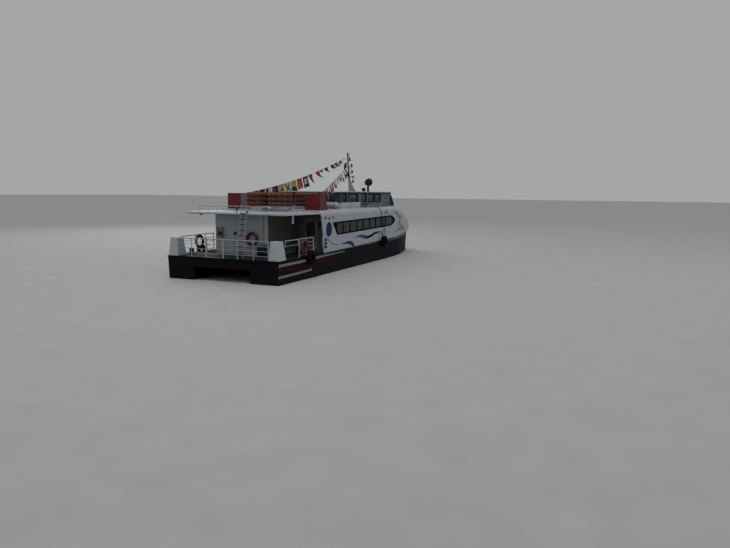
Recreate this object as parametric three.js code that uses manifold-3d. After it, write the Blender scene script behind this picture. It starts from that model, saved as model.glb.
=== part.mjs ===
// A twin-hulled passenger ferry, 22.7 m long, with its whole underwater body.
// Millimetres. x runs forward from the transom, y to port, z up from the water.
// The finished group is moved aft so that its origin lies amidships at the waterline.
import * as THREE from 'three';
import { mergeVertices } from 'three/addons/utils/BufferGeometryUtils.js';
import Module from 'manifold-3d';

const wasm = await Module();
wasm.setup();

// Driving dimensions of the whole ship
const GAP = 0.3;
const MIDSHIP = 11350;
const STARBOARD = -1;
const PORT = 1;
const SIDES = [['starboard', STARBOARD], ['port', PORT]];
const DECK = 1250;
const WET_DECK = 700;
const WALL = 60;
const HALF_BEAM = 3500;
const CABIN_AFT = 5300;
const CABIN_FORE = 17200;
const EAVES = 3400;
const SHOULDER_LOW = 3450;
const ROOF_TOP = 3700;
const SHOULDER_IN = 3250;
const STEM = 22500;
const STEM_TOP = 1700;

// Finishes
const paint = (color, roughness = 0.45, metalness = 0.1) =>
  new THREE.MeshStandardMaterial({ color, roughness, metalness });
const FINISH = {
  hull: paint(0x0b1026),
  white: paint(0xd8dcdf),
  deck: paint(0x12301f, 0.8, 0),
  rubber: paint(0x0d0d0e, 0.9, 0),
  red: paint(0x7d0f18),
  orange: paint(0xc1561c, 0.7, 0),
  buoy: paint(0xc02c1e, 0.5, 0),
  glass: new THREE.MeshStandardMaterial(
    { color: 0x1b2124, roughness: 0.1, metalness: 0, transparent: true, opacity: 0.5 }),
  seat: paint(0x24406b, 0.8, 0),
  steel: paint(0x6d7276, 0.5, 0.8),
  bronze: paint(0x9a7438, 0.35, 0.9),
  black: paint(0x141516, 0.5, 0.2),
  engine: paint(0x5b6a62, 0.6, 0.3),
};

// Closed solids and the joins and cuts between them

/** A geometry's closed surface with only its positions, as a solid that faces out. */
function toSolid(geometry) {
  const loose = geometry.index ? geometry.toNonIndexed() : geometry.clone();
  for (const name of Object.keys(loose.attributes)) {
    if (name !== 'position') loose.deleteAttribute(name);
  }
  const merged = mergeVertices(loose, 1e-3);
  const corners = new Uint32Array(merged.index.array);
  const build = () => new wasm.Manifold(new wasm.Mesh({
    numProp: 3,
    vertProperties: new Float32Array(merged.attributes.position.array),
    triVerts: corners,
  }));
  const solid = build();
  if (solid.volume() >= 0) return solid;
  for (let i = 0; i < corners.length; i += 3) {
    [corners[i], corners[i + 1]] = [corners[i + 1], corners[i]];
  }
  return build();
}

function toGeometry(solid) {
  const mesh = solid.getMesh();
  const geometry = new THREE.BufferGeometry();
  const places = new Float32Array(mesh.numVert * 3);
  for (let i = 0; i < mesh.numVert; i += 1) {
    places.set(mesh.vertProperties.subarray(i * mesh.numProp, i * mesh.numProp + 3), i * 3);
  }
  geometry.setAttribute('position', new THREE.BufferAttribute(places, 3));
  geometry.setIndex(new THREE.BufferAttribute(new Uint32Array(mesh.triVerts), 1));
  geometry.computeVertexNormals();
  return geometry;
}

const join = (...parts) => toGeometry(parts.map(toSolid).reduce((whole, part) => whole.add(part)));
const cut = (body, ...tools) =>
  toGeometry(tools.map(toSolid).reduce((left, tool) => left.subtract(tool), toSolid(body)));
const common = (a, b) => toGeometry(toSolid(a).intersect(toSolid(b)));

// Basic shapes, each given by where it lies

/** A block between low and high x, y and z; the two y values come in either order. */
function block(x0, x1, y0, y1, z0, z1) {
  const shape = new THREE.BoxGeometry(x1 - x0, Math.abs(y1 - y0), z1 - z0);
  return shape.translate((x0 + x1) / 2, (y0 + y1) / 2, (z0 + z1) / 2);
}

const outline = (points) => new THREE.Shape(points.map(([a, b]) => new THREE.Vector2(a, b)));
const extruded = (points, depth) =>
  new THREE.ExtrudeGeometry(outline(points), { depth, bevelEnabled: false });

/** An outline of (x, z) points carried across the ship from one y to the other. */
function acrossShip(points, y0, y1) {
  const [low, high] = [Math.min(y0, y1), Math.max(y0, y1)];
  return extruded(points, high - low).rotateX(Math.PI / 2).translate(0, high, 0);
}

/** An outline of (y, z) points carried along the ship. */
function alongShip(points, x0, x1) {
  const turn = new THREE.Matrix4().makeBasis(
    new THREE.Vector3(0, 1, 0), new THREE.Vector3(0, 0, 1), new THREE.Vector3(1, 0, 0));
  return extruded(points, x1 - x0).applyMatrix4(turn).translate(x0, 0, 0);
}

/** An outline of (x, y) points carried upwards. */
const upwards = (points, z0, z1) => extruded(points, z1 - z0).translate(0, 0, z0);

/** A round bar between two points. */
function bar(from, to, radius, sides = 8, endRadius = radius) {
  const a = new THREE.Vector3(...from);
  const b = new THREE.Vector3(...to);
  const along = b.clone().sub(a);
  const shape = new THREE.CylinderGeometry(endRadius, radius, along.length(), sides);
  const turn = new THREE.Quaternion().setFromUnitVectors(
    new THREE.Vector3(0, 1, 0), along.clone().normalize());
  return shape.applyQuaternion(turn).translate(...a.add(b).multiplyScalar(0.5).toArray());
}

/** Points of an arc about (a, b), from one angle in degrees to another. */
function arc(a, b, radius, from, to, steps = 5) {
  return Array.from({ length: steps + 1 }, (_, i) => {
    const t = THREE.MathUtils.degToRad(from + ((to - from) * i) / steps);
    return [a + radius * Math.cos(t), b + radius * Math.sin(t)];
  });
}

/** A rectangle with round corners, anticlockwise. */
function roundedRectangle(a0, a1, b0, b1, radius, steps = 3) {
  return [
    ...arc(a1 - radius, b1 - radius, radius, 0, 90, steps),
    ...arc(a0 + radius, b1 - radius, radius, 90, 180, steps),
    ...arc(a0 + radius, b0 + radius, radius, 180, 270, steps),
    ...arc(a1 - radius, b0 + radius, radius, 270, 360, steps),
  ];
}

/** A closed skin through rings of equally many points, its two ends filled from their middles. */
function loft(rings) {
  const count = rings[0].length;
  const places = rings.flat(2);
  const corners = [];
  for (let r = 0; r + 1 < rings.length; r += 1) {
    for (let i = 0; i < count; i += 1) {
      const [a, b] = [r * count + i, r * count + ((i + 1) % count)];
      corners.push(a, b, b + count, a, b + count, a + count);
    }
  }
  [0, rings.length - 1].forEach((r) => {
    const middle = [0, 1, 2].map((k) => rings[r].reduce((sum, p) => sum + p[k], 0) / count);
    const centre = places.length / 3;
    places.push(...middle);
    for (let i = 0; i < count; i += 1) {
      const [a, b] = [r * count + i, r * count + ((i + 1) % count)];
      if (r === 0) corners.push(centre, b, a);
      else corners.push(centre, a, b);
    }
  });
  const geometry = new THREE.BufferGeometry();
  geometry.setAttribute('position', new THREE.BufferAttribute(new Float32Array(places), 3));
  geometry.setIndex(corners);
  return geometry;
}

/** A ring turned about the y axis from a closed (radius, along) profile. */
const ring = (profile, segments = 20) => new THREE.LatheGeometry(
  [...profile, profile[0]].map(([r, h]) => new THREE.Vector2(r, h)), segments);

const ship = new THREE.Group();
ship.position.x = -MIDSHIP;

function place(name, geometry, finish, position = [0, 0, 0]) {
  const mesh = new THREE.Mesh(toGeometry(toSolid(geometry)), finish);
  mesh.name = name;
  mesh.position.set(...position);
  ship.add(mesh);
  return mesh;
}

// The two hulls and the deck between them

/** The hulls' top edge: level aft, then rising to the stem. */
const hullTop = (x) =>
  DECK + Math.max(0, (x - CABIN_FORE) / (STEM - CABIN_FORE)) * (STEM_TOP - DECK);

// station x, outer side at deck, outer side at water, inner side, keel depth
const STATIONS = [
  [0, 3500, 3440, 1800, -160],
  [1300, 3508, 3460, 1790, -290],
  [3000, 3520, 3480, 1780, -760],
  [5200, 3520, 3490, 1780, -1060],
  [9000, 3520, 3490, 1780, -1150],
  [CABIN_FORE, 3500, 3400, 1850, -1150],
  [18000, 3460, 3330, 1900, -1140],
  [19200, 3335, 3110, 1980, -1120],
  [20800, 2940, 2760, 2090, -1010],
  [21900, 2610, 2490, 2170, -800],
  [22350, 2450, 2380, 2220, -560],
  [STEM, 2370, 2330, 2270, -420],
];
const BILGE = 0.62;

/** The hull's section at a station: side, bilges, keel, inner side and deck. */
function hullRing([x, deckY, waterY, innerY, keel], side) {
  const top = hullTop(x);
  const keelY = (waterY + innerY) / 2;
  const half = (waterY - innerY) / 2;
  const chine = Math.min(-100, keel * 0.45);
  const section = [
    [deckY, top], [waterY, 0], [keelY + half * 0.93, chine], [keelY + half * BILGE, keel * 0.86],
    [keelY, keel], [keelY - half * BILGE, keel * 0.86], [keelY - half * 0.93, chine],
    [innerY, 0], [innerY, WET_DECK * 0.8], [innerY, top],
  ];
  return section.map(([y, z]) => [x, side * y, z]);
}

const hullShape = (side) => loft(STATIONS.map((station) => hullRing(station, side)));

// Where the shafts, propellers and rudders lie
const SHAFT = { y: 2650, z: -740, fore: 3300, radius: 38 };
const PROPELLER = { x: 900, hub: 75, hubFore: 100, blades: 4, thick: 14, pitch: 0.55, turn: 0.13 };
const RUDDER = { x: 330, chord: [60, 540], z: [-1130, -250], thick: 50, boss: -215 };

// The engine, its pocket under the aft deck and the flush hatch over it
const ENGINE = { x: [2700, 4300], y: [2240, 2960], z: [-420, 700] };
const POCKET = { x: [2600, 4400], y: [2150, 3050], floor: -420 };
const HATCH = { x: [2520, 4440], y: [2090, 3110], thick: 40 };

SIDES.forEach(([name, side]) => {
  const pocket = block(...POCKET.x, side * POCKET.y[0], side * POCKET.y[1], POCKET.floor, DECK + 50);
  const boss = bar([RUDDER.x, side * SHAFT.y, RUDDER.boss], [RUDDER.x, side * SHAFT.y, -100], 60, 12);
  place(`hull_${name}`, cut(join(hullShape(side), boss), pocket), FINISH.hull);
  place(`engine_${name}`,
    block(...ENGINE.x, side * ENGINE.y[0], side * ENGINE.y[1], ENGINE.z[0] + GAP, ENGINE.z[1]), FINISH.engine);
  const lid = block(...HATCH.x, side * HATCH.y[0], side * HATCH.y[1], DECK + GAP, DECK + HATCH.thick);
  const knuckles = [0.2, 0.8].map((t) => {
    const x = THREE.MathUtils.lerp(...HATCH.x, t);
    return bar([x - 60, side * HATCH.y[1], DECK + 30], [x + 60, side * HATCH.y[1], DECK + 30], 22);
  });
  place(`engine_hatch_${name}`, join(lid, ...knuckles), FINISH.deck);
});

/** The deck that bridges the hulls; its underside lifts towards the bow. */
const BRIDGE = { end: 21900, liftFrom: 15000, lift: 700 };
function bridgeDeck() {
  const sections = STATIONS.filter(([x]) => x <= BRIDGE.end).map(([x, , , innerY]) => {
    const under = WET_DECK + Math.max(0, (x - BRIDGE.liftFrom) / (BRIDGE.end - BRIDGE.liftFrom)) * BRIDGE.lift;
    const [y, top] = [innerY - GAP, hullTop(x)];
    return [[x, -y, under], [x, y, under], [x, y, top], [x, -y, top]];
  });
  return loft(sections);
}
place('bridge_deck', bridgeDeck(), FINISH.deck);

// The black rubbing strip round the edge of the aft deck and along the hulls
const RUB = { deep: 70, out: 50, low: 1175, end: 14600, seat: 0.4 };

/** Half the ship's width at the edge of the deck. */
function deckEdge(x) {
  const next = STATIONS.findIndex(([station]) => station >= x) || 1;
  const [[x0, y0], [x1, y1]] = [STATIONS[next - 1], STATIONS[next]];
  return THREE.MathUtils.mapLinear(x, x0, x1, y0, y1);
}

/** A strip along one side, seated against the hull's deck edge. */
function sideStrip(side) {
  const rows = [...STATIONS.map(([x]) => x).filter((x) => x < RUB.end), RUB.end].map((x) => {
    const y = side * (deckEdge(x) + RUB.seat);
    const out = y + side * RUB.out;
    return [[x, y, RUB.low], [x, out, RUB.low], [x, out, RUB.low + RUB.deep], [x, y, RUB.low + RUB.deep]];
  });
  return loft(rows);
}
place('rub_rail', join(
  sideStrip(STARBOARD), sideStrip(PORT),
  block(-RUB.out, -RUB.seat, -HALF_BEAM - RUB.out, HALF_BEAM + RUB.out, RUB.low, RUB.low + RUB.deep),
  ...SIDES.map(([, side]) => block(
    -RUB.out, 6, side * (HALF_BEAM + 1), side * (HALF_BEAM + RUB.out), RUB.low, RUB.low + RUB.deep)),
), FINISH.rubber);

// The tapering bulwark boxes at the two stern corners
const CORNER = {
  foot: DECK + GAP, top: 2240, outer: 3490, outerTop: 3400, inner: 2870, innerTop: 2900,
  lugEnd: 870, lugY: 3380, lugTop: 1910 - GAP,
};

SIDES.forEach(([name, side]) => {
  const level = (z, aft, fore, outer, inner) => [
    [aft, side * inner, z], [fore, side * inner, z], [fore, side * outer, z], [aft, side * outer, z]];
  const gateLug = block(600, CORNER.lugEnd, side * (CORNER.lugY - 20), side * (CORNER.lugY + 20),
    CORNER.lugTop - 12, CORNER.lugTop);
  place(`bulwark_${name}`, join(loft([
    level(CORNER.foot, 20, 800, CORNER.outer, CORNER.inner),
    level(CORNER.top - 60, 110, 630, CORNER.outerTop + 6, CORNER.innerTop - 4),
    level(CORNER.top, 150, 600, CORNER.outerTop - 30, CORNER.innerTop + 30),
  ]), gateLug), FINISH.white);
});

// Rails: a thick top bar, thinner bars below and posts
const RAIL = { top: 2225, low: [1960, 1710, 1460], topR: 30, lowR: 16, post: 24 };
const STERN_X = 70;
const GATE = { hinge: 1010, latch: -90, clear: 12, post: 34 };

const railBars = (a, b, z = [RAIL.top, ...RAIL.low]) =>
  z.map((h, i) => bar([...a, h], [...b, h], i === 0 ? RAIL.topR : RAIL.lowR, i === 0 ? 8 : 6));
const post = (x, y, radius = RAIL.post, top = RAIL.top) => bar([x, y, DECK + GAP], [x, y, top], radius, 8);

// The fixed stern rail keeps one body: a low foot bar on the deck runs under the gate
const railEnd = CORNER.inner - 5;
const GATE_HINGE_Y = GATE.hinge - GATE.post - GATE.clear - RAIL.post;
const GATE_LATCH_Y = GATE.latch + GATE.post + GATE.clear + RAIL.post;
const leafFoot = (levels) => Math.min(...levels) - 40;
const leafHead = RAIL.top + RAIL.topR + 2;
const LUG = { half: 20, thick: 12 };

/** A swinging leaf of rail bars between two uprights, the first of which turns on the lugs. */
const gateLeaf = (hinge, latch, levels) => join(
  ...railBars(hinge, latch, levels),
  bar([...hinge, leafFoot(levels)], [...hinge, leafHead], RAIL.post),
  bar([...latch, leafFoot(levels)], [...latch, leafHead], RAIL.post),
);
place('stern_rail', join(
  ...[leafFoot(RAIL.low) - GAP - LUG.thick, leafHead + GAP].map((z) => block(
    STERN_X - LUG.half, STERN_X + LUG.half, GATE_HINGE_Y - LUG.half, GATE.hinge, z, z + LUG.thick)),
  ...railBars([STERN_X, GATE.hinge], [STERN_X, railEnd]),
  ...railBars([STERN_X, -railEnd], [STERN_X, GATE.latch]),
  ...[railEnd - 20, 1950, -970, -1950, 20 - railEnd].map((y) => post(STERN_X, y)),
  ...[GATE.hinge, GATE.latch].map((y) => post(STERN_X, y, GATE.post, leafHead + GAP + LUG.thick)),
  block(STERN_X - 25, STERN_X + 25, GATE.latch, GATE.hinge, DECK + GAP, DECK + 12),
), FINISH.white);

place('stern_gate', gateLeaf([STERN_X, GATE_HINGE_Y], [STERN_X, GATE_LATCH_Y], [RAIL.top, ...RAIL.low]),
  FINISH.white);

// Side rails: a fixed panel beside the passage and a two-bar gate aft of it
const SIDE_RAIL = { y: 3380, aft: 2330, fore: 3950, levels: [2240, 2010, 1790, 1570, 1350], middle: 20 };
const SIDE_GATE = { x: [850, 2230], levels: [RAIL.top, 1950] };

SIDES.forEach(([name, side]) => {
  const y = side * SIDE_RAIL.y;
  place(`side_rail_${name}`, join(
    ...railBars([SIDE_RAIL.aft, y], [SIDE_RAIL.fore, y], SIDE_RAIL.levels),
    post(SIDE_RAIL.aft, y, 28, SIDE_RAIL.levels[0]), post(SIDE_RAIL.fore, y, 28, SIDE_RAIL.levels[0]),
    post((SIDE_RAIL.aft + SIDE_RAIL.fore) / 2, y, SIDE_RAIL.middle, SIDE_RAIL.levels[0]),
  ), FINISH.white);
  place(`side_gate_${name}`,
    gateLeaf([SIDE_GATE.x[0], y], [SIDE_GATE.x[1], y], SIDE_GATE.levels), FINISH.white);
});

// The deckhouse on the centreline under the aft roof
const HOUSE = { x: [1850, CABIN_AFT - 400], half: 1700, top: 3470 };
const HOUSE_DOOR = { x: [2300, 3000], z: [DECK + 100, 3150] };

/** Two knuckles on a door's upright axis, and the fixed lugs just under them. */
const KNUCKLE = { radius: 12, high: 110, z: [1700, 2800], lug: 12 };
const knucklesAt = (x, y) => KNUCKLE.z.map((z) => bar([x, y, z], [x, y, z + KNUCKLE.high], KNUCKLE.radius));

const houseAxis = { x: HOUSE_DOOR.x[0] + 10, y: HOUSE.half + 16 };
const houseLugs = KNUCKLE.z.map((z) => z - GAP - KNUCKLE.lug).flatMap((z) => [
  block(houseAxis.x - 40, houseAxis.x - 12, HOUSE.half - 5, houseAxis.y + 6, z, z + KNUCKLE.lug),
  block(houseAxis.x - 40, houseAxis.x + 1, houseAxis.y - 4, houseAxis.y + 6, z, z + KNUCKLE.lug),
]);
const houseShell = cut(
  block(HOUSE.x[0], HOUSE.x[1], -HOUSE.half, HOUSE.half, DECK + GAP, HOUSE.top - GAP),
  block(HOUSE.x[0] + WALL, HOUSE.x[1] - WALL, -HOUSE.half + WALL, HOUSE.half - WALL, DECK - 10, HOUSE.top + 10),
  block(...HOUSE_DOOR.x, HOUSE.half - WALL - 10, HOUSE.half + 10, ...HOUSE_DOOR.z),
);
place('deckhouse', join(houseShell, ...houseLugs), FINISH.white);

/** A flat door leaf with a lever handle and two hinge knuckles. */
function doorLeaf({ x, y, z, handle, knuckles }) {
  return join(block(...x, ...y, ...z), handle, ...knuckles);
}
place('deckhouse_door', doorLeaf({
  x: [HOUSE_DOOR.x[0] + 6, HOUSE_DOOR.x[1] - 10],
  y: [HOUSE.half - 45, HOUSE.half + 10],
  z: [HOUSE_DOOR.z[0] + 6, HOUSE_DOOR.z[1] - 6],
  handle: block(HOUSE_DOOR.x[1] - 120, HOUSE_DOOR.x[1] - 90, HOUSE.half, HOUSE.half + 60, 2180, 2300),
  knuckles: knucklesAt(houseAxis.x, houseAxis.y),
}), FINISH.white);

// The roof over the aft deck, lower than the cabin roof; it widens to the cabin's sides
const CANOPY = { x: [1280, 4700 - GAP], half: [3230, 3470], corner: 160, z: [3470, 3620] };

/** The aft roof's plan, moved inwards along its three free edges. */
function canopyPlan(inset) {
  const [aft, half, radius] = [CANOPY.x[0] + inset, CANOPY.half[0] - inset, CANOPY.corner];
  return [
    [CANOPY.x[1], inset - CANOPY.half[1]], [CANOPY.x[1], CANOPY.half[1] - inset],
    ...arc(aft + radius, half - radius, radius, 90, 180, 3),
    ...arc(aft + radius, radius - half, radius, 180, 270, 3),
  ];
}
place('aft_roof', join(
  upwards(canopyPlan(0), CANOPY.z[0] + 40, CANOPY.z[1] - 30),
  upwards(canopyPlan(35), ...CANOPY.z),
), FINISH.white);

// The cabin: two side walls, the bulkhead with its doors, the roof and the bow
const BAND = { z: [2210, 2960], aft: 6800, aftTop: 6200, fore: 15900, tip: 16750, foreZ: [2350, 3080] };

/** The long side window: a slanted aft end, straight edges and a rounded tip forward. */
function windowBand(inset) {
  return [
    [BAND.aft + inset * 0.6, BAND.z[0] + inset], [BAND.fore, BAND.foreZ[0] + inset],
    [BAND.fore + 450 - inset * 0.5, 2480 + inset * 0.6], [BAND.tip - inset, 2700],
    [BAND.fore + 450 - inset * 0.5, 2960 - inset * 0.6], [BAND.fore, BAND.foreZ[1] - inset],
    [BAND.aftTop + inset * 1.4, BAND.z[1] - inset],
  ];
}

const sideOutline = [
  [5060, DECK + GAP], [CABIN_FORE - GAP, DECK + GAP], [CABIN_FORE - GAP, EAVES - GAP], [4720, EAVES - GAP],
  [4800, 3000], [4880, 2620], [4960, 2350], [4980, 2230], [4900, 2080], [4950, 1700],
];
SIDES.forEach(([name, side]) => {
  const [outer, inner] = [side * HALF_BEAM, side * (HALF_BEAM - WALL)];
  place(`cabin_side_${name}`, cut(
    acrossShip(sideOutline, inner, outer),
    acrossShip(windowBand(0), inner - side * 10, outer + side * 10)), FINISH.white);
  place(`side_window_${name}`,
    acrossShip(windowBand(GAP), side * (HALF_BEAM - 36), side * (HALF_BEAM - 20)), FINISH.glass);
});

const DOOR = { inner: 2100, outer: 2900, z: [DECK + 60, 3180], thick: 45, proud: 6 };
const DOOR_AXIS = { x: CABIN_AFT - 12, y: DOOR.outer - 10 };
const INSIDE = HALF_BEAM - WALL;

/** The inside of the cabin's section: upright walls, then the arch under the roof. */
function cabinInside(gap) {
  const [side, arch] = [INSIDE - gap, 160 - gap * 1.2];
  const half = [
    [side, EAVES - gap], [SHOULDER_IN + arch - gap, SHOULDER_LOW],
    ...arc(SHOULDER_IN, SHOULDER_LOW, arch, 0, 90, 3).slice(1),
  ];
  return [...half, ...half.map(([y, z]) => [-y, z]).reverse()];
}
const bulkheadPlate = alongShip(
  [[-INSIDE + GAP, DECK + GAP], [INSIDE - GAP, DECK + GAP], ...cabinInside(GAP)], CABIN_AFT, CABIN_AFT + WALL);
const doorways = SIDES.map(([, side]) =>
  block(CABIN_AFT - 10, CABIN_AFT + WALL + 10, side * DOOR.inner, side * DOOR.outer, ...DOOR.z));
const doorLugs = SIDES.flatMap(([, side]) => KNUCKLE.z.map((z) => z - GAP - KNUCKLE.lug).flatMap((z) => [
  block(DOOR_AXIS.x - 6, CABIN_AFT + 5, side * (DOOR_AXIS.y + 12), side * (DOOR_AXIS.y + 40), z, z + KNUCKLE.lug),
  block(DOOR_AXIS.x - 6, DOOR_AXIS.x + 4, side * (DOOR_AXIS.y - 1), side * (DOOR_AXIS.y + 40), z, z + KNUCKLE.lug),
]));
place('cabin_bulkhead', join(cut(bulkheadPlate, ...doorways), ...doorLugs), FINISH.white);
SIDES.forEach(([name, side]) => {
  place(`cabin_door_${name}`, doorLeaf({
    x: [CABIN_AFT - DOOR.proud, CABIN_AFT - DOOR.proud + DOOR.thick],
    y: [side * (DOOR.inner + 10), side * (DOOR.outer - 6)],
    z: [DOOR.z[0] + 6, DOOR.z[1] - 6],
    handle: block(CABIN_AFT - 60, CABIN_AFT, side * (DOOR.inner + 80), side * (DOOR.inner + 110), 2180, 2300),
    knuckles: knucklesAt(DOOR_AXIS.x, side * DOOR_AXIS.y),
  }), FINISH.white);
});

// The roof arches down at both shoulders to the tops of the side walls
const roofSection = [
  [-HALF_BEAM, EAVES], [-HALF_BEAM + WALL, EAVES], [-HALF_BEAM + WALL, EAVES + 60],
  ...arc(-SHOULDER_IN, SHOULDER_LOW, 160, 180, 90, 3),
  ...arc(SHOULDER_IN, SHOULDER_LOW, 160, 90, 0, 3),
  [HALF_BEAM - WALL, EAVES + 60], [HALF_BEAM - WALL, EAVES], [HALF_BEAM, EAVES],
  ...arc(SHOULDER_IN, SHOULDER_LOW, ROOF_TOP - SHOULDER_LOW, 0, 90, 6),
  ...arc(-SHOULDER_IN, SHOULDER_LOW, ROOF_TOP - SHOULDER_LOW, 90, 180, 6),
];
const SKYLIGHT = { x: [10400, CABIN_FORE + 10], half: 1950, deep: 180 };
place('cabin_roof', cut(
  alongShip(roofSection, CANOPY.x[1] + GAP, CABIN_FORE - GAP),
  block(...SKYLIGHT.x, -SKYLIGHT.half, SKYLIGHT.half, ROOF_TOP - SKYLIGHT.deep, ROOF_TOP + 10),
), FINISH.white);

// station x, half width, top, the shoulder's width and height, how far the side turns in at its foot
const BOW = [
  [CABIN_FORE, 3500, ROOF_TOP, 250, 250, 0],
  [18200, 3465, ROOF_TOP, 560, 520, 5],
  [19200, 3380, ROOF_TOP, 920, 920, 40],
  [20150, 3240, ROOF_TOP, 1035, 1330, 115],
  [20800, 3110, 3420, 1060, 1130, 165],
  [21400, 2970, 3100, 1000, 960, 200],
  [21900, 2830, 2790, 860, 760, 215],
  [22300, 2680, 2440, 610, 500, 205],
  [22480, 2540, 2160, 300, 240, 165],
];
const BOW_CHIN = 380;
const WELL = { x: [CABIN_FORE - 50, 19450], half: 1950, floor: 2700 };

/** The bow's section: the foot, a chin that swells to the full width, and an elliptical shoulder. */
function bowRing([x, half, top, wide, high, tuck]) {
  const low = hullTop(x) + GAP;
  const chin = Math.min(BOW_CHIN, top - high - low - 20);
  const starboard = [
    [half - tuck, low], [half - tuck * 0.25, low + chin / 2], [half, low + chin],
    ...arc(0, 0, 1, 0, 90, 6).map(([a, b]) => [half - wide * (1 - a), top - high * (1 - b)]),
  ];
  return [...starboard, ...starboard.map(([y, z]) => [-y, z]).reverse()].map(([y, z]) => [x, y, z]);
}
place('bow_shell', cut(
  loft(BOW.map(bowRing)),
  block(...WELL.x, -WELL.half, WELL.half, WELL.floor, ROOF_TOP + 10)), FINISH.white);

// Passenger benches: rows of seats on floor rails, in three blocks across the cabin
const SEATS = { rows: 10, first: 7000, pitch: 900, floor: DECK + GAP };
const BENCHES = [[-3250, -1650], [-950, 950], [1650, 3250]];
const seatProfile = (x) => [
  [x, 1650], [x + 430, 1680], [x + 430, 1730], [x + 90, 1710], [x - 60, 2330], [x - 140, 2330], [x - 30, 1650],
];
function benches() {
  const parts = [];
  for (let row = 0; row < SEATS.rows; row += 1) {
    const x = SEATS.first + row * SEATS.pitch;
    BENCHES.forEach(([y0, y1]) => {
      parts.push(acrossShip(seatProfile(x), y0, y1));
      parts.push(block(x + 150, x + 230, (y0 + y1) / 2 - 400, (y0 + y1) / 2 + 400, SEATS.floor, 1690));
    });
    parts.push(block(x + 150, x + 230, BENCHES[0][0], BENCHES[2][1], SEATS.floor, DECK + 25));
  }
  const last = SEATS.first + (SEATS.rows - 1) * SEATS.pitch + 230;
  parts.push(block(SEATS.first, last, -60, 60, SEATS.floor, DECK + 25));
  return join(...parts);
}
place('passenger_seats', benches(), FINISH.seat);

// The upper house: a long glazed lantern over the cabin with the wheelhouse at its front
const UPPER = {
  aft: 10000, aftRake: 60, z: [ROOF_TOP + GAP, 4730 - GAP], half: 2200, noseHalf: 1500,
  corner: [20080, 19180], noseAhead: 65,
};
// How far the tools that cut its windows reach: past the walls, and from the wheelhouse floor to past the nose
const REACH = { side: 2300, front: [18600, 20500] };

/** Plan of the upper house at a height from 0 to 1, moved inwards by an inset. */
function upperRing(t, inset) {
  const corner = THREE.MathUtils.lerp(...UPPER.corner, t) - inset;
  const nose = corner + UPPER.noseAhead;
  const aft = UPPER.aft + UPPER.aftRake * t + inset;
  const [half, front] = [UPPER.half - inset, UPPER.noseHalf];
  const z = THREE.MathUtils.lerp(...UPPER.z, t);
  return [[aft, -half, z], [corner, -half, z], [nose, -front, z], [nose, front, z], [corner, half, z], [aft, half, z]];
}
const upperSolid = (inset, low = 0, high = 1) => loft([upperRing(low, inset), upperRing(high, inset)]);
const PANES = {
  z: [4060, 4600],
  side: [[10200, 10960], [11270, 12820], [13520, 14330], [14630, 15880], [16080, 17020]],
  aftZ: [4130, 4510],
  aft: [1350, 1830],
  frontZ: [3950, 4560],
  front: [[530, 1420], [1570, 2060]],
  middle: 430,
};
const WING_PANE = [[19060, 3800], [19880, 3800], [19270, 4500], [19060, 4500]];
const endPanes = SIDES.flatMap(([, side]) => [
  ...PANES.front.map(([y0, y1]) => block(...REACH.front, side * y0, side * y1, ...PANES.frontZ)),
  block(UPPER.aft - 50, UPPER.aft + 200, side * PANES.aft[0], side * PANES.aft[1], ...PANES.aftZ),
]);
place('upper_house', cut(
  upperSolid(0), upperSolid(WALL, -0.02, 1.02),
  ...PANES.side.map(([x0, x1]) => block(x0, x1, -REACH.side, REACH.side, ...PANES.z)),
  block(...REACH.front, -PANES.middle, PANES.middle, ...PANES.frontZ),
  acrossShip(WING_PANE, -REACH.side, REACH.side),
  ...endPanes,
), FINISH.white);

/** The glass: a thin ring inside the walls, high along the sides and deeper round the wheelhouse. */
const GLASS = { thick: 12, lap: 40, deepFrom: 17300 };
place('upper_windows', common(
  cut(upperSolid(WALL + GAP), upperSolid(WALL + GLASS.thick, -0.02, 1.02)),
  join(
    block(UPPER.aft, GLASS.deepFrom + 100, -REACH.side, REACH.side, PANES.z[0] - GLASS.lap, PANES.z[1] + GLASS.lap),
    block(GLASS.deepFrom, REACH.front[1], -REACH.side, REACH.side,
      WING_PANE[0][1] - GLASS.lap, PANES.z[1] + GLASS.lap),
  )), FINISH.glass);

const UPPER_ROOF = { z: [4730, 4775, 4795], aft: 8700, side: 2320, nose: [19260, 19350], noseHalf: 1560, step: 70 };

/** The plan of one tier of the upper roof, moved inwards by an inset. */
const roofPlan = (inset) => {
  const [aft, side] = [UPPER_ROOF.aft + inset, UPPER_ROOF.side - inset];
  const [corner, nose] = UPPER_ROOF.nose.map((x) => x - inset);
  const half = UPPER_ROOF.noseHalf - inset / 2;
  return [[aft, 20 - side], [corner, -side], [nose, -half], [nose, half], [corner, side], [aft, side - 20]];
};
place('upper_roof', join(
  upwards(roofPlan(0), UPPER_ROOF.z[0], UPPER_ROOF.z[1]),
  upwards(roofPlan(UPPER_ROOF.step), UPPER_ROOF.z[0], UPPER_ROOF.z[2]),
), FINISH.white);

// A low duct stands on the roof along each side of the upper house; its aft end slopes
const DUCT = { x: [9180, 12280], y: [2250, 2620], top: 4075, slope: [770, 3960] };
SIDES.forEach(([name, side]) => {
  place(`side_duct_${name}`, acrossShip([
    [DUCT.x[0], ROOF_TOP + GAP], [DUCT.x[1], ROOF_TOP + GAP], [DUCT.x[1], DUCT.top],
    [DUCT.x[0] + DUCT.slope[0], DUCT.top], [DUCT.x[0], DUCT.slope[1]],
  ], side * DUCT.y[0], side * DUCT.y[1]), FINISH.white);
});

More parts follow.
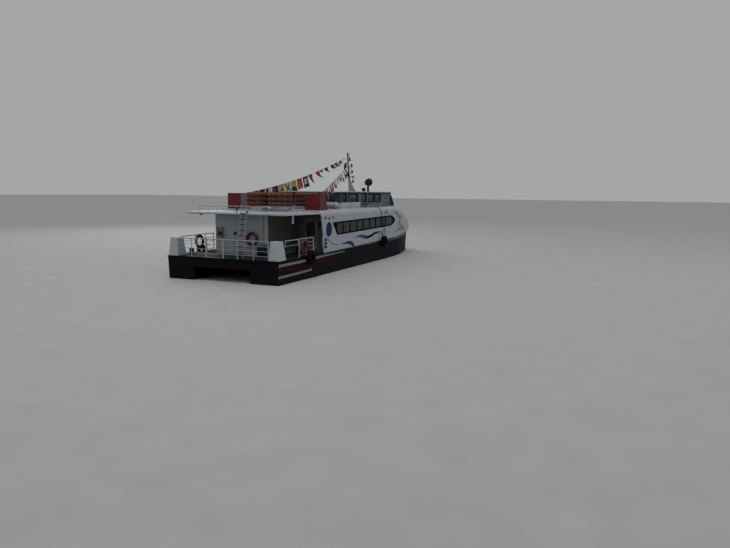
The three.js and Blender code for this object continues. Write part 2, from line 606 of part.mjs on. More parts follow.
// The helm: a console across the wheelhouse front and two chairs on one floor plate
const HELM_FLOOR = WELL.floor + GAP;
const CONSOLE = [[18700, HELM_FLOOR], [19300, HELM_FLOOR], [19300, 3950], [19150, 3980], [18650, 3780], [18650, 3700]];
const CHAIR = [[17700, 3180], [18200, 3180], [18200, 3280], [17820, 3280], [17760, 4000], [17660, 4000]];
place('helm', join(
  block(17400, 19300, -900, 900, HELM_FLOOR, HELM_FLOOR + 20),
  acrossShip(CONSOLE, -1300, 1300),
  ...[-600, 600].flatMap((y) => [
    bar([17950, y, HELM_FLOOR], [17950, y, HELM_FLOOR + 520], 50),
    acrossShip(CHAIR, y - 240, y + 240),
  ]),
), FINISH.black);

// The mast: a raked fin, a tapering pole with a short yard, and lanterns on brackets ahead of it
const MAST = {
  foot: 4795 + GAP, finTop: 5700, poleFoot: [16170, 5450], top: [15850, 7400], lanternTop: 7650,
  yard: { x: 15900, z: 7200, y: [-200, 450], radius: 24 },
  brackets: [[16210, 7060], [16600, 6620], [16660, 6170], [16860, 5460]],
  lantern: { radius: 65, high: 210 },
  lamp: { z: 5880, x: [16700, 16860], radius: [45, 110] },
  whip: { x: 16150, z: [7290, 8170], radius: 12 },
};
const poleX = (z) => THREE.MathUtils.mapLinear(z, MAST.poleFoot[1], MAST.top[1], MAST.poleFoot[0], MAST.top[0]);
place('mast', join(
  loft([
    [[16100, -130, MAST.foot], [17400, -60, MAST.foot], [17400, 60, MAST.foot], [16100, 130, MAST.foot]],
    [[16020, -90, MAST.finTop], [16330, -60, MAST.finTop], [16330, 60, MAST.finTop], [16020, 90, MAST.finTop]],
  ]),
  bar([MAST.poleFoot[0], 0, MAST.poleFoot[1]], [MAST.top[0], 0, MAST.top[1]], 75, 8, 40),
  bar([MAST.top[0], 0, MAST.top[1] - 20], [MAST.top[0], 0, MAST.lanternTop], 70),
  bar([MAST.yard.x, MAST.yard.y[0], MAST.yard.z], [MAST.yard.x, MAST.yard.y[1], MAST.yard.z], MAST.yard.radius),
  ...MAST.brackets.flatMap(([x, z]) => [
    bar([poleX(z), 0, z + 15], [x, 0, z + 15], 18, 6),
    bar([x, 0, z], [x, 0, z + MAST.lantern.high], MAST.lantern.radius),
  ]),
  bar([poleX(MAST.lamp.z), 0, MAST.lamp.z], [MAST.lamp.x[0] + 20, 0, MAST.lamp.z], 40),
  bar([MAST.lamp.x[0], 0, MAST.lamp.z], [MAST.lamp.x[1], 0, MAST.lamp.z], MAST.lamp.radius[0], 8, MAST.lamp.radius[1]),
  bar([MAST.yard.x, 0, 7300], [MAST.whip.x + 10, 0, 7300], 20, 6),
  bar([MAST.whip.x, 0, MAST.whip.z[0]], [MAST.whip.x, 0, MAST.whip.z[1]], MAST.whip.radius, 6),
), FINISH.white);

// The searchlight turns on its post above the wheelhouse
const LIGHT = { x: 18000, y: -770, post: 5230, drum: 5520 };
place('searchlight_post', bar([LIGHT.x, LIGHT.y, MAST.foot], [LIGHT.x, LIGHT.y, LIGHT.post], 55), FINISH.white);
place('searchlight', join(
  bar([LIGHT.x, LIGHT.y, LIGHT.post + GAP], [LIGHT.x, LIGHT.y, LIGHT.post + 90], 60),
  bar([LIGHT.x - 150, LIGHT.y, LIGHT.drum], [LIGHT.x + 190, LIGHT.y, LIGHT.drum], 200, 16, 270),
), FINISH.black);

// The casings over the engine rooms: square ducts whose forward sides lean aft
const CASING = { y: [2220, 3170], x: [5140, 6150], headFore: 5870, foot: ROOF_TOP + GAP, top: 4640 };
SIDES.forEach(([name, side]) => {
  place(`engine_casing_${name}`, acrossShip([
    [CASING.x[0], CASING.foot], [CASING.x[1], CASING.foot], [CASING.headFore, CASING.top], [CASING.x[0], CASING.top],
  ], side * CASING.y[0], side * CASING.y[1]), FINISH.red);
});

// Life floats: three layers to a stack, two stacks side by side on a cradle
const FLOAT = { layer: 240, step: 262, low: 3920, corner: 330 };
function floatPair(x0, x1, inner, outer) {
  const parts = [];
  SIDES.forEach(([, side]) => {
    for (let layer = 0; layer < 3; layer += 1) {
      const low = FLOAT.low + layer * FLOAT.step;
      const plan = roundedRectangle(x0, x1, inner, outer, FLOAT.corner).map(([x, y]) => [x, side * y]);
      parts.push(upwards(plan, low, low + FLOAT.layer));
    }
    const core = roundedRectangle(x0 + 60, x1 - 60, inner + 60, outer - 60, 300).map(([x, y]) => [x, side * y]);
    parts.push(upwards(core, FLOAT.low - 10, FLOAT.low + 2 * FLOAT.step + FLOAT.layer - 20));
  });
  return parts;
}
const beam = (x, half) => block(x - 45, x + 45, -half, half, FLOAT.low - 70, FLOAT.low + 5);
const leg = (x, y, low) => block(x - 40, x + 40, y - 40, y + 40, low + GAP, FLOAT.low - 30);
place('life_floats_aft', join(
  ...floatPair(4200, 5500, 60, 1400), beam(4450, 1300), beam(5250, 1300),
  ...[-1150, 1150].flatMap((y) => [leg(4450, y, CANOPY.z[1]), leg(5250, y, ROOF_TOP)]),
), FINISH.orange);
place('life_floats_forward', join(
  ...floatPair(6300, 7600, 700, 2000), beam(6600, 1900), beam(7300, 1900),
  ...[-1750, 1750].flatMap((y) => [leg(6600, y, ROOF_TOP), leg(7300, y, ROOF_TOP)]),
), FINISH.orange);

// A canister with an inflatable raft lies across the roof in a cradle of two saddles
const RAFT = { x: 8200, y: [-2900, -1800], z: 3935, radius: 190, saddle: [200, 165] };
place('raft_canister', join(
  bar([RAFT.x, RAFT.y[0], RAFT.z], [RAFT.x, RAFT.y[1], RAFT.z], RAFT.radius, 20),
  ...[0.22, 0.78].map((t) => {
    const y = THREE.MathUtils.lerp(...RAFT.y, t);
    const [foot, head] = RAFT.saddle;
    return acrossShip([[RAFT.x - foot, ROOF_TOP + GAP], [RAFT.x + foot, ROOF_TOP + GAP],
      [RAFT.x + head, RAFT.z - 60], [RAFT.x - head, RAFT.z - 60]], y - 30, y + 30);
  }),
), FINISH.white);

// The ladder from the aft deck to the roof, and the low rail along the roof's edge
const LADDER = { y: [-790, -440], foot: [830, DECK + 4], head: [1225, 3560], over: [1262, 3990] };
const RUNGS = { count: 8, first: 1530, pitch: 290 };
const ladderX = (z) => THREE.MathUtils.mapLinear(z, LADDER.foot[1], LADDER.head[1], LADDER.foot[0], LADDER.head[0]);
place('ladder', join(
  ...LADDER.y.flatMap((y) => [
    bar([LADDER.foot[0], y, LADDER.foot[1]], [LADDER.head[0], y, LADDER.head[1]], 22),
    bar([LADDER.head[0], y, LADDER.head[1] - 20], [LADDER.over[0], y, LADDER.over[1]], 22),
    bar([LADDER.over[0], y, LADDER.over[1] - 22], [1345, y, LADDER.over[1] - 22], 18),
  ]),
  ...Array.from({ length: RUNGS.count }, (_, i) => RUNGS.first + i * RUNGS.pitch).map((z) =>
    bar([ladderX(z), LADDER.y[0], z], [ladderX(z), LADDER.y[1], z], 15, 6)),
), FINISH.white);

const ROOF_RAIL = { x: 1400, y: [-3050, 2430], top: 3945, mid: 3770, posts: 10, returnPosts: [2050, 2700, 3350] };
const roofPost = (x, y) => bar([x, y, CANOPY.z[1] + GAP], [x, y, ROOF_RAIL.top], 14, 6);
place('roof_rail', join(
  bar([ROOF_RAIL.x, ROOF_RAIL.y[0] - 14, ROOF_RAIL.top], [ROOF_RAIL.x, ROOF_RAIL.y[1] + 14, ROOF_RAIL.top], 20),
  bar([ROOF_RAIL.x, ROOF_RAIL.y[0], ROOF_RAIL.mid], [ROOF_RAIL.x, ROOF_RAIL.y[1], ROOF_RAIL.mid], 12, 6),
  bar([ROOF_RAIL.x, ROOF_RAIL.y[0], ROOF_RAIL.top],
    [ROOF_RAIL.returnPosts.at(-1), ROOF_RAIL.y[0], ROOF_RAIL.top], 20),
  ...ROOF_RAIL.returnPosts.map((x) => roofPost(x, ROOF_RAIL.y[0])),
  ...Array.from({ length: ROOF_RAIL.posts }, (_, i) =>
    roofPost(ROOF_RAIL.x, THREE.MathUtils.lerp(...ROOF_RAIL.y, i / (ROOF_RAIL.posts - 1)))),
), FINISH.white);

// Lifebuoys hang on the deckhouse and on both side rails
const BUOY = { ring: 310, tube: 65, railX: 2700 };
const lifebuoy = () => new THREE.TorusGeometry(BUOY.ring, BUOY.tube, 8, 20);
place('lifebuoy_deckhouse', lifebuoy().rotateY(Math.PI / 2), FINISH.buoy,
  [HOUSE.x[0] - BUOY.tube - GAP, -750, 2180]);
SIDES.forEach(([name, side]) => {
  place(`lifebuoy_${name}`, lifebuoy().rotateX(Math.PI / 2), FINISH.buoy,
    [BUOY.railX, side * (SIDE_RAIL.y + RAIL.lowR * Math.cos(Math.PI / 6) + BUOY.tube + GAP), 1830]);
});

// Tyre fenders hang just outside the rubbing strip and the hull
const TYRE_HALF = 110;
const TYRE = [[190, -TYRE_HALF], [300, -TYRE_HALF], [380, -80], [390, 0], [380, 80], [300, TYRE_HALF],
  [190, TYRE_HALF], [215, 0]];
SIDES.forEach(([name, side]) => {
  [['aft', 3150, 1180], ['forward', 14200, 1300]].forEach(([where, x, z]) => {
    const skin = deckEdge(x - TYRE_HALF) + RUB.seat + RUB.out;
    place(`tyre_fender_${where}_${name}`, ring(TYRE), FINISH.rubber,
      [x, side * (skin + TYRE_HALF + 2 * GAP), z]);
  });
});

// Bollards on the aft deck: a pair of posts on a plate
SIDES.forEach(([name, side]) => {
  place(`bollard_${name}`, join(
    block(1050, 1450, side * 2780, side * 3000, DECK + GAP, DECK + 20),
    bar([1140, side * 2890, DECK + 10], [1140, side * 2890, DECK + 330], 65, 12),
    bar([1360, side * 2890, DECK + 10], [1360, side * 2890, DECK + 330], 65, 12),
  ), FINISH.black);
});

// Under the hulls: shafts on their brackets, propellers and rudders
const BLADE = [
  [-34, 50], [-96, 150], [-136, 235], [-118, 315], [-46, 366], [46, 366], [118, 315], [136, 235], [96, 150], [34, 50],
];

/** A propeller on its hub: flat blades set at one pitch. */
function propeller() {
  const blade = (turn) => alongShip(BLADE, -PROPELLER.thick / 2, PROPELLER.thick / 2)
    .rotateZ(-PROPELLER.pitch).rotateX(turn);
  const hub = bar([-110, 0, 0], [PROPELLER.hubFore, 0, 0], PROPELLER.hub, 12);
  const cap = bar([-190, 0, 0], [-110, 0, 0], 20, 12, PROPELLER.hub);
  const blades = Array.from({ length: PROPELLER.blades }, (_, i) => blade((i * 2 * Math.PI) / PROPELLER.blades));
  return join(hub.rotateX(PROPELLER.turn), cap.rotateX(PROPELLER.turn), ...blades);
}

SIDES.forEach(([name, side]) => {
  const y = side * SHAFT.y;
  const hull = hullShape(side);
  hull.translate(0, 0, -GAP);
  const aft = PROPELLER.x + PROPELLER.hubFore + GAP;
  const shafting = join(
    bar([aft, y, SHAFT.z], [SHAFT.fore, y, SHAFT.z], SHAFT.radius, 12),
    bar([aft, y, SHAFT.z], [aft + 220, y, SHAFT.z], 70, 12),
    block(aft + 40, aft + 190, y - 14, y + 14, SHAFT.z, -200),
  );
  place(`shaft_${name}`, cut(shafting, hull), FINISH.steel);
  place(`propeller_${name}`, propeller().scale(1, -side, 1), FINISH.bronze, [PROPELLER.x, y, SHAFT.z]);
  const blade = upwards([
    [RUDDER.chord[0] - RUDDER.x, 0], [RUDDER.chord[0] - RUDDER.x + 120, -RUDDER.thick * 0.4],
    [60, -RUDDER.thick * 0.5], [150, -RUDDER.thick * 0.4], [RUDDER.chord[1] - RUDDER.x, 0],
    [150, RUDDER.thick * 0.4], [60, RUDDER.thick * 0.5], [RUDDER.chord[0] - RUDDER.x + 120, RUDDER.thick * 0.4],
  ], RUDDER.z[0], RUDDER.z[1]);
  place(`rudder_${name}`, join(blade, bar([0, 0, RUDDER.z[1] - 100], [0, 0, RUDDER.boss - GAP], 24, 10)),
    FINISH.steel, [RUDDER.x, y, 0]);
});

export default ship;
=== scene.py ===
"""The twin-hulled passenger ferry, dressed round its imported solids.

Metres. The frame's x runs forward from amidships, y to port and z up from the water. The classes
below give x from the transom, as a builder's drawing does, and Skin moves each point into the frame.
"""
import functools
import logging
import math
from collections.abc import Sequence
from dataclasses import dataclass, field
from enum import Enum

import bmesh
import bpy
import numpy as np
from mathutils import Matrix, Vector
from mathutils.geometry import tessellate_polygon


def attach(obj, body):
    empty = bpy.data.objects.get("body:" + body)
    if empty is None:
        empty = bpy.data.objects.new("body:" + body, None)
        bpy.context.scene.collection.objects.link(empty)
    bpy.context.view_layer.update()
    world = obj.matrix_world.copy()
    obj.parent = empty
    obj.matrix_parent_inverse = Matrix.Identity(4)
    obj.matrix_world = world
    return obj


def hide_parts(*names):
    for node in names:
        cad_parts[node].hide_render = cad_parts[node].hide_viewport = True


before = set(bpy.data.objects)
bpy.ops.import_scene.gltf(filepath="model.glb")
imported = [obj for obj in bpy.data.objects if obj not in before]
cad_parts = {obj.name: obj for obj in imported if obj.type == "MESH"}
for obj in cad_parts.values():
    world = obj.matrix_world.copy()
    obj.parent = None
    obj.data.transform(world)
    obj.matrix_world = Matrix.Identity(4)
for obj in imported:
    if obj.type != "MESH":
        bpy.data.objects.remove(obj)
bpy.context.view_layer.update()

log = logging.getLogger("ferry")

Array = np.ndarray
Colour = tuple[float, float, float]
Socket = bpy.types.NodeSocket

MIDSHIP = 11.35
SIDES = (("starboard", -1), ("port", 1))
DECK = 1.25
HALF_BEAM = 3.5
BOW_START = 17.2
SHIP = "ship"

# Feet of what stands on a deck or a roof, each a hair above it, and the cabin's end just aft of the bow
ON_DECK, ON_AFT_ROOF, ON_ROOF, ON_UPPER_ROOF, CABIN_END = 1.2503, 3.6203, 3.7003, 4.7953, 17.1997
# Points that lie closer than this become one
WELD = 2e-5
# The shafts' place across and their height, and the rudders' place along
SHAFT_Y, SHAFT_Z, RUDDER_X = 2.65, -0.74, 0.33
# Feet of the doors' knuckles, and of the fixed lugs that carry them
KNUCKLES, LUGS = (1.70, 2.80), (1.6877, 2.7877)


# Curves and outlines


def monotone(x: Array, knots: Sequence[float], values: Sequence) -> Array:
    """A smooth curve through knots that never swings past them.

    Each span is the cubic whose slope at a knot is the harmonic mean of the slopes on both sides,
    or nothing where the curve turns back.

    Args:
        x: Where the curve is wanted.
        knots: Rising places of the known values.
        values: One value, or one row of values, for each knot.

    Returns:
        The values at x.
    """
    places, known = np.asarray(knots, float), np.asarray(values, float)
    wide = (slice(None),) + (None,) * (known.ndim - 1)
    gaps = np.diff(places)
    rise = np.diff(known, axis=0) / gaps[wide]
    product, total = rise[1:] * rise[:-1], rise[1:] + rise[:-1]
    inner = np.where(product > 0, 2 * product / np.where(total == 0, 1, total), 0)
    slope = np.concatenate([rise[:1], inner, rise[-1:]])
    i = np.clip(np.searchsorted(places, x) - 1, 0, len(places) - 2)
    t = ((np.asarray(x, float) - places[i]) / gaps[i])[wide]
    gap = gaps[i][wide]
    return ((1 + 2 * t) * (1 - t) ** 2 * known[i] + t * (1 - t) ** 2 * gap * slope[i]
            + t ** 2 * (3 - 2 * t) * known[i + 1] + t ** 2 * (t - 1) * gap * slope[i + 1])


def flowing(points: Array, per_span: int) -> Array:
    """A smooth curve through control points along the second last axis.

    Each span is the cubic whose end slopes are half the step between the points on both sides.

    Args:
        points: Control points, of shape (..., count, 3).
        per_span: Samples in each span.

    Returns:
        The samples, of shape (..., spans * per_span + 1, 3).
    """
    first = 2 * points[..., :1, :] - points[..., 1:2, :]
    last = 2 * points[..., -1:, :] - points[..., -2:-1, :]
    p = np.concatenate([first, points, last], axis=-2)
    t = np.linspace(0, 1, per_span, endpoint=False)[:, None]
    a, b, c, d = (p[..., k:p.shape[-2] - 3 + k, None, :] for k in range(4))
    spans = 0.5 * (2 * b + (c - a) * t + (2 * a - 5 * b + 4 * c - d) * t ** 2
                   + (3 * b - a - 3 * c + d) * t ** 3)
    flat = spans.reshape(*points.shape[:-2], -1, points.shape[-1])
    return np.concatenate([flat, points[..., -1:, :]], axis=-2)


def rounded(corners: Sequence, radius: float, steps: int = 4, closed: bool = True) -> Array:
    """A polygon or a path with each corner eased into a curve.

    A corner becomes the quadratic curve that leaves one edge and joins the next at the same distance.

    Args:
        corners: Corner points, in two or three dimensions.
        radius: Distance from the corner at which the curve starts, at most 0.48 of an edge.
        steps: Segments in each corner.
        closed: Whether the last corner joins the first.
    """
    p = np.asarray(corners, float)
    before, after = np.roll(p, 1, 0) - p, np.roll(p, -1, 0) - p
    lengths = [np.linalg.norm(v, axis=1, keepdims=True) + 1e-12 for v in (before, after)]
    reach = [np.minimum(radius, 0.48 * length) / length for length in lengths]
    t = np.linspace(0, 1, steps + 1)[None, :, None]
    start, end = (p + before * reach[0])[:, None], (p + after * reach[1])[:, None]
    curves = (1 - t) ** 2 * start + 2 * t * (1 - t) * p[:, None] + t ** 2 * end
    if closed:
        return curves.reshape(-1, p.shape[1])
    return np.concatenate([p[:1], curves[1:-1].reshape(-1, p.shape[1]), p[-1:]])


def inset(outline: Array, distance: float) -> Array:
    """A closed flat outline moved inwards: each point slides along the mitre of its two edges."""
    edge = np.roll(outline, -1, 0) - outline
    area = np.sum(outline[:, 0] * np.roll(outline[:, 1], -1) - outline[:, 1] * np.roll(outline[:, 0], -1))
    inward = np.stack([-edge[:, 1], edge[:, 0]], 1) * np.sign(area)
    inward /= np.linalg.norm(inward, axis=1, keepdims=True) + 1e-12
    before = np.roll(inward, 1, 0)
    return outline + distance * (inward + before) / (1 + np.sum(inward * before, 1, keepdims=True)).clip(0.3)


def rectangle(a0: float, a1: float, b0: float, b1: float) -> Array:
    """The four corners of a rectangle, anticlockwise, whichever of two numbers comes first."""
    (a0, a1), (b0, b1) = sorted((a0, a1)), sorted((b0, b1))
    return np.array([[a0, b0], [a1, b0], [a1, b1], [a0, b1]], float)


def circle(radius: float, count: int) -> Array:
    """Points round a circle about nothing, anticlockwise."""
    turn = 2 * np.pi * np.arange(count) / count
    return radius * np.stack([np.cos(turn), np.sin(turn)], 1)


class Axis(Enum):
    """The direction that a flat outline is carried along, with where its two numbers and its depth go."""

    X = (1, 2, 0)
    Y = (0, 2, 1)
    Z = (0, 1, 2)

    def place(self, flat: Array, depth: Array | float) -> Array:
        """Points in space from points of the outline and their depth along the axis."""
        out = np.empty(flat.shape[:-1] + (3,))
        a, b, c = self.value
        out[..., a], out[..., b], out[..., c] = flat[..., 0], flat[..., 1], depth
        return out


class Skin:
    """Surfaces gathered into one piece; each face keeps the number of its finish."""

    def __init__(self) -> None:
        self.points: list[Array] = []
        self.loops: list[Array] = []
        self.sizes: list[Array] = []
        self.marks: list[Array] = []
        self.count = 0

    def faces(self, points: Array, faces: Array, mark: int | Array = 0) -> None:
        """Adds points and the faces between them, all with as many corners."""
        faces = np.asarray(faces).reshape(len(faces), -1)
        self.loops.append((faces + self.count).ravel())
        self.sizes.append(np.full(len(faces), faces.shape[1]))
        self.marks.append(np.broadcast_to(mark, len(faces)))
        self.points.append(points.reshape(-1, 3))
        self.count += points.size // 3

    def grid(self, rows: Array, around: bool = False, along: bool = False, mark: int | Array = 0,
             keep: Array | None = None) -> None:
        """A surface over a grid of points.

        Args:
            rows: Points of shape (rows, columns, 3).
            around: Whether the last column joins the first.
            along: Whether the last row joins the first.
            mark: Finish number, for all cells or one for each.
            keep: Which cells are there, of shape (row cells, column cells).
        """
        n, m = rows.shape[:2]
        i, j = np.meshgrid(np.arange(n if along else n - 1), np.arange(m if around else m - 1), indexing="ij")
        k, h = (i + 1) % n, (j + 1) % m
        cells = np.stack([i * m + j, i * m + h, k * m + h, k * m + j], -1)
        chosen = np.ones(i.shape, bool) if keep is None else keep
        marks = np.broadcast_to(mark, i.shape)[chosen]
        self.faces(rows, cells[chosen], marks)

    def lid(self, ring: Array, mark: int = 0) -> None:
        """One flat face that closes a ring."""
        self.faces(ring, np.arange(len(ring))[None], mark)

    def loft(self, rings: Array, mark: int | Array = 0) -> None:
        """A skin round rings of equally many points, with a lid of the first face's finish on each end."""
        self.grid(rings, around=True, mark=mark)
        cover = int(np.ravel(mark)[0])
        self.lid(rings[0][::-1], cover)
        self.lid(rings[-1], cover)

    def sweep(self, path: Array, profile: Array, up: Sequence[float] | None = None, closed: bool = False,
              mark: int = 0, scale: Array | float = 1.0) -> None:
        """A profile carried along a path.

        The profile's second number goes along up, made square to the path, and its first along the
        path's direction crossed with that. Without up, the normal of the path's own plane is taken.
        """
        path = np.asarray(path, float)
        ahead, behind = np.roll(path, -1, 0), np.roll(path, 1, 0)
        if not closed:
            ahead[-1], behind[0] = path[-1], path[0]
        tangent = ahead - behind
        tangent /= np.linalg.norm(tangent, axis=1, keepdims=True) + 1e-12
        if up is None:
            up = np.linalg.svd(path - path.mean(0), full_matrices=True)[2][2]
        high = np.asarray(up, float) - tangent * (tangent @ np.asarray(up, float))[:, None]
        high /= np.linalg.norm(high, axis=1, keepdims=True) + 1e-12
        out = np.cross(tangent, high)
        size = np.broadcast_to(scale, len(path))[:, None, None]
        rings = path[:, None] + size * (out[:, None] * profile[None, :, :1]
                                        + high[:, None] * profile[None, :, 1:])
        if closed:
            self.grid(rings, around=True, along=True, mark=mark)
        else:
            self.loft(rings, mark)

    def tube(self, path: Sequence, radius: float, sides: int = 10, mark: int = 0, closed: bool = False,
             scale: Array | float = 1.0) -> None:
        """A round bar along a path."""
        self.sweep(np.asarray(path, float), circle(radius, sides), closed=closed, mark=mark, scale=scale)

    def bent(self, corners: Sequence, radius: float, bend: float, sides: int = 10, mark: int = 0) -> None:
        """A round bar through corners, each eased by the bend."""
        self.tube(rounded(corners, bend, closed=False), radius, sides, mark)

    def turned(self, profile: Sequence, centre: Sequence[float], axis: Axis = Axis.X, sides: int = 28,
               mark: int = 0) -> None:
        """A profile of (distance along the axis, radius) turned about a line through the centre."""
        shape = np.asarray(profile, float)
        flat = shape[:, None, 1:] * circle(1, sides)[None]
        self.loft(axis.place(flat, shape[:, None, 0]) + np.asarray(centre, float), mark)

    def prism(self, outline: Array, low: float, high: float, axis: Axis = Axis.Z, bevel: float = 0.0,
              mark: int = 0, steps: int = 3) -> None:
        """An outline carried along an axis, its two rims eased by a quarter round."""
        if bevel <= 0:
            levels, insets = np.array([low, high]), np.zeros(2)
        else:
            turn = np.linspace(0, np.pi / 2, steps + 1)
            levels = np.concatenate([low + bevel * (1 - np.cos(turn)),
                                     (high - bevel * (1 - np.cos(turn)))[::-1]])
            insets = np.concatenate([bevel * (1 - np.sin(turn)), (bevel * (1 - np.sin(turn)))[::-1]])
        rings = np.stack([axis.place(inset(outline, d), level) for level, d in zip(levels, insets)])
        self.loft(rings, mark)

    def walls(self, outer: Array, inner: Array, holes: Array, inside: int, around: bool = True) -> None:
        """A shell of even grids of points outside and inside, with openings.

        Args:
            outer: Points of the outer face, of shape (levels, columns, 3).
            inner: Points of the inner face, in the same order.
            holes: Which cells are open, of shape (levels - 1, column cells).
            inside: Finish number of the inner face; the rest has the first finish.
            around: Whether the last column joins the first.
        """
        n, m = outer.shape[:2]
        solid = ~holes
        cells = solid.shape[1]
        at = np.arange(n * m).reshape(n, m)
        if around:
            at = np.concatenate([at, at[:, :1]], 1)
        deep = at + n * m
        quad = np.stack([at[:-1, :-1], at[:-1, 1:], at[1:, 1:], at[1:, :-1]], -1)
        faces = [quad[solid], (quad + n * m)[solid][:, ::-1]]
        marks = [np.zeros(len(faces[0]), int), np.full(len(faces[1]), inside)]
        above = np.concatenate([solid, np.zeros((1, cells), bool)])
        below = np.concatenate([np.zeros((1, cells), bool), solid])
        level = np.stack([at[:, :-1], at[:, 1:], deep[:, 1:], deep[:, :-1]], -1)[above != below]
        edge = solid[:, :1] if around else np.zeros((n - 1, 1), bool)
        last = solid[:, -1:] if around else np.zeros((n - 1, 1), bool)
        right, left = np.concatenate([solid, edge], 1), np.concatenate([last, solid], 1)
        differ = right != left
        if around:
            differ[:, -1] = False
        upright = np.stack([at[:-1], at[1:], deep[1:], deep[:-1]], -1)[differ]
        faces += [level, upright]
        marks += [np.zeros(len(level) + len(upright), int)]
        self.faces(np.concatenate([outer, inner]), np.concatenate(faces), np.concatenate(marks))

    def plate(self, loops: Sequence[Array], low: float, high: float, axis: Axis = Axis.Y,
              bevel: float = 0.003, mark: int = 0) -> None:
        """A flat plate with its edges eased: the first loop is its outline and the rest are holes in it."""
        low, high = min(low, high), max(low, high)
        levels = (low, low + bevel, high - bevel, high)
        ends: list[tuple[list, list]] = [([], []), ([], [])]
        for k, loop in enumerate(loops):
            eased = inset(np.asarray(loop, float), -bevel if k else bevel)
            rings = np.stack([axis.place(eased if j in (0, 3) else np.asarray(loop, float), level)
                              for j, level in enumerate(levels)])
            self.grid(rings, around=True, mark=mark)
            for end, depth in zip(ends, (low, high)):
                end[0].append([Vector((a, b, 0)) for a, b in eased])
                end[1].append(axis.place(eased, depth))
        for flat, placed in ends:
            triangles = tessellate_polygon(flat)
            self.faces(np.concatenate(placed), np.array(triangles), mark)

    def rim(self, opening: Array, wide: float, low: float, high: float, axis: Axis = Axis.Y,
            bevel: float = 0.003, mark: int = 0) -> None:
        """A flat frame of even width round an opening."""
        self.plate([inset(opening, -wide), opening[::-1]], low, high, axis, bevel, mark)

    def box(self, low: Sequence[float], high: Sequence[float], bevel: float = 0.01, mark: int = 0) -> None:
        """A block with all its edges eased."""
        (x0, y0, z0), (x1, y1, z1) = np.minimum(low, high), np.maximum(low, high)
        ease = min(bevel, 0.45 * min(x1 - x0, y1 - y0, z1 - z0))
        self.prism(rounded(rectangle(x0, x1, y0, y1), 1.3 * ease, 3), z0, z1, Axis.Z, ease, mark)

    def ball(self, centre: Sequence[float], radius: float, mark: int = 0) -> None:
        """A round knob."""
        turn = np.linspace(-0.5 * np.pi, 0.5 * np.pi, 7)[1:-1]
        self.turned(np.stack([radius * np.sin(turn), radius * np.cos(turn)], 1), centre, Axis.Z, 12, mark)

    def piece(self, name: str, body: str, finishes: Sequence["Finish"], slot: str,
              replaces: Sequence[str] = (), sharp: float = 38.0, outward: bool = True) -> bpy.types.Object:
        """Makes the gathered faces one object that rides on a body.

        Args:
            name: The piece's name.
            body: The CAD body that carries it.
            finishes: Finishes in the order of the face numbers.
            slot: Not used.
            replaces: CAD nodes that it stands for.
            sharp: Edges that turn by more degrees than this stay crisp.
            outward: Whether the faces of closed shapes are turned outwards.

        Returns:
            The finished object.
        """
        mesh = bpy.data.meshes.new(name)
        points = np.concatenate(self.points) - (MIDSHIP, 0, 0)
        loops, sizes = np.concatenate(self.loops), np.concatenate(self.sizes)
        mesh.vertices.add(len(points))
        mesh.vertices.foreach_set("co", points.astype(np.float32).ravel())
        mesh.loops.add(len(loops))
        mesh.loops.foreach_set("vertex_index", loops.astype(np.int32))
        mesh.polygons.add(len(sizes))
        mesh.polygons.foreach_set("loop_start", (np.cumsum(sizes) - sizes).astype(np.int32))
        mesh.polygons.foreach_set("material_index", np.concatenate(self.marks).astype(np.int32))
        mesh.update(calc_edges=True)
        shape = bmesh.new()
        shape.from_mesh(mesh)
        bmesh.ops.remove_doubles(shape, verts=shape.verts, dist=WELD)
        bmesh.ops.dissolve_degenerate(shape, edges=shape.edges, dist=WELD / 20)
        if outward:
            bmesh.ops.recalc_face_normals(shape, faces=shape.faces)
        for face in shape.faces:
            face.smooth = True
        shape.to_mesh(mesh)
        shape.free()
        mesh.set_sharp_from_angle(angle=math.radians(sharp))
        thing = bpy.data.objects.new(name, mesh)
        bpy.context.scene.collection.objects.link(thing)
        for finish in finishes:
            mesh.materials.append(material(finish))
        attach(thing, body)
        if replaces:
            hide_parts(*replaces)
        log.info("%s: %d faces on %s", name, len(mesh.polygons), body)
        return thing


# Finishes


def node(tree: bpy.types.NodeTree, kind: str, inputs: dict | None = None,
         **settings: object) -> bpy.types.Node:
    """Adds a node, sets its options, and joins or fills its inputs."""
    made = tree.nodes.new(kind)
    for key, value in settings.items():
        setattr(made, key, value)
    for key, value in (inputs or {}).items():
        if isinstance(value, bpy.types.NodeSocket):
            tree.links.new(value, made.inputs[key])
        else:
            made.inputs[key].default_value = value
    return made


def maths(tree: bpy.types.NodeTree, operation: str, *values: object, clamp: bool = False) -> Socket:
    """One sum, product or other operation on values or sockets."""
    return node(tree, "ShaderNodeMath", dict(enumerate(values)), operation=operation,
                use_clamp=clamp).outputs[0]


def between(tree: bpy.types.NodeTree, value: Socket, low: float, high: float) -> Socket:
    """Nought below low, one above high and a smooth rise between."""
    return node(tree, "ShaderNodeMapRange", {0: value, 1: low, 2: high},
                interpolation_type="SMOOTHSTEP").outputs[0]


def mixed(tree: bpy.types.NodeTree, share: object, a: object, b: object, blend: str = "MIX") -> Socket:
    """Two colours mixed by a share."""
    made = node(tree, "ShaderNodeMix", {0: share, 6: a, 7: b}, data_type="RGBA", blend_type=blend)
    return made.outputs[2]


def grey(tree: bpy.types.NodeTree, value: Socket) -> Socket:
    """A value as a grey colour."""
    return node(tree, "ShaderNodeCombineColor", {0: value, 1: value, 2: value}).outputs[0]


def noise(tree: bpy.types.NodeTree, place: Socket, scale: object, detail: float = 3.0,
          rough: float = 0.55) -> Socket:
    """Cloudy noise from nought to one."""
    inputs = {"Vector": place, "Scale": scale, "Detail": detail, "Roughness": rough}
    return node(tree, "ShaderNodeTexNoise", inputs).outputs[0]


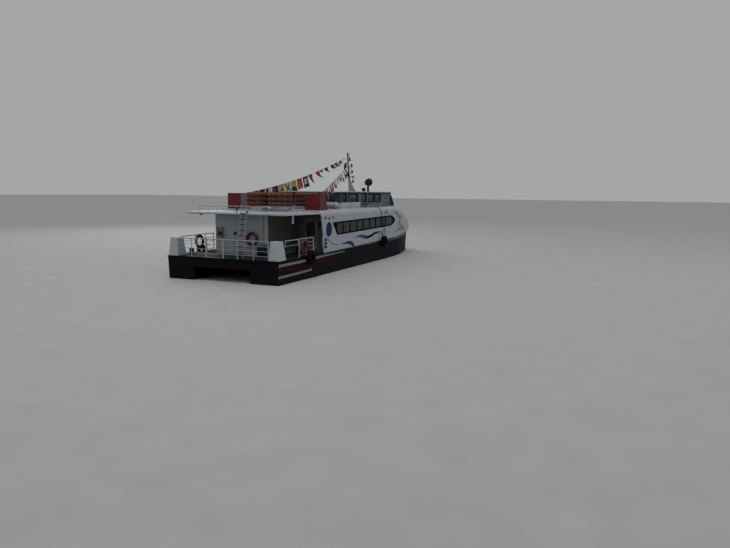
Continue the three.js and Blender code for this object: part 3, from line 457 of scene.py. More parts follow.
def stretched(tree: bpy.types.NodeTree, place: Socket, scale: Sequence[float]) -> Socket:
    """A place multiplied along x, y and z."""
    return node(tree, "ShaderNodeVectorMath", {0: place, 1: tuple(scale)}, operation="MULTIPLY").outputs[0]


class Effect(Enum):
    """The shared effects, each one node group: its inputs, with their first values, and its outputs."""

    WEATHER = ("weathered_paint",
               {"Place": (0, 0, 0), "Colour": (0.5, 0.5, 0.5, 1), "Stain": (0.1, 0.1, 0.1, 1), "Patches": 0.3,
                "Runs": 0.0, "Scale": 1.5}, ("Colour", "Wear"))
    GRAIN = ("fine_grain", {"Place": (0, 0, 0), "Scale": 300.0, "Waves": 2.0, "Share": 0.5}, ("Height",))
    WEAVE = ("woven_strands", {"Place": (0, 0, 0), "Scale": 200.0}, ("Height", "Shade"))
    SHEER = ("sheer_line", {"Place": (0, 0, 0)}, ("Above",))
    STUDS = ("grip_pattern", {"Place": (0, 0, 0), "Scale": 60.0}, ("Height",))

    def tree(self) -> bpy.types.NodeTree:
        """The effect's node group, built the first time that it is wanted."""
        name, inputs, outputs = self.value
        if name in bpy.data.node_groups:
            return bpy.data.node_groups[name]
        group = bpy.data.node_groups.new(name, "ShaderNodeTree")
        for key, first in inputs.items():
            numbers = len(first) if isinstance(first, tuple) else 1
            kind = {1: "NodeSocketFloat", 3: "NodeSocketVector", 4: "NodeSocketColor"}[numbers]
            socket = group.interface.new_socket(name=key, in_out="INPUT", socket_type=kind)
            socket.default_value = first
        for key in outputs:
            kind = "NodeSocketColor" if key == "Colour" else "NodeSocketFloat"
            group.interface.new_socket(name=key, in_out="OUTPUT", socket_type=kind)
        given = group.nodes.new("NodeGroupInput").outputs
        made = getattr(self, "_" + self.name.lower())(group, given)
        node(group, "NodeGroupOutput", dict(zip(outputs, made)))
        return group

    def use(self, tree: bpy.types.NodeTree, **inputs: object) -> bpy.types.NodeOutputs:
        """Places the effect in a material and joins or fills its inputs."""
        made = node(tree, "ShaderNodeGroup", node_tree=self.tree())
        for key, value in inputs.items():
            if isinstance(value, bpy.types.NodeSocket):
                tree.links.new(value, made.inputs[key])
            else:
                made.inputs[key].default_value = value
        return made.outputs

    @staticmethod
    def _weather(group: bpy.types.NodeTree, given: bpy.types.NodeOutputs) -> tuple[Socket, Socket]:
        """Broad stains, narrow streaks that run down, and a slight change of tint from place to place."""
        place = given["Place"]
        patch = between(group, noise(group, place, given["Scale"], 6, 0.65), 0.46, 0.78)
        streak = between(group, noise(group, stretched(group, place, (9, 9, 0.45)), 1.0, 4, 0.6), 0.5, 0.8)
        fine = between(group, noise(group, place, 35.0, 4, 0.7), 0.55, 0.8)
        broad = maths(group, "MULTIPLY", patch, given["Patches"])
        runs = maths(group, "MULTIPLY", streak, given["Runs"])
        specks = maths(group, "MULTIPLY", fine, maths(group, "MULTIPLY", given["Patches"], 0.35))
        wear = maths(group, "ADD", maths(group, "ADD", broad, runs), specks, clamp=True)
        tint = maths(group, "MULTIPLY_ADD", noise(group, place, 0.8, 2), 0.22, 0.89)
        shade = mixed(group, 1.0, given["Colour"], grey(group, tint), "MULTIPLY")
        return mixed(group, wear, shade, given["Stain"]), wear

    @staticmethod
    def _grain(group: bpy.types.NodeTree, given: bpy.types.NodeOutputs) -> tuple[Socket]:
        """Fine grain laid over slow waves in the surface."""
        fine = noise(group, given["Place"], given["Scale"], 2)
        waves = noise(group, given["Place"], given["Waves"], 2)
        rest = maths(group, "SUBTRACT", 1.0, given["Share"])
        return (maths(group, "ADD", maths(group, "MULTIPLY", fine, given["Share"]),
                      maths(group, "MULTIPLY", waves, maths(group, "MULTIPLY", rest, 6.0))),)

    @staticmethod
    def _weave(group: bpy.types.NodeTree, given: bpy.types.NodeOutputs) -> tuple[Socket, Socket]:
        """Strands over and under: the sine across times the sine along, with loose threads."""
        scaled = node(group, "ShaderNodeVectorMath", {0: given["Place"], "Scale": given["Scale"]},
                      operation="SCALE")
        parts = node(group, "ShaderNodeSeparateXYZ", {0: scaled.outputs[0]}).outputs
        across = maths(group, "SINE", maths(group, "ADD", parts[0], parts[1]))
        up = maths(group, "SINE", parts[2])
        height = maths(group, "ABSOLUTE", maths(group, "MULTIPLY", across, up))
        loose = noise(group, given["Place"], maths(group, "MULTIPLY", given["Scale"], 0.15), 3)
        return height, maths(group, "ADD", maths(group, "MULTIPLY", height, 0.5),
                             maths(group, "MULTIPLY", loose, 0.7))

    @staticmethod
    def _sheer(group: bpy.types.NodeTree, given: bpy.types.NodeOutputs) -> tuple[Socket]:
        """One above the painted line: it climbs slowly to the bow and faster along the bow itself."""
        parts = node(group, "ShaderNodeSeparateXYZ", {0: given["Place"]}).outputs
        slow = maths(group, "MULTIPLY_ADD", parts[0], 0.0175, 1.25 + 0.0175 * (MIDSHIP - 5.0))
        ahead = maths(group, "MAXIMUM", maths(group, "SUBTRACT", parts[0], BOW_START - MIDSHIP), 0.0)
        line = maths(group, "MULTIPLY_ADD", ahead, 0.082, slow)
        return (between(group, maths(group, "SUBTRACT", parts[2], line), -0.004, 0.004),)

    @staticmethod
    def _studs(group: bpy.types.NodeTree, given: bpy.types.NodeOutputs) -> tuple[Socket]:
        """Raised grit: the distance to the nearest of many scattered points, cut off near each."""
        cells = node(group, "ShaderNodeTexVoronoi", {"Vector": given["Place"], "Scale": given["Scale"]})
        return (maths(group, "SUBTRACT", 1.0, between(group, cells.outputs["Distance"], 0.15, 0.45)),)


@dataclass(frozen=True)
class Finish:
    """A painted, moulded or cast surface: its colour, stains, sheen and grain."""

    name: str
    colour: Colour
    stain: Colour = (0.08, 0.07, 0.06)
    roughness: float = 0.42
    metallic: float = 0.0
    coat: float = 0.0
    patches: float = 0.25
    runs: float = 0.0
    scale: float = 1.5
    grain: float = 260.0
    waves: float = 1.6
    share: float = 0.5
    depth: float = 0.0006
    wear_roughness: float = 0.25
    specular: float = 0.5

    def colours(self, tree: bpy.types.NodeTree, place: Socket) -> tuple[Socket, Socket]:
        """The weathered colour and the mask of where it is worn."""
        made = Effect.WEATHER.use(tree, Place=place, Colour=(*self.colour, 1), Stain=(*self.stain, 1),
                                  Patches=self.patches, Runs=self.runs, Scale=self.scale)
        return made["Colour"], made["Wear"]

    def relief(self, tree: bpy.types.NodeTree, place: Socket) -> Socket:
        """The height of the surface's own grain."""
        return Effect.GRAIN.use(tree, Place=place, Scale=self.grain, Waves=self.waves,
                                Share=self.share)["Height"]

    def dress(self, shader: bpy.types.Node) -> None:
        """Sets what is the same all over the surface, on the shader's own sockets."""
        shader.inputs["Metallic"].default_value = self.metallic
        shader.inputs["Coat Weight"].default_value = self.coat
        shader.inputs["Specular IOR Level"].default_value = self.specular
        shader.inputs["Coat Roughness"].default_value = 0.12

    def build(self) -> bpy.types.Material:
        """The finish as a material."""
        made = bpy.data.materials.new(self.name)
        made.use_nodes = True
        tree = made.node_tree
        tree.nodes.clear()
        place = tree.nodes.new("ShaderNodeTexCoord").outputs["Object"]
        shader = tree.nodes.new("ShaderNodeBsdfPrincipled")
        self.dress(shader)
        colour, wear = self.colours(tree, place)
        tree.links.new(colour, shader.inputs["Base Color"])
        rough = maths(tree, "MULTIPLY_ADD", wear, self.wear_roughness, self.roughness, clamp=True)
        tree.links.new(rough, shader.inputs["Roughness"])
        bump = node(tree, "ShaderNodeBump", {"Height": self.relief(tree, place), "Distance": self.depth,
                                             "Strength": 1.0})
        tree.links.new(bump.outputs[0], shader.inputs["Normal"])
        node(tree, "ShaderNodeOutputMaterial", {0: shader.outputs[0]})
        made.diffuse_color = (*self.colour, 1)
        return made


@dataclass(frozen=True)
class TwoTone(Finish):
    """White topsides over a dark hull colour, parted by the sheer line."""

    below: Colour = (0.0060, 0.0058, 0.0105)

    def colours(self, tree: bpy.types.NodeTree, place: Socket) -> tuple[Socket, Socket]:
        """Both colours weathered, chosen by the height above the line."""
        above = Effect.SHEER.use(tree, Place=place)["Above"]
        base = mixed(tree, above, (*self.below, 1), (*self.colour, 1))
        made = Effect.WEATHER.use(tree, Place=place, Colour=base, Stain=(*self.stain, 1),
                                  Patches=self.patches, Runs=self.runs, Scale=self.scale)
        return made["Colour"], made["Wear"]


@dataclass(frozen=True)
class Woven(Finish):
    """Cloth, webbing or a woven cover."""

    strands: float = 300.0

    def colours(self, tree: bpy.types.NodeTree, place: Socket) -> tuple[Socket, Socket]:
        """The weathered colour, darker between the strands."""
        colour, wear = super().colours(tree, place)
        shade = Effect.WEAVE.use(tree, Place=place, Scale=self.strands)["Shade"]
        tone = maths(tree, "MULTIPLY_ADD", shade, 0.75, 0.45)
        return mixed(tree, 1.0, colour, grey(tree, tone), "MULTIPLY"), wear

    def relief(self, tree: bpy.types.NodeTree, place: Socket) -> Socket:
        """The strands' own height."""
        return Effect.WEAVE.use(tree, Place=place, Scale=self.strands)["Height"]

    def dress(self, shader: bpy.types.Node) -> None:
        """Adds the soft sheen of fibres."""
        super().dress(shader)
        shader.inputs["Sheen Weight"].default_value = 0.25
        shader.inputs["Specular IOR Level"].default_value = 0.25


@dataclass(frozen=True)
class Gritted(Finish):
    """Deck paint with grit in it."""

    grit: float = 110.0

    def relief(self, tree: bpy.types.NodeTree, place: Socket) -> Socket:
        """Scattered raised grains."""
        return Effect.STUDS.use(tree, Place=place, Scale=self.grit)["Height"]


@dataclass(frozen=True)
class Pane(Finish):
    """Tinted glass, slightly uneven and dusty."""

    clear: float = 0.55

    def dress(self, shader: bpy.types.Node) -> None:
        """Lets part of the light through, straight on."""
        super().dress(shader)
        shader.inputs["Alpha"].default_value = 1.0 - self.clear
        shader.inputs["IOR"].default_value = 1.5
        shader.inputs["Specular IOR Level"].default_value = 0.6


@dataclass(frozen=True)
class Lens(Finish):
    """A lamp's lens, faintly lit."""

    glow: float = 0.4

    def dress(self, shader: bpy.types.Node) -> None:
        """Adds a little light of the lens's own colour."""
        super().dress(shader)
        shader.inputs["Emission Color"].default_value = (*self.colour, 1)
        shader.inputs["Emission Strength"].default_value = self.glow


@functools.cache
def material(finish: Finish) -> bpy.types.Material:
    """The one material of a finish."""
    return finish.build()


NAVY = Finish("hull_navy_paint", (0.0085, 0.0080, 0.0125), (0.024, 0.018, 0.018), 0.6, specular=0.10,
              patches=0.18, runs=0.3, scale=0.9)
TOPSIDES = TwoTone("topsides_paint", (0.325, 0.35, 0.395), (0.20, 0.19, 0.17), 0.38, coat=0.12, specular=0.35,
                   patches=0.2, runs=0.28, scale=0.8)
WHITE = Finish("white_gloss_paint", (0.36, 0.385, 0.42), (0.20, 0.19, 0.17), 0.38, coat=0.1, patches=0.22,
               runs=0.22, scale=1.1)
RAIL_WHITE = Finish("rail_paint", (0.29, 0.30, 0.32), (0.16, 0.10, 0.06), 0.38, patches=0.2, runs=0.12,
                    scale=4.0, grain=500.0, depth=0.0002)
GREY_STRIPE = Finish("stripe_grey", (0.21, 0.21, 0.225), (0.07, 0.065, 0.065), 0.5, patches=0.35, scale=2.0,
                     specular=0.2)
RED_STRIPE = Finish("stripe_red", (0.060, 0.006, 0.008), (0.02, 0.008, 0.009), 0.65, patches=0.4, scale=2.0,
                    specular=0.08)
RED = Finish("casing_red", (0.16, 0.010, 0.018), (0.06, 0.018, 0.016), 0.5, coat=0.05, specular=0.35,
             patches=0.4, runs=0.25, scale=1.6)
CASING_BROWN = Finish("casing_brown", (0.105, 0.022, 0.015), (0.05, 0.02, 0.015), 0.55, patches=0.45,
                      runs=0.3, scale=2.2)
CASING_TRIM = Finish("casing_trim", (0.19, 0.065, 0.048), (0.09, 0.035, 0.028), 0.5, patches=0.35, scale=3.0)
CASING_GREY = Finish("casing_grey", (0.21, 0.20, 0.235), (0.07, 0.06, 0.06), 0.5, patches=0.3, runs=0.2)
MAST_GREY = Finish("mast_paint", (0.27, 0.26, 0.31), (0.12, 0.11, 0.12), 0.45, patches=0.25, runs=0.2,
                   scale=3.0)
# The deckhouse's side panels: a darker paint, with painted shade from under the roof laid into the colour
HOUSE_SIDE_PAINT_AND_SHADE = Finish("house_side_paint_and_shade", (0.075, 0.072, 0.066), (0.04, 0.036, 0.03), 0.55, patches=0.35,
                    runs=0.35, scale=1.4, specular=0.3)
HOUSE_WALL = Finish("house_wall_paint", (0.255, 0.275, 0.29), (0.13, 0.125, 0.11), 0.45, patches=0.25,
                    runs=0.4, scale=1.2)
UPPER_PAINT = Finish("upper_house_paint", (0.125, 0.135, 0.152), (0.06, 0.06, 0.06), 0.5, patches=0.25,
                     runs=0.3, scale=1.6, specular=0.3)
MAST_DARK = Finish("mast_pole_paint", (0.070, 0.055, 0.052), (0.03, 0.025, 0.025), 0.55, patches=0.3,
                   scale=4.0)
LENS_DARK = Lens("lens_dark", (0.05, 0.048, 0.045), (0.03, 0.03, 0.03), 0.2, coat=0.4, glow=0.0)
DECK_GREEN = Gritted("deck_green_paint", (0.012, 0.028, 0.020), (0.03, 0.03, 0.026), 0.75, patches=0.5,
                     scale=1.2, depth=0.0012, specular=0.25)
RUBBER = Finish("black_rubber", (0.007, 0.007, 0.008), (0.025, 0.023, 0.022), 0.8, patches=0.4, scale=6.0,
                grain=180.0, depth=0.0009, specular=0.12)
BLACK = Finish("black_satin_paint", (0.010, 0.010, 0.012), (0.05, 0.045, 0.04), 0.45, patches=0.2, scale=3.0,
               specular=0.35)
BLACK_FRAME = Finish("window_frame_black", (0.0035, 0.0035, 0.004), (0.012, 0.012, 0.012), 0.7, patches=0.15,
                     specular=0.08)
DARK_STEEL = Finish("galvanised_steel", (0.13, 0.14, 0.15), (0.10, 0.06, 0.04), 0.5, 0.75, patches=0.3,
                    scale=5.0)
BRIGHT_STEEL = Finish("stainless_steel", (0.50, 0.51, 0.52), (0.2, 0.18, 0.15), 0.28, 0.95, patches=0.15,
                      scale=4.0, grain=700.0, depth=0.0001)
BRONZE = Finish("propeller_bronze", (0.42, 0.27, 0.10), (0.10, 0.16, 0.11), 0.34, 0.9, patches=0.4, scale=6.0)
ENGINE_PAINT = Finish("engine_paint", (0.14, 0.20, 0.17), (0.03, 0.025, 0.02), 0.5, patches=0.4, scale=5.0)
OVAL_BLUE = Finish("oval_blue", (0.007, 0.017, 0.062), (0.02, 0.03, 0.06), 0.5, patches=0.15, specular=0.15)
WAVE_BLUE = Finish("wave_blue", (0.006, 0.026, 0.066), (0.02, 0.04, 0.06), 0.5, patches=0.15, specular=0.15)
LINE_GREY = Finish("line_grey", (0.045, 0.070, 0.115), (0.06, 0.07, 0.09), 0.5, patches=0.2, specular=0.2)
TEAL = Finish("scroll_teal", (0.022, 0.058, 0.075), (0.09, 0.09, 0.09), 0.45, patches=0.2)
VENT_BLUE = Finish("vent_blue", (0.006, 0.014, 0.022), (0.03, 0.03, 0.03), 0.5, patches=0.2)
FLOAT_COVER = Woven("float_rope_cover", (0.15, 0.056, 0.026), (0.030, 0.015, 0.011), 0.9, patches=0.8,
                    scale=9.0, depth=0.006, strands=120.0)
FLOAT_ROPE = Woven("float_rope", (0.25, 0.098, 0.045), (0.07, 0.035, 0.025), 0.9, patches=0.5, scale=9.0,
                   depth=0.002, strands=520.0)
FLOAT_CORD = Woven("float_lashing", (0.06, 0.028, 0.018), (0.03, 0.02, 0.015), 0.9, patches=0.4, depth=0.002,
                   strands=500.0)
ROPE = Woven("rope_dark", (0.012, 0.011, 0.010), (0.04, 0.035, 0.03), 0.9, patches=0.3, depth=0.002,
             strands=420.0)
ROPE_PALE = Woven("rope_pale", (0.30, 0.27, 0.22), (0.12, 0.10, 0.08), 0.85, patches=0.3, depth=0.001,
                  strands=700.0)
BUOY_RED = Finish("lifebuoy_red", (0.12, 0.009, 0.017), (0.04, 0.010, 0.014), 0.6, patches=0.35, scale=9.0,
                  grain=420.0, depth=0.0005)
BUOY_WHITE = Finish("lifebuoy_band", (0.13, 0.055, 0.060), (0.07, 0.04, 0.04), 0.6, patches=0.35, scale=9.0)
SEAT_BLUE = Woven("seat_cloth", (0.035, 0.075, 0.19), (0.03, 0.035, 0.05), 0.88, patches=0.25, depth=0.001,
                  strands=900.0)
CHAIR_BLACK = Finish("chair_leather", (0.018, 0.017, 0.017), (0.05, 0.045, 0.04), 0.5, grain=320.0,
                     depth=0.0009, share=0.9)
INSIDE = Finish("cabin_lining", (0.24, 0.25, 0.25), (0.12, 0.11, 0.10), 0.6, patches=0.2)
CABIN_FLOOR = Finish("cabin_floor", (0.07, 0.085, 0.10), (0.05, 0.05, 0.05), 0.6, patches=0.3)
PASSAGE = Finish("passage_paint", (0.12, 0.115, 0.098), (0.06, 0.055, 0.045), 0.6, patches=0.3, runs=0.2)
PASSAGE_DOOR = Finish("passage_door_paint", (0.16, 0.165, 0.155), (0.05, 0.045, 0.04), 0.55, patches=0.3,
                      runs=0.2)
PLASTIC_GREY = Finish("plastic_grey", (0.15, 0.155, 0.16), (0.07, 0.07, 0.07), 0.55, patches=0.2, scale=6.0)
GREEN_BOX = Finish("green_box_paint", (0.025, 0.085, 0.060), (0.05, 0.05, 0.04), 0.5, patches=0.3, scale=6.0)
GLASS_DARK = Pane("window_glass", (0.036, 0.037, 0.035), (0.06, 0.06, 0.055), 0.10, patches=0.12,
                  depth=0.0002, grain=3.0, wear_roughness=0.4, clear=0.35)
GLASS_UPPER = Pane("upper_glass", (0.020, 0.021, 0.022), (0.06, 0.06, 0.055), 0.07, patches=0.15,
                   depth=0.0002, grain=3.0, clear=0.4)
LENS_CLEAR = Lens("lens_clear", (0.30, 0.29, 0.26), (0.2, 0.19, 0.15), 0.15, coat=0.5, glow=0.05)


# What the classes share


def film(skin: Skin, outline: Array, side: int, mark: int, thick: float = 0.003) -> None:
    """A thin painted shape of (x, z) points that lies on a side wall."""
    skin.prism(outline, side * HALF_BEAM, side * (HALF_BEAM + thick), Axis.Y, mark=mark)


def ribbon(middle: Sequence, widths: Sequence[float], count: int = 40) -> Array:
    """The outline of a band along a smooth line, as wide at each place as its widths say.

    The line is the smooth curve through its points, and half the width is laid off on both sides
    along the direction square to it.
    """
    share = np.linspace(0, 1, len(middle))
    t = np.linspace(0, 1, count)
    line = monotone(t, share, np.asarray(middle, float))
    ahead = np.gradient(line, axis=0)
    square = np.stack([-ahead[:, 1], ahead[:, 0]], 1) / (np.linalg.norm(ahead, axis=1, keepdims=True) + 1e-12)
    half = monotone(t, np.linspace(0, 1, len(widths)), widths)[:, None] / 2
    return np.concatenate([line + square * half, (line - square * half)[::-1]])


def paint_nodes(finish: Finish, *names: str) -> None:
    """Gives CAD nodes that stay in view their finish."""
    for name in names:
        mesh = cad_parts[name].data
        mesh.materials.clear()
        mesh.materials.append(material(finish))


# The hulls and the deck between them


HULL = np.array([
    # x, outer side at the deck, outer side at the water, inner side, keel
    [0.0, 3.500, 3.440, 1.800, -0.160],
    [1.3, 3.508, 3.460, 1.790, -0.290],
    [3.0, 3.520, 3.480, 1.780, -0.760],
    [5.2, 3.520, 3.490, 1.780, -1.060],
    [9.0, 3.520, 3.490, 1.780, -1.150],
    [17.2, 3.500, 3.400, 1.850, -1.150],
    [18.0, 3.460, 3.330, 1.900, -1.140],
    [19.2, 3.335, 3.110, 1.980, -1.120],
    [20.8, 2.940, 2.760, 2.090, -1.010],
    [21.9, 2.610, 2.490, 2.170, -0.800],
    [22.35, 2.450, 2.380, 2.220, -0.560],
    [22.5, 2.370, 2.330, 2.270, -0.420],
])


def hull_form(x: Array) -> Array:
    """Outer side at deck and water, inner side and keel at each x, smooth through the stations."""
    return monotone(x, HULL[:, 0], HULL[:, 1:]).T


def hull_top(x: Array) -> Array:
    """The hulls' top edge: level aft, then straight up to the stem."""
    return DECK + 0.45 * np.clip((np.asarray(x, float) - BOW_START) / 5.3, 0, None)


def hull_side(x: Array, z: Array) -> Array:
    """How far out the hull's outer side is at a height above the water."""
    deck, water = hull_form(x)[:2]
    return water + (deck - water) * z / hull_top(x)


# Face numbers of the hulls' finishes after the navy
AFT_FLOOR, CABIN_FLOORING, POCKET, GREY_BAND, RED_BAND = range(1, 6)


@dataclass
class Hulls:
    """The two slender hulls, the deck that bridges them, the painted strakes and the rubbing strip."""

    pocket_x: tuple[float, float] = (2.6, 4.4)
    pocket_y: tuple[float, float] = (2.15, 3.05)
    pocket_floor: float = -0.42
    stem: float = 0.035
    stem_y: float = 2.32
    cabin_floor: float = 5.3

    def build(self) -> None:
        """Makes all the pieces."""
        for name, side in SIDES:
            self.hull(name, side)
        self.bridge()
        self.strip()

    def hull(self, name: str, side: int) -> None:
        """One hull: straight above the water, a smooth curve round the bilges and keel, and a rounded stem.

        Each row of the grid is one section. The side runs straight from the deck edge to the water,
        the bottom is the smooth curve through water, bilge, keel, bilge and water, and the last rows
        squeeze the section to a line while they move forward along a quarter circle.
        """
        x = np.unique(np.concatenate([np.linspace(0, BOW_START, 47), self.pocket_x, [self.cabin_floor],
                                      np.linspace(BOW_START, 22.5, 37)]))
        turn = np.linspace(0, np.pi / 2, 6)[1:]
        base = np.append(x, np.full(len(turn), x[-1]))
        squeeze = np.append(np.ones(len(x)), np.cos(turn))
        ahead = np.append(np.zeros(len(x)), self.stem * np.sin(turn))
        deck, water, inner, keel = hull_form(base)
        top, middle, half = hull_top(base), (water + inner) / 2, (water - inner) / 2
        chine = np.minimum(-0.1, 0.45 * keel)

        def line(y: Array, z: Array | float) -> Array:
            """Points of one lengthwise line, pinched together at the stem."""
            pinched = self.stem_y + (y - self.stem_y) * squeeze
            return np.stack([base + ahead, side * pinched, np.broadcast_to(z, base.shape)], -1)

        outer = [line(deck + (water - deck) * t, top * (1 - t)) for t in np.linspace(0, 1, 8)]
        under = flowing(np.stack([
            line(water, 0.0), line(middle + 0.93 * half, chine), line(middle + 0.62 * half, 0.86 * keel),
            line(middle, keel), line(middle - 0.62 * half, 0.86 * keel), line(middle - 0.93 * half, chine),
            line(inner, 0.0)], 1), 6)
        inside = [line(inner, top * (1 - t)) for t in np.linspace(1, 0, 8)[1:]]
        section = np.concatenate([np.stack(outer, 1), under[:, 1:], np.stack(inside, 1)], 1)

        held = hull_form(np.minimum(base, BOW_START))
        cuts = np.array([self.pocket_y[0], sum(self.pocket_y) / 2, self.pocket_y[1]])
        share = (cuts[None] - held[2][:, None]) / (held[0] - held[2])[:, None]
        share = np.concatenate([np.zeros((len(base), 1)), share, np.ones((len(base), 1))], 1)
        plan = np.stack([line(inner + s * (deck - inner), top) for s in share.T], 1)
        aft, fore = (int(np.argmin(abs(base - place))) for place in self.pocket_x)
        hole = np.zeros((len(base) - 1, 4), bool)
        hole[aft:fore, 1:3] = True
        floor = np.where(base[:-1, None] < self.cabin_floor - 0.01, AFT_FLOOR,
                         CABIN_FLOORING) * np.ones((1, 4), int)

        skin = Skin()
        skin.grid(section)
        skin.grid(plan, mark=floor, keep=~hole)
        skin.lid(np.concatenate([section[0], plan[0, 1:-1]]))
        rim = np.concatenate([plan[aft:fore, 3], plan[fore, 3:1:-1], plan[fore:aft:-1, 1], plan[aft, 1:3]])
        low = rim.copy()
        low[:, 2] = self.pocket_floor
        skin.grid(np.stack([rim, low]), around=True, mark=POCKET)
        skin.lid(low, POCKET)
        skin.turned([(-0.25, 0), (-0.215, 0.05), (-0.20, 0.06), (-0.1, 0.06)],
                    (RUDDER_X, side * SHAFT_Y, 0), Axis.Z, 24)
        self.strakes(skin, side)
        skin.piece(f"hull_skin_{name}", SHIP, [NAVY, DECK_GREEN, CABIN_FLOOR, INSIDE, GREY_STRIPE,
                                               RED_STRIPE], "hull_navy", [f"hull_{name}"], sharp=30)

    def strakes(self, skin: Skin, side: int) -> None:
        """Three raised painted strips on the outer side; each thins out to nothing at its forward end."""
        bands = ((GREY_BAND, (0.0, 3.0, 4.2, 6.0, 7.9), (1.015, 1.045, 1.09, 1.14, 1.175), 0.15),
                 (RED_BAND, (0.0, 2.0, 4.0, 5.9, 6.3), (0.74, 0.755, 0.775, 0.81, 0.82), 0.17),
                 (GREY_BAND, (0.0, 1.0, 2.0, 3.0, 3.6), (0.41, 0.42, 0.435, 0.455, 0.47), 0.13))
        for mark, knots, heights, wide in bands:
            x = np.linspace(0.004, knots[-1], 60)
            middle = monotone(x, knots, heights)
            taper = np.sqrt(np.clip((knots[-1] - x) / 0.12, 0, 1))
            rows = []
            for up, out in ((-0.5, -0.01), (-0.5, 0.004), (-0.42, 0.008), (0.42, 0.008), (0.5, 0.004),
                            (0.5, -0.01)):
                z = middle + up * wide * np.maximum(taper, 0.02)
                rows.append(np.stack([x, side * (hull_side(x, z) + out * np.maximum(taper, 0.1)), z], -1))
            skin.loft(np.stack(rows, 1), mark)

    def bridge(self) -> None:
        """The deck between the hulls; its underside lifts towards the bow."""
        x = np.unique(np.concatenate([np.linspace(0, 21.9, 60), [self.cabin_floor]]))
        inner, top = hull_form(x)[2] - 0.0003, hull_top(x)
        under = 0.7 + np.clip((x - 15) / 6.9, 0, None) * 0.7
        rings = np.stack([np.stack([x, s * inner, z], -1) for s, z in ((-1, under), (1, under), (1, top),
                                                                       (-1, top))], 1)
        marks = np.zeros((len(x) - 1, 4), int)
        marks[:, 2] = np.where(x[:-1] < self.cabin_floor - 0.01, AFT_FLOOR, CABIN_FLOORING)
        skin = Skin()
        skin.loft(rings, marks)
        skin.piece("bridge_deck_skin", SHIP, [NAVY, DECK_GREEN, CABIN_FLOOR], "deck_green", ["bridge_deck"])

    def strip(self) -> None:
        """The rubbing strip: a hollow-faced rubber section along both sides and round the stern."""
        x = np.linspace(14.6, 0.12, 70)
        edge = hull_form(x)[0] + 0.0259
        corner = [(-0.0256, 3.5256)]
        port = np.concatenate([np.stack([x, edge], 1), corner])
        path = np.concatenate([port, (port * (1, -1))[::-1]])
        eased = np.concatenate([path[:len(x)], rounded(path[len(x) - 1:len(x) + 3], 0.07, 6, False)[1:-1],
                                path[len(x) + 2:]])
        line = np.concatenate([eased, np.full((len(eased), 1), 1.21)], 1)
        profile = rounded([(-0.0255, -0.035), (0.010, -0.035), (0.024, -0.024), (0.024, -0.010),
                           (0.017, -0.004), (0.017, 0.004), (0.024, 0.010), (0.024, 0.024), (0.010, 0.035),
                           (-0.0255, 0.035)], 0.005, 2)
        skin = Skin()
        skin.sweep(line, profile, (0, 0, 1))
        skin.piece("rubbing_strip", SHIP, [RUBBER], "black_rubber", ["rub_rail"])


# The open aft deck


@dataclass(frozen=True)
class Rails:
    """How the ship's rails are made: a thick top bar over thinner ones."""

    top: float = 2.225
    low: tuple[float, ...] = (1.96, 1.71, 1.46)
    thick: float = 0.030
    thin: float = 0.016
    post: float = 0.024

    def bars(self, skin: Skin, a: Sequence[float], b: Sequence[float],
             levels: Sequence[float] | None = None) -> None:
        """Level bars between two places, the first of them thick."""
        for i, z in enumerate(levels or (self.top, *self.low)):
            skin.tube([(*a, z), (*b, z)], self.thin if i else self.thick, 10 if i else 16)

    def upright(self, skin: Skin, x: float, y: float, top: float | None = None,
                radius: float | None = None) -> None:
        """A post on a round foot plate with a weld round it."""
        radius = radius or self.post
        top = top or self.top
        skin.turned([(DECK + 0.0003, radius * 2.3), (DECK + 0.008, radius * 2.3),
                     (DECK + 0.010, radius * 1.5), (DECK + 0.020, radius * 1.08), (DECK + 0.026, radius),
                     (top - 0.5 * radius, radius), (top, 0.7 * radius)], (x, y, 0), Axis.Z, 16)

    def leaf(self, skin: Skin, hinge: Sequence[float], latch: Sequence[float],
             levels: Sequence[float]) -> None:
        """A gate: bars between two capped uprights, with a drop latch on the far one."""
        self.bars(skin, hinge, latch, levels)
        foot, head = min(levels) - 0.04, self.top + 0.032
        for x, y in (hinge, latch):
            skin.turned([(foot, 0.018), (foot + 0.006, 0.024), (head - 0.010, 0.024), (head - 0.003, 0.020),
                         (head, 0.010)], (x, y, 0), Axis.Z, 16)


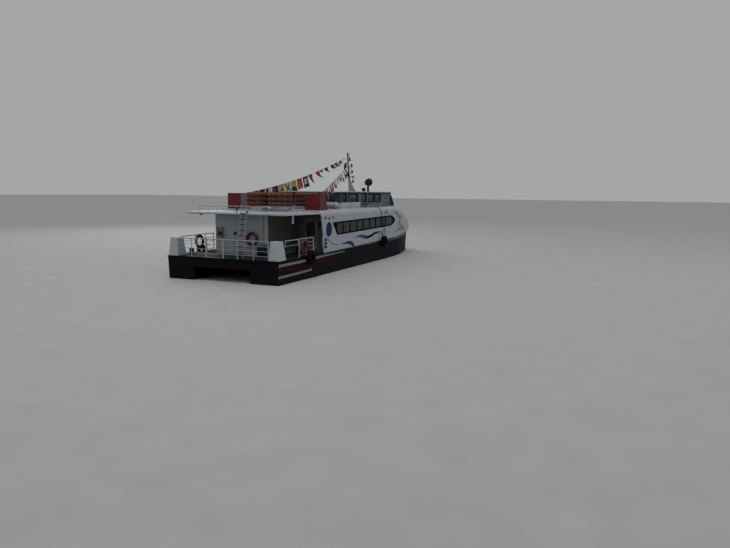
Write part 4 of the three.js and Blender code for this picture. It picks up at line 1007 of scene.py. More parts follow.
@dataclass
class AftDeck:
    """Bulwark boxes, rails, gates, hatches and bollards round the open deck."""

    rails: Rails = field(default_factory=Rails)
    stern: float = 0.07
    side: float = 3.38
    hinge: float = 1.01
    latch: float = -0.09

    def build(self) -> None:
        """Makes all the pieces."""
        for name, side in SIDES:
            self.bulwark(name, side)
            self.side_rail(name, side)
            self.side_gate(name, side)
            self.hatch(name, side)
            self.bollards(name, side)
        self.stern_rail()
        self.stern_gate()

    def bulwark(self, name: str, side: int) -> None:
        """A box that tapers upwards, with soft edges and a rounded top, and the lug that carries the gate."""
        foot, high = np.array([0.02, 0.80, 2.87, 3.49]), np.array([0.11, 0.63, 2.896, 3.406])
        turn = np.linspace(0, np.pi / 2, 6)
        z = np.concatenate([[ON_DECK], [2.18], 2.18 + 0.06 * np.sin(turn[1:])])
        shape = [foot, high] + [high + (np.array([0.04, -0.03, 0.034, -0.036]) * (1 - math.cos(t)))
                                for t in turn[1:]]
        rings = [Axis.Z.place(rounded(rectangle(a, b, c, d), 0.055, 5) * (1, side), level)
                 for (a, b, c, d), level in zip(shape, z)]
        skin = Skin()
        skin.loft(np.stack(rings))
        skin.box((0.6, side * 3.36, 1.8977), (0.87, side * 3.40, 1.9097), 0.004)
        skin.box((0.06, side * 2.905, 1.251), (0.74, side * 3.455, 1.262), 0.003, 1)
        for x, y in ((0.24, 3.0), (0.24, 3.28), (0.52, 3.0), (0.52, 3.28)):
            skin.turned([(2.2395, 0.012), (2.243, 0.012), (2.2445, 0.008)], (x, side * y, 0), Axis.Z, 12, 2)
        skin.piece(f"bulwark_box_{name}", SHIP, [WHITE, BLACK, BRIGHT_STEEL], "white_paint",
                   [f"bulwark_{name}"])

    def side_rail(self, name: str, side: int) -> None:
        """The fixed panel beside the passage."""
        y = side * self.side
        skin, levels = Skin(), (2.24, 2.01, 1.79, 1.57, 1.35)
        self.rails.bars(skin, (2.33, y), (3.95, y), levels)
        for x, radius in ((2.33, 0.028), (3.14, 0.020), (3.95, 0.028)):
            self.rails.upright(skin, x, y, 2.24, radius)
        for x in (2.33, 3.95):
            skin.ball((x, y, 2.24), 0.031)
        skin.piece(f"side_panel_{name}", SHIP, [RAIL_WHITE], "white_rail", [f"side_rail_{name}"], sharp=50)

    def side_gate(self, name: str, side: int) -> None:
        """The two-bar gate aft of the panel, with a chain link latch."""
        y = side * self.side
        skin = Skin()
        self.rails.leaf(skin, (0.85, y), (2.23, y), (self.rails.top, 1.95))
        skin.piece(f"side_gate_leaf_{name}", f"side_gate_{name}", [RAIL_WHITE], "white_rail",
                   [f"side_gate_{name}"], sharp=50)

    def stern_rail(self) -> None:
        """The rail across the stern, with gate posts, hinge lugs and the foot bar under the gate."""
        x, rails, skin = self.stern, self.rails, Skin()
        for a, b in ((self.hinge, 2.866), (-2.866, self.latch)):
            rails.bars(skin, (x, a), (x, b))
        for y in (2.845, 1.95, -0.97, -1.95, -2.845):
            rails.upright(skin, x, y)
        for y in (self.hinge, self.latch):
            rails.upright(skin, x, y, 2.2693, 0.034)
        for z in (1.4077, 2.2573):
            skin.box((x - 0.02, 0.92, z), (x + 0.02, self.hinge, z + 0.012), 0.003)
        skin.box((x - 0.025, self.latch, ON_DECK), (x + 0.025, self.hinge, 1.262), 0.004)
        skin.piece("stern_rail_bars", SHIP, [RAIL_WHITE], "white_rail", ["stern_rail"], sharp=50)

    def stern_gate(self) -> None:
        """The boarding gate in the stern rail."""
        skin = Skin()
        self.rails.leaf(skin, (self.stern, 0.94), (self.stern, -0.02), (self.rails.top, *self.rails.low))
        skin.piece("stern_gate_leaf", "stern_gate", [RAIL_WHITE], "white_rail", ["stern_gate"], sharp=50)

    def hatch(self, name: str, side: int) -> None:
        """A lid over an engine: a raised rim, eight toggles, two lift rings and hinge knuckles."""
        skin = Skin()
        skin.box((2.52, side * 2.09, ON_DECK), (4.44, side * 3.11, 1.283), 0.008)
        skin.box((2.62, side * 2.19, 1.28), (4.34, side * 3.01, 1.29), 0.004)
        for x in (2.9, 3.48, 4.06):
            for y in (2.14, 3.06):
                skin.turned([(1.28, 0.028), (1.288, 0.028), (1.2895, 0.02)], (x, side * y, 0), Axis.Z, 14, 1)
        for x in (3.0, 3.96):
            bow = np.linspace(0, np.pi, 13)
            ring = np.stack([x + 0.06 * np.cos(bow), side * (2.32 + 0.07 * np.sin(bow)),
                             np.full(13, 1.2905)], 1)
            skin.tube(ring, 0.006, 8, 1)
            skin.box((x - 0.08, side * 2.29, 1.286), (x + 0.08, side * 2.33, 1.292), 0.002, 1)
        for t in (0.2, 0.8):
            x = 2.52 + 1.92 * t
            skin.tube([(x - 0.06, side * 3.11, 1.28), (x + 0.06, side * 3.11, 1.28)], 0.022, 16, 1)
        skin.piece(f"hatch_lid_{name}", f"engine_hatch_{name}", [DECK_GREEN, DARK_STEEL], "deck_green",
                   [f"engine_hatch_{name}"])

    def bollards(self, name: str, side: int) -> None:
        """A pair of capped posts on a welded plate."""
        skin = Skin()
        skin.box((1.05, side * 2.78, ON_DECK), (1.45, side * 3.0, 1.27), 0.005)
        for x in (1.14, 1.36):
            skin.turned([(1.262, 0.078), (1.274, 0.070), (1.285, 0.062), (1.52, 0.062), (1.535, 0.064),
                         (1.54, 0.072), (1.568, 0.072), (1.577, 0.066), (1.58, 0.05)], (x, side * 2.89, 0),
                        Axis.Z, 28)
        for x in (1.08, 1.42):
            for y in (2.81, 2.97):
                skin.turned([(1.269, 0.011), (1.277, 0.011), (1.278, 0.006)], (x, side * y, 0), Axis.Z, 6, 1)
        skin.piece(f"bollard_pair_{name}", SHIP, [BLACK, DARK_STEEL], "black_fitting", [f"bollard_{name}"])


# The houses


@dataclass
class Deckhouse:
    """The house on the aft deck with its door, pipes, boxes and fittings."""

    aft: float = 1.85
    fore: float = 4.9
    half: float = 1.7
    top: float = 3.4697
    door: tuple[float, float, float, float] = (2.3, 3.0, 1.35, 3.15)

    def build(self) -> None:
        """Makes all the pieces."""
        self.shell()
        self.leaf()
        self.fittings()

    def shell(self) -> None:
        """Four walls with rounded corners and the doorway to port."""
        x0, x1, z0, z1 = self.door
        lining, steel, skirting, shade = range(1, 5)
        corners = rounded(rectangle(self.aft, self.fore, -self.half, self.half), 0.06, 5)
        place = int(np.argmax((corners[:, 0] < x1) & (corners[:, 1] > self.half - 1e-6)))
        plan = np.insert(corners, place, [[x1, self.half], [x0, self.half]], 0)
        levels = np.array([ON_DECK, z0, z1, self.top])
        outer = np.stack([Axis.Z.place(plan, z) for z in levels])
        inner = np.stack([Axis.Z.place(inset(plan, 0.06), z) for z in levels])
        holes = np.zeros((3, len(plan)), bool)
        holes[1, place] = True
        skin = Skin()
        skin.walls(outer, inner, holes, inside=lining)
        skin.plate([rectangle(x0 - 0.045, x1 + 0.045, z0 - 0.045, z1 + 0.045),
                    rectangle(x0, x1, z0, z1)[::-1]], self.half - 0.004, self.half + 0.008, bevel=0.003)
        # Thin dark panels on both side walls: darker paint with painted shade for the shade under the aft
        # roof
        for low, high in ((self.aft + 0.08, x0 - 0.05), (x1 + 0.05, self.fore - 0.08)):
            skin.prism(rectangle(low, high, 1.345, self.top), self.half - 0.001, self.half + 0.003, Axis.Y,
                       mark=shade)
        skin.prism(rectangle(x0 - 0.05, x1 + 0.05, z1 + 0.05, self.top), self.half - 0.001,
                   self.half + 0.003, Axis.Y, mark=shade)
        skin.prism(rectangle(self.aft + 0.08, self.fore - 0.08, 1.345, self.top), -self.half - 0.003,
                   -self.half + 0.001, Axis.Y, mark=shade)
        for z in LUGS:
            skin.box((2.27, self.half - 0.005, z), (2.311, self.half + 0.022, z + 0.012), 0.003, steel)
        skirt = inset(rounded(rectangle(self.aft, self.fore, -self.half, self.half), 0.06, 5), -0.006)
        skin.prism(skirt, 1.2504, 1.34, bevel=0.004, mark=skirting)
        skin.piece("deckhouse_walls", SHIP, [HOUSE_WALL, INSIDE, BRIGHT_STEEL, CASING_GREY, HOUSE_SIDE_PAINT_AND_SHADE],
                   "white_paint", ["deckhouse"])

    def leaf(self) -> None:
        """The side door, with a pressed panel, a round port, a lever and hinge knuckles."""
        x0, x1, z0, z1 = self.door
        steel = 1
        skin = Skin()
        skin.box((x0 + 0.006, 1.655, z0 + 0.006), (x1 - 0.01, 1.71, z1 - 0.006), 0.008)
        skin.prism(rounded(rectangle(x0 + 0.11, x1 - 0.11, 1.55, 2.35), 0.05), 1.708, 1.716, Axis.Y, 0.003)
        skin.turned([(1.706, 0.17), (1.722, 0.17), (1.724, 0.155), (1.712, 0.145), (1.711, 0.0)],
                    (2.65, 0, 2.75), Axis.Y, 36, steel)
        skin.box((2.88, 1.70, 2.18), (2.91, 1.712, 2.30), 0.004, steel)
        skin.bent([(2.895, 1.71, 2.26), (2.895, 1.752, 2.26), (2.79, 1.752, 2.25)], 0.008, 0.015, 10, steel)
        for z in KNUCKLES:
            skin.tube([(2.31, 1.716, z), (2.31, 1.716, z + 0.11)], 0.012, 14, steel)
            skin.box((2.31, 1.708, z + 0.01), (2.40, 1.715, z + 0.10), 0.002, steel)
        skin.piece("deckhouse_door_leaf", "deckhouse_door", [HOUSE_WALL, BRIGHT_STEEL], "white_paint",
                   ["deckhouse_door"])

    def fittings(self) -> None:
        """What is fixed to the walls: pipes, boxes, an intake, a green valve box and a white fitting."""
        skin, wall = Skin(), self.aft
        green, clip, pipe, white = range(1, 5)
        skin.turned([(wall - 0.001, 0.085), (wall - 0.03, 0.085), (wall - 0.036, 0.07), (wall - 0.02, 0.06),
                     (wall - 0.02, 0.0)], (0, 0.37, 2.45), Axis.X, 28)
        skin.box((wall - 0.09, -0.17, 1.28), (wall, 0.17, 1.53), 0.012, green)
        skin.box((wall - 0.096, -0.12, 1.33), (wall - 0.089, 0.12, 1.47), 0.004, white)
        for y, low, high in ((1.16, 2.22, 2.72), (1.27, 2.16, 2.80), (1.40, 2.20, 2.66), (1.55, 2.24, 2.74)):
            skin.bent([(wall - 0.035, y, low), (wall - 0.035, y, high), (wall, y, high)], 0.026, 0.05, 12,
                      pipe)
            for z in (low + 0.10, high - 0.12):
                skin.box((wall - 0.065, y - 0.034, z), (wall, y + 0.034, z + 0.025), 0.003, clip)
        skin.box((wall - 0.09, 1.12, 2.30), (wall, 1.46, 2.56), 0.01, pipe)
        skin.box((wall - 0.10, 1.15, 2.33), (wall - 0.09, 1.43, 2.53), 0.004)
        for y0, y1, z1 in ((-1.69, -1.44, 1.90), (-1.41, -1.12, 1.84)):
            skin.box((wall - 0.16, y0, 1.2505), (wall - 0.01, y1, z1), 0.02)
            skin.box((wall - 0.168, y0 + 0.03, z1 - 0.05), (wall - 0.16, y1 - 0.03, z1 - 0.02), 0.003, pipe)
        skin.bent([(wall - 0.02, -1.3, 1.84), (wall - 0.02, -1.3, 2.0), (wall - 0.02, -1.45, 2.2),
                   (wall - 0.02, -1.45, 3.46)], 0.012, 0.06, 8, clip)
        skin.piece("deckhouse_fittings", SHIP, [BLACK, GREEN_BOX, PLASTIC_GREY, CASING_GREY, RAIL_WHITE],
                   "black_fitting")


@dataclass
class AftRoof:
    """The lower roof over the open deck, with its fascia, lamps and hatch."""

    aft: float = 1.28
    fore: float = 4.6997
    half: float = 3.23
    half_fore: float = 3.47

    def build(self) -> None:
        """A slab that widens forward, with a soft edge, beams under it and small fittings along its rim."""
        skin = Skin()
        corners = [(self.fore, self.half_fore), (self.aft, self.half), (self.aft, -self.half),
                   (self.fore, -self.half_fore)]
        plan = np.concatenate([corners[-1:], corners[:1], rounded(corners, 0.2, 8, False)[1:-1]])
        rims = [(3.495, 0.035), (3.498, 0.016), (3.508, 0.004), (3.512, 0.0), (3.575, 0.0), (3.593, 0.004),
                (3.607, 0.012), (3.616, 0.024), (3.62, 0.042)]
        skin.loft(np.stack([Axis.Z.place(inset(plan, d), z) for z, d in rims]))
        for y in (-2.9, -1.95, 1.95, 2.9):
            skin.box((1.45, y - 0.03, 3.4705), (4.69, y + 0.03, 3.50), 0.004)
        for x in (1.5, 3.0, 4.6):
            for a, b in ((-3.1, -1.71), (1.71, 3.1)):
                skin.box((x - 0.025, a, 3.4705), (x + 0.025, b, 3.498), 0.004)
        skin.box((2.4, -0.55, 3.619), (3.2, 0.35, 3.67), 0.012)
        skin.box((2.36, -0.59, 3.618), (3.24, 0.39, 3.628), 0.004)
        skin.turned([(3.615, 0.05), (3.63, 0.05), (3.635, 0.02), (3.76, 0.02), (3.765, 0.055), (3.78, 0.06)],
                    (1.36, -0.10, 0), Axis.Z, 18, 1)
        skin.turned([(3.78, 0.05), (3.80, 0.055), (3.86, 0.055), (3.875, 0.04)], (1.36, -0.10, 0), Axis.Z,
                    18, 1)
        skin.turned([(3.619, 0.04), (3.64, 0.05), (3.68, 0.045), (3.70, 0.02)], (1.34, -0.78, 0), Axis.Z,
                    16, 1)
        skin.box((1.30, 2.18, 3.43), (1.40, 2.30, 3.50), 0.01, 1)
        skin.box((2.0, -3.20, 3.10), (2.08, -3.12, 3.50), 0.012)
        skin.box((1.985, -3.215, 3.06), (2.095, -3.105, 3.12), 0.012)
        for y in (-2.64, 2.2):
            skin.turned([(3.47, 0.11), (3.498, 0.11)], (3.6, y, 0), Axis.Z, 24, 2)
        skin.piece("aft_roof_slab", SHIP, [WHITE, BLACK, LENS_CLEAR], "white_paint", ["aft_roof"])


@dataclass
class Cabin:
    """The passenger cabin: sides with their long windows, the aft bulkhead, the roof and the benches."""

    band_low: tuple[tuple[float, float], ...] = ((6.80, 2.21), (15.9, 2.35))
    band_top: tuple[tuple[float, float], ...] = ((6.20, 2.96), (15.9, 3.08))
    mullions: tuple[float, ...] = (7.67, 8.70, 9.78, 10.80, 11.87, 12.95, 13.99, 14.86)
    doorway: tuple[float, float, float, float] = (2.1, 2.9, 1.31, 3.18)
    shoulder: tuple[float, float] = (3.25, 3.45)
    wall_top: float = 3.3997

    def build(self) -> None:
        """Makes all the pieces."""
        for name, side in SIDES:
            self.wall(name, side)
            self.window(name, side)
            self.door(name, side)
            self.markings(name, side)
        self.bulkhead()
        self.roof()
        Benches().build()

    def band(self, grow: float = 0.0) -> Array:
        """The long window's outline: a slanted aft end, straight edges and a rounded tip forward."""
        corners = [*self.band_low, (16.48, 2.52), (16.78, 2.72), (16.48, 2.93), *self.band_top[::-1]]
        return inset(rounded(corners, 0.10, 5), -grow)

    def wall(self, name: str, side: int) -> None:
        """A side wall: its aft edge is one smooth curve, and the window band is cut through it."""
        z = np.linspace(ON_DECK, self.wall_top, 34)
        edge = monotone(z, (1.25, 1.7, 2.08, 2.23, 2.35, 2.62, 3.0, 3.4),
                        (5.06, 4.955, 4.905, 4.965, 4.955, 4.88, 4.80, 4.72))
        aft = np.stack([edge, z], 1)
        outline = np.concatenate([[[CABIN_END, ON_DECK], [CABIN_END, self.wall_top]], aft[::-1]])
        skin = Skin()
        skin.plate([outline, self.band()[::-1]], side * 3.44, side * 3.5, bevel=0.004)
        skin.piece(f"cabin_wall_{name}", SHIP, [TOPSIDES], "white_paint", [f"cabin_side_{name}"])

    def window(self, name: str, side: int) -> None:
        """The window band: one black frame with a row of panes, and a rubber seal round the band."""
        (a0, b0), (a1, b1) = self.band_low
        (c0, d0), (c1, d1) = self.band_top

        def low(x: float) -> float:
            """Where a pane's foot lies, above the band's lower edge."""
            return b0 + (x - a0) * (b1 - b0) / (a1 - a0) + 0.075

        def top(x: float) -> float:
            """Where a pane's head lies, below the band's upper edge."""
            return d0 + (x - c0) * (d1 - d0) / (c1 - c0) - 0.080

        panes = []
        edges = (6.72, *self.mullions)
        for k, (x0, x1) in enumerate(zip(edges, edges[1:])):
            a, b = x0 + 0.075, x1 - 0.075
            foot = a + (0.10 if k == 0 else 0)
            panes.append(rounded([(foot, low(foot)), (b, low(b)), (b, top(b)), (a, top(a))], 0.07, 5))
        x = self.mullions[-1] + 0.06
        panes.append(rounded([(x, low(x)), (15.85, low(15.85)), (16.16, 2.50), (16.34, 2.72), (16.16, 2.90),
                              (15.85, top(15.85)), (x, top(x))], 0.10, 5))
        skin = Skin()
        skin.plate([self.band(-0.0003), *(pane[::-1] for pane in panes)], side * 3.462, side * 3.486,
                   bevel=0.003)
        for pane in panes:
            skin.plate([inset(pane, -0.004)], side * 3.468, side * 3.476, bevel=0.001, mark=1)
        seal = Axis.Y.place(self.band(0.004), side * 3.4985)
        skin.sweep(seal, rounded([(-0.018, -0.006), (0.018, -0.006), (0.014, 0.009), (-0.014, 0.009)],
                                 0.004, 2), (0, side, 0), closed=True)
        skin.piece(f"side_panes_{name}", SHIP, [BLACK_FRAME, GLASS_DARK], "dark_glass",
                   [f"side_window_{name}"])

    def markings(self, name: str, side: int) -> None:
        """A side's painted shapes: an oval, three louvres, a line into a wave, two ribbons and diamonds."""
        skin = Skin()
        oval, vent, wave_blue, grey, teal, rim = range(6)
        film(skin, circle(1, 48) * (0.385, 0.425) + (5.69, 2.59), side, oval)
        for low in (1.52, 1.73, 1.94):
            film(skin, rounded(rectangle(5.05, 5.44, low - 0.015, low + 0.155), 0.03), side, rim, thick=0.006)
            film(skin, rounded(rectangle(5.07, 5.42, low, low + 0.14), 0.02), side, vent, thick=0.010)
            for k in range(3):
                z = low + 0.025 + 0.04 * k
                skin.prism(rectangle(5.09, 5.40, z, z + 0.012), side * 3.5, side * 3.516, Axis.Y, 0.003, vent)
        film(skin, ribbon([(5.26, 2.43), (5.33, 2.289), (5.51, 2.10), (5.76, 1.904), (6.17, 1.716),
                           (6.75, 1.615), (7.29, 1.625)], (0.012, 0.04, 0.05, 0.05, 0.035, 0.02)), side,
             grey)
        wave = [(7.20, 1.605), (7.84, 1.665), (8.41, 1.715), (8.81, 1.70), (9.11, 1.575), (9.44, 1.345),
                (9.19, 1.300), (8.96, 1.385), (8.70, 1.478), (8.29, 1.546), (7.84, 1.575)]
        film(skin, rounded(wave, 0.14, 5), side, wave_blue)
        for z, lag, mark in ((1.84, 0.0, teal), (1.80, 0.9, grey)):
            x = np.linspace(9.45, 14.15, 60)
            share = (x - x[0]) / (x[-1] - x[0])
            height = z + 0.105 * np.sin(2 * np.pi * 1.5 * share + lag) + 0.10 * share
            film(skin, ribbon(np.stack([x, height], 1), (0.015, 0.12, 0.15, 0.12, 0.015), 90), side, mark)
        for x, z in ((5.22, 3.27), (5.74, 3.22), (6.23, 3.26), (14.92, 3.45), (14.70, 3.30), (15.12, 3.29)):
            film(skin, np.array([(x - 0.13, z), (x, z - 0.10), (x + 0.13, z), (x, z + 0.10)]), side,
                 wave_blue)
        skin.piece(f"side_markings_{name}", SHIP, [OVAL_BLUE, VENT_BLUE, WAVE_BLUE, LINE_GREY, TEAL,
                                                   CASING_GREY], "white_paint")

    def bulkhead(self) -> None:
        """The cabin's aft wall, with two doorways under the roof's arch, trims and a round port."""
        turn = np.linspace(0, np.pi / 2, 8)
        arch = self.shoulder + 0.1597 * np.stack([np.cos(turn), np.sin(turn)], 1)
        half = np.concatenate([[[3.4397, ON_DECK], [3.4397, self.wall_top]], arch])
        outline = np.concatenate([half, (half * (-1, 1))[::-1]])
        y0, y1, z0, z1 = self.doorway
        holes = [rectangle(s * y0, s * y1, z0, z1)[::-1] for s in (-1, 1)]
        skin = Skin()
        skin.plate([outline, *holes], 5.3, 5.36, Axis.X, 0.002)
        for s in (-1, 1):
            trim = rectangle(s * (y0 - 0.05), s * (y1 + 0.05), z0 - 0.045, z1 + 0.05)
            skin.plate([trim, rectangle(s * y0, s * y1, z0, z1)[::-1]], 5.292, 5.302, Axis.X, 0.003, 1)
            for z in LUGS:
                skin.box((5.282, s * 2.889, z), (5.305, s * 2.93, z + 0.012), 0.003, 1)
        for y, z in ((-1.2, 2.62), (-0.7, 2.62), (0.3, 2.62)):
            skin.box((5.26, y - 0.11, z - 0.07), (5.30, y + 0.11, z + 0.07), 0.01, 2)
        skin.turned([(5.301, 0.15), (5.26, 0.15), (5.25, 0.13), (5.262, 0.11), (5.262, 0.0)],
                    (0, -3.12, 2.86), Axis.X, 26, 2)
        skin.piece("bulkhead_plate", SHIP, [PASSAGE, PASSAGE_DOOR, BLACK], "white_paint", ["cabin_bulkhead"])

    def door(self, name: str, side: int) -> None:
        """A hinged door with a window, a kick plate, a lever and knuckles."""
        y0, y1, z0, z1 = self.doorway
        rim, glass, steel = range(1, 4)
        skin = Skin()
        skin.box((5.294, side * (y0 + 0.01), z0 + 0.006), (5.339, side * (y1 - 0.006), z1 - 0.006), 0.006)
        pane = rounded(rectangle(side * (y0 + 0.17), side * (y1 - 0.17), 2.1, 2.95), 0.07)
        skin.rim(pane, 0.03, 5.288, 5.295, Axis.X, 0.002, rim)
        skin.plate([inset(pane, -0.005)], 5.291, 5.2945, Axis.X, 0.0005, glass)
        skin.box((5.2905, side * (y0 + 0.05), 1.34), (5.2945, side * (y1 - 0.05), 1.55), 0.001, steel)
        skin.box((5.285, side * (y0 + 0.07), 2.15), (5.295, side * (y0 + 0.12), 2.33), 0.003, steel)
        skin.bent([(5.29, side * 2.195, 2.26), (5.244, side * 2.195, 2.26), (5.244, side * 2.30, 2.255)],
                  0.008, 0.015, 10, steel)
        for z in KNUCKLES:
            skin.tube([(5.288, side * 2.89, z), (5.288, side * 2.89, z + 0.11)], 0.012, 14, steel)
        skin.piece(f"cabin_door_leaf_{name}", f"cabin_door_{name}",
                   [PASSAGE_DOOR, BLACK_FRAME, GLASS_DARK, BRIGHT_STEEL], "white_paint",
                   [f"cabin_door_{name}"])

    def roof(self) -> None:
        """The roof: an arch at each shoulder, a flat top, and the well under the upper house.

        Each cross-section is a quarter circle about the shoulder's centre on both sides, the inner face
        lying 0.09 m within the outer one.
        """
        turn = np.linspace(0, np.pi / 2, 11)
        columns = np.array([0.0, 1.95, 2.6])

        def face(radius: float, wall: float, top: float) -> Array:
            """Half of one face's section, from the eave up and over to the centreline."""
            arc = self.shoulder + radius * np.stack([np.cos(turn), np.sin(turn)], 1)
            flat = np.stack([columns[::-1], np.full(3, top)], 1)
            return np.concatenate([[[wall, 3.4], [wall, 3.43]], arc, flat])

        sections = [face(0.25, 3.5, 3.7), face(0.16, 3.44, 3.61)]
        whole = [np.concatenate([half, (half * (-1, 1))[::-1][1:]]) for half in sections]
        x = np.array([4.7003, 4.72, 10.4, CABIN_END])
        outer, inner = (np.stack([Axis.X.place(section, place) for place in x]) for section in whole)
        middle = abs((whole[0][1:, 0] + whole[0][:-1, 0]) / 2) < 1.94
        holes = np.zeros((3, len(middle)), bool)
        holes[2] = middle
        skin = Skin()
        skin.walls(outer, inner, holes, around=False, inside=1)
        for x0 in (7.6, 9.0):
            skin.box((x0, 0.9, 3.6995), (x0 + 0.7, 1.6, 3.75), 0.015)
            skin.box((x0 - 0.03, 0.87, 3.6995), (x0 + 0.73, 1.63, 3.712), 0.004)
        for y in (-2.35, 2.35):
            path = [(8.9, y, 3.70), (8.9, y, 3.80), (16.9, y, 3.80), (16.9, y, 3.70)]
            skin.bent(path, 0.016, 0.05, 10)
            for x1 in np.linspace(10.2, 15.6, 5):
                skin.tube([(x1, y, 3.70), (x1, y, 3.80)], 0.012, 8)
        skin.piece("cabin_roof_shell", SHIP, [WHITE, INSIDE], "white_paint", ["cabin_roof"])


@dataclass
class Benches:
    """Rows of seats on floor rails, in three blocks across the cabin."""

    rows: int = 10
    first: float = 7.0
    pitch: float = 0.9
    blocks: tuple[tuple[float, float, int], ...] = ((-3.25, -1.65, 3), (-0.95, 0.95, 4), (1.65, 3.25, 3))

    def build(self) -> None:
        """The frames as one piece, and the cushions as one stuffed piece."""
        frames, cushions = Skin(), Skin()
        for row in range(self.rows):
            x = self.first + row * self.pitch
            frames.box((x + 0.15, -3.25, ON_DECK), (x + 0.23, 3.25, 1.275), 0.004)
            for y0, y1, count in self.blocks:
                middle = (y0 + y1) / 2
                for y in (middle - 0.4, middle + 0.4):
                    frames.box((x + 0.16, y - 0.03, 1.26), (x + 0.22, y + 0.03, 1.66), 0.006)
                frames.box((x + 0.02, y0, 1.652), (x + 0.40, y1, 1.676), 0.008)
                self.row_of_seats(cushions, frames, x, y0, y1, count)
        last = self.first + (self.rows - 1) * self.pitch + 0.23
        frames.box((self.first, -0.06, ON_DECK), (last, 0.06, 1.274), 0.004)
        frames.piece("bench_frames", SHIP, [DARK_STEEL, CHAIR_BLACK], "seat_fabric", ["passenger_seats"])
        stuffed = cushions.piece("bench_cushions", SHIP, [SEAT_BLUE], "seat_fabric", sharp=60)

    def row_of_seats(self, cushions: Skin, frames: Skin, x: float, y0: float, y1: float, count: int) -> None:
        """Seat and back cushions side by side, with an armrest at each end."""
        wide = (y1 - y0) / count
        for k in range(count):
            a, b = y0 + k * wide + 0.012, y0 + (k + 1) * wide - 0.012
            seat = rounded([(x + 0.02, 1.677), (x + 0.42, 1.69), (x + 0.43, 1.745), (x + 0.05, 1.735)],
                           0.022, 3)
            back = rounded([(x - 0.035, 1.70), (x + 0.055, 1.715), (x - 0.055, 2.30), (x - 0.075, 2.335),
                            (x - 0.125, 2.33), (x - 0.13, 2.30)], 0.022, 3)
            cushions.prism(seat, a, b, Axis.Y, 0.02)
            cushions.prism(back, a, b, Axis.Y, 0.02)
        for y in (y0 - 0.018, y1 + 0.018):
            frames.box((x, y - 0.018, 1.90), (x + 0.36, y + 0.018, 1.93), 0.012, 1)
            frames.box((x + 0.24, y - 0.012, 1.66), (x + 0.28, y + 0.012, 1.91), 0.004)


BOW = np.array([
    # x, half width, top, how far the shoulder reaches in and down, tuck at the foot
    [17.2, 3.500, 3.70, 0.250, 0.250, 0.000],
    [18.2, 3.465, 3.70, 0.560, 0.520, 0.005],
    [19.2, 3.380, 3.70, 0.920, 0.920, 0.040],
    [20.15, 3.240, 3.70, 1.035, 1.330, 0.115],
    [20.8, 3.110, 3.42, 1.060, 1.130, 0.165],
    [21.4, 2.970, 3.10, 1.000, 0.960, 0.200],
    [21.9, 2.830, 2.79, 0.860, 0.760, 0.215],
    [22.3, 2.680, 2.44, 0.610, 0.500, 0.205],
    [22.48, 2.540, 2.16, 0.300, 0.240, 0.165],
])


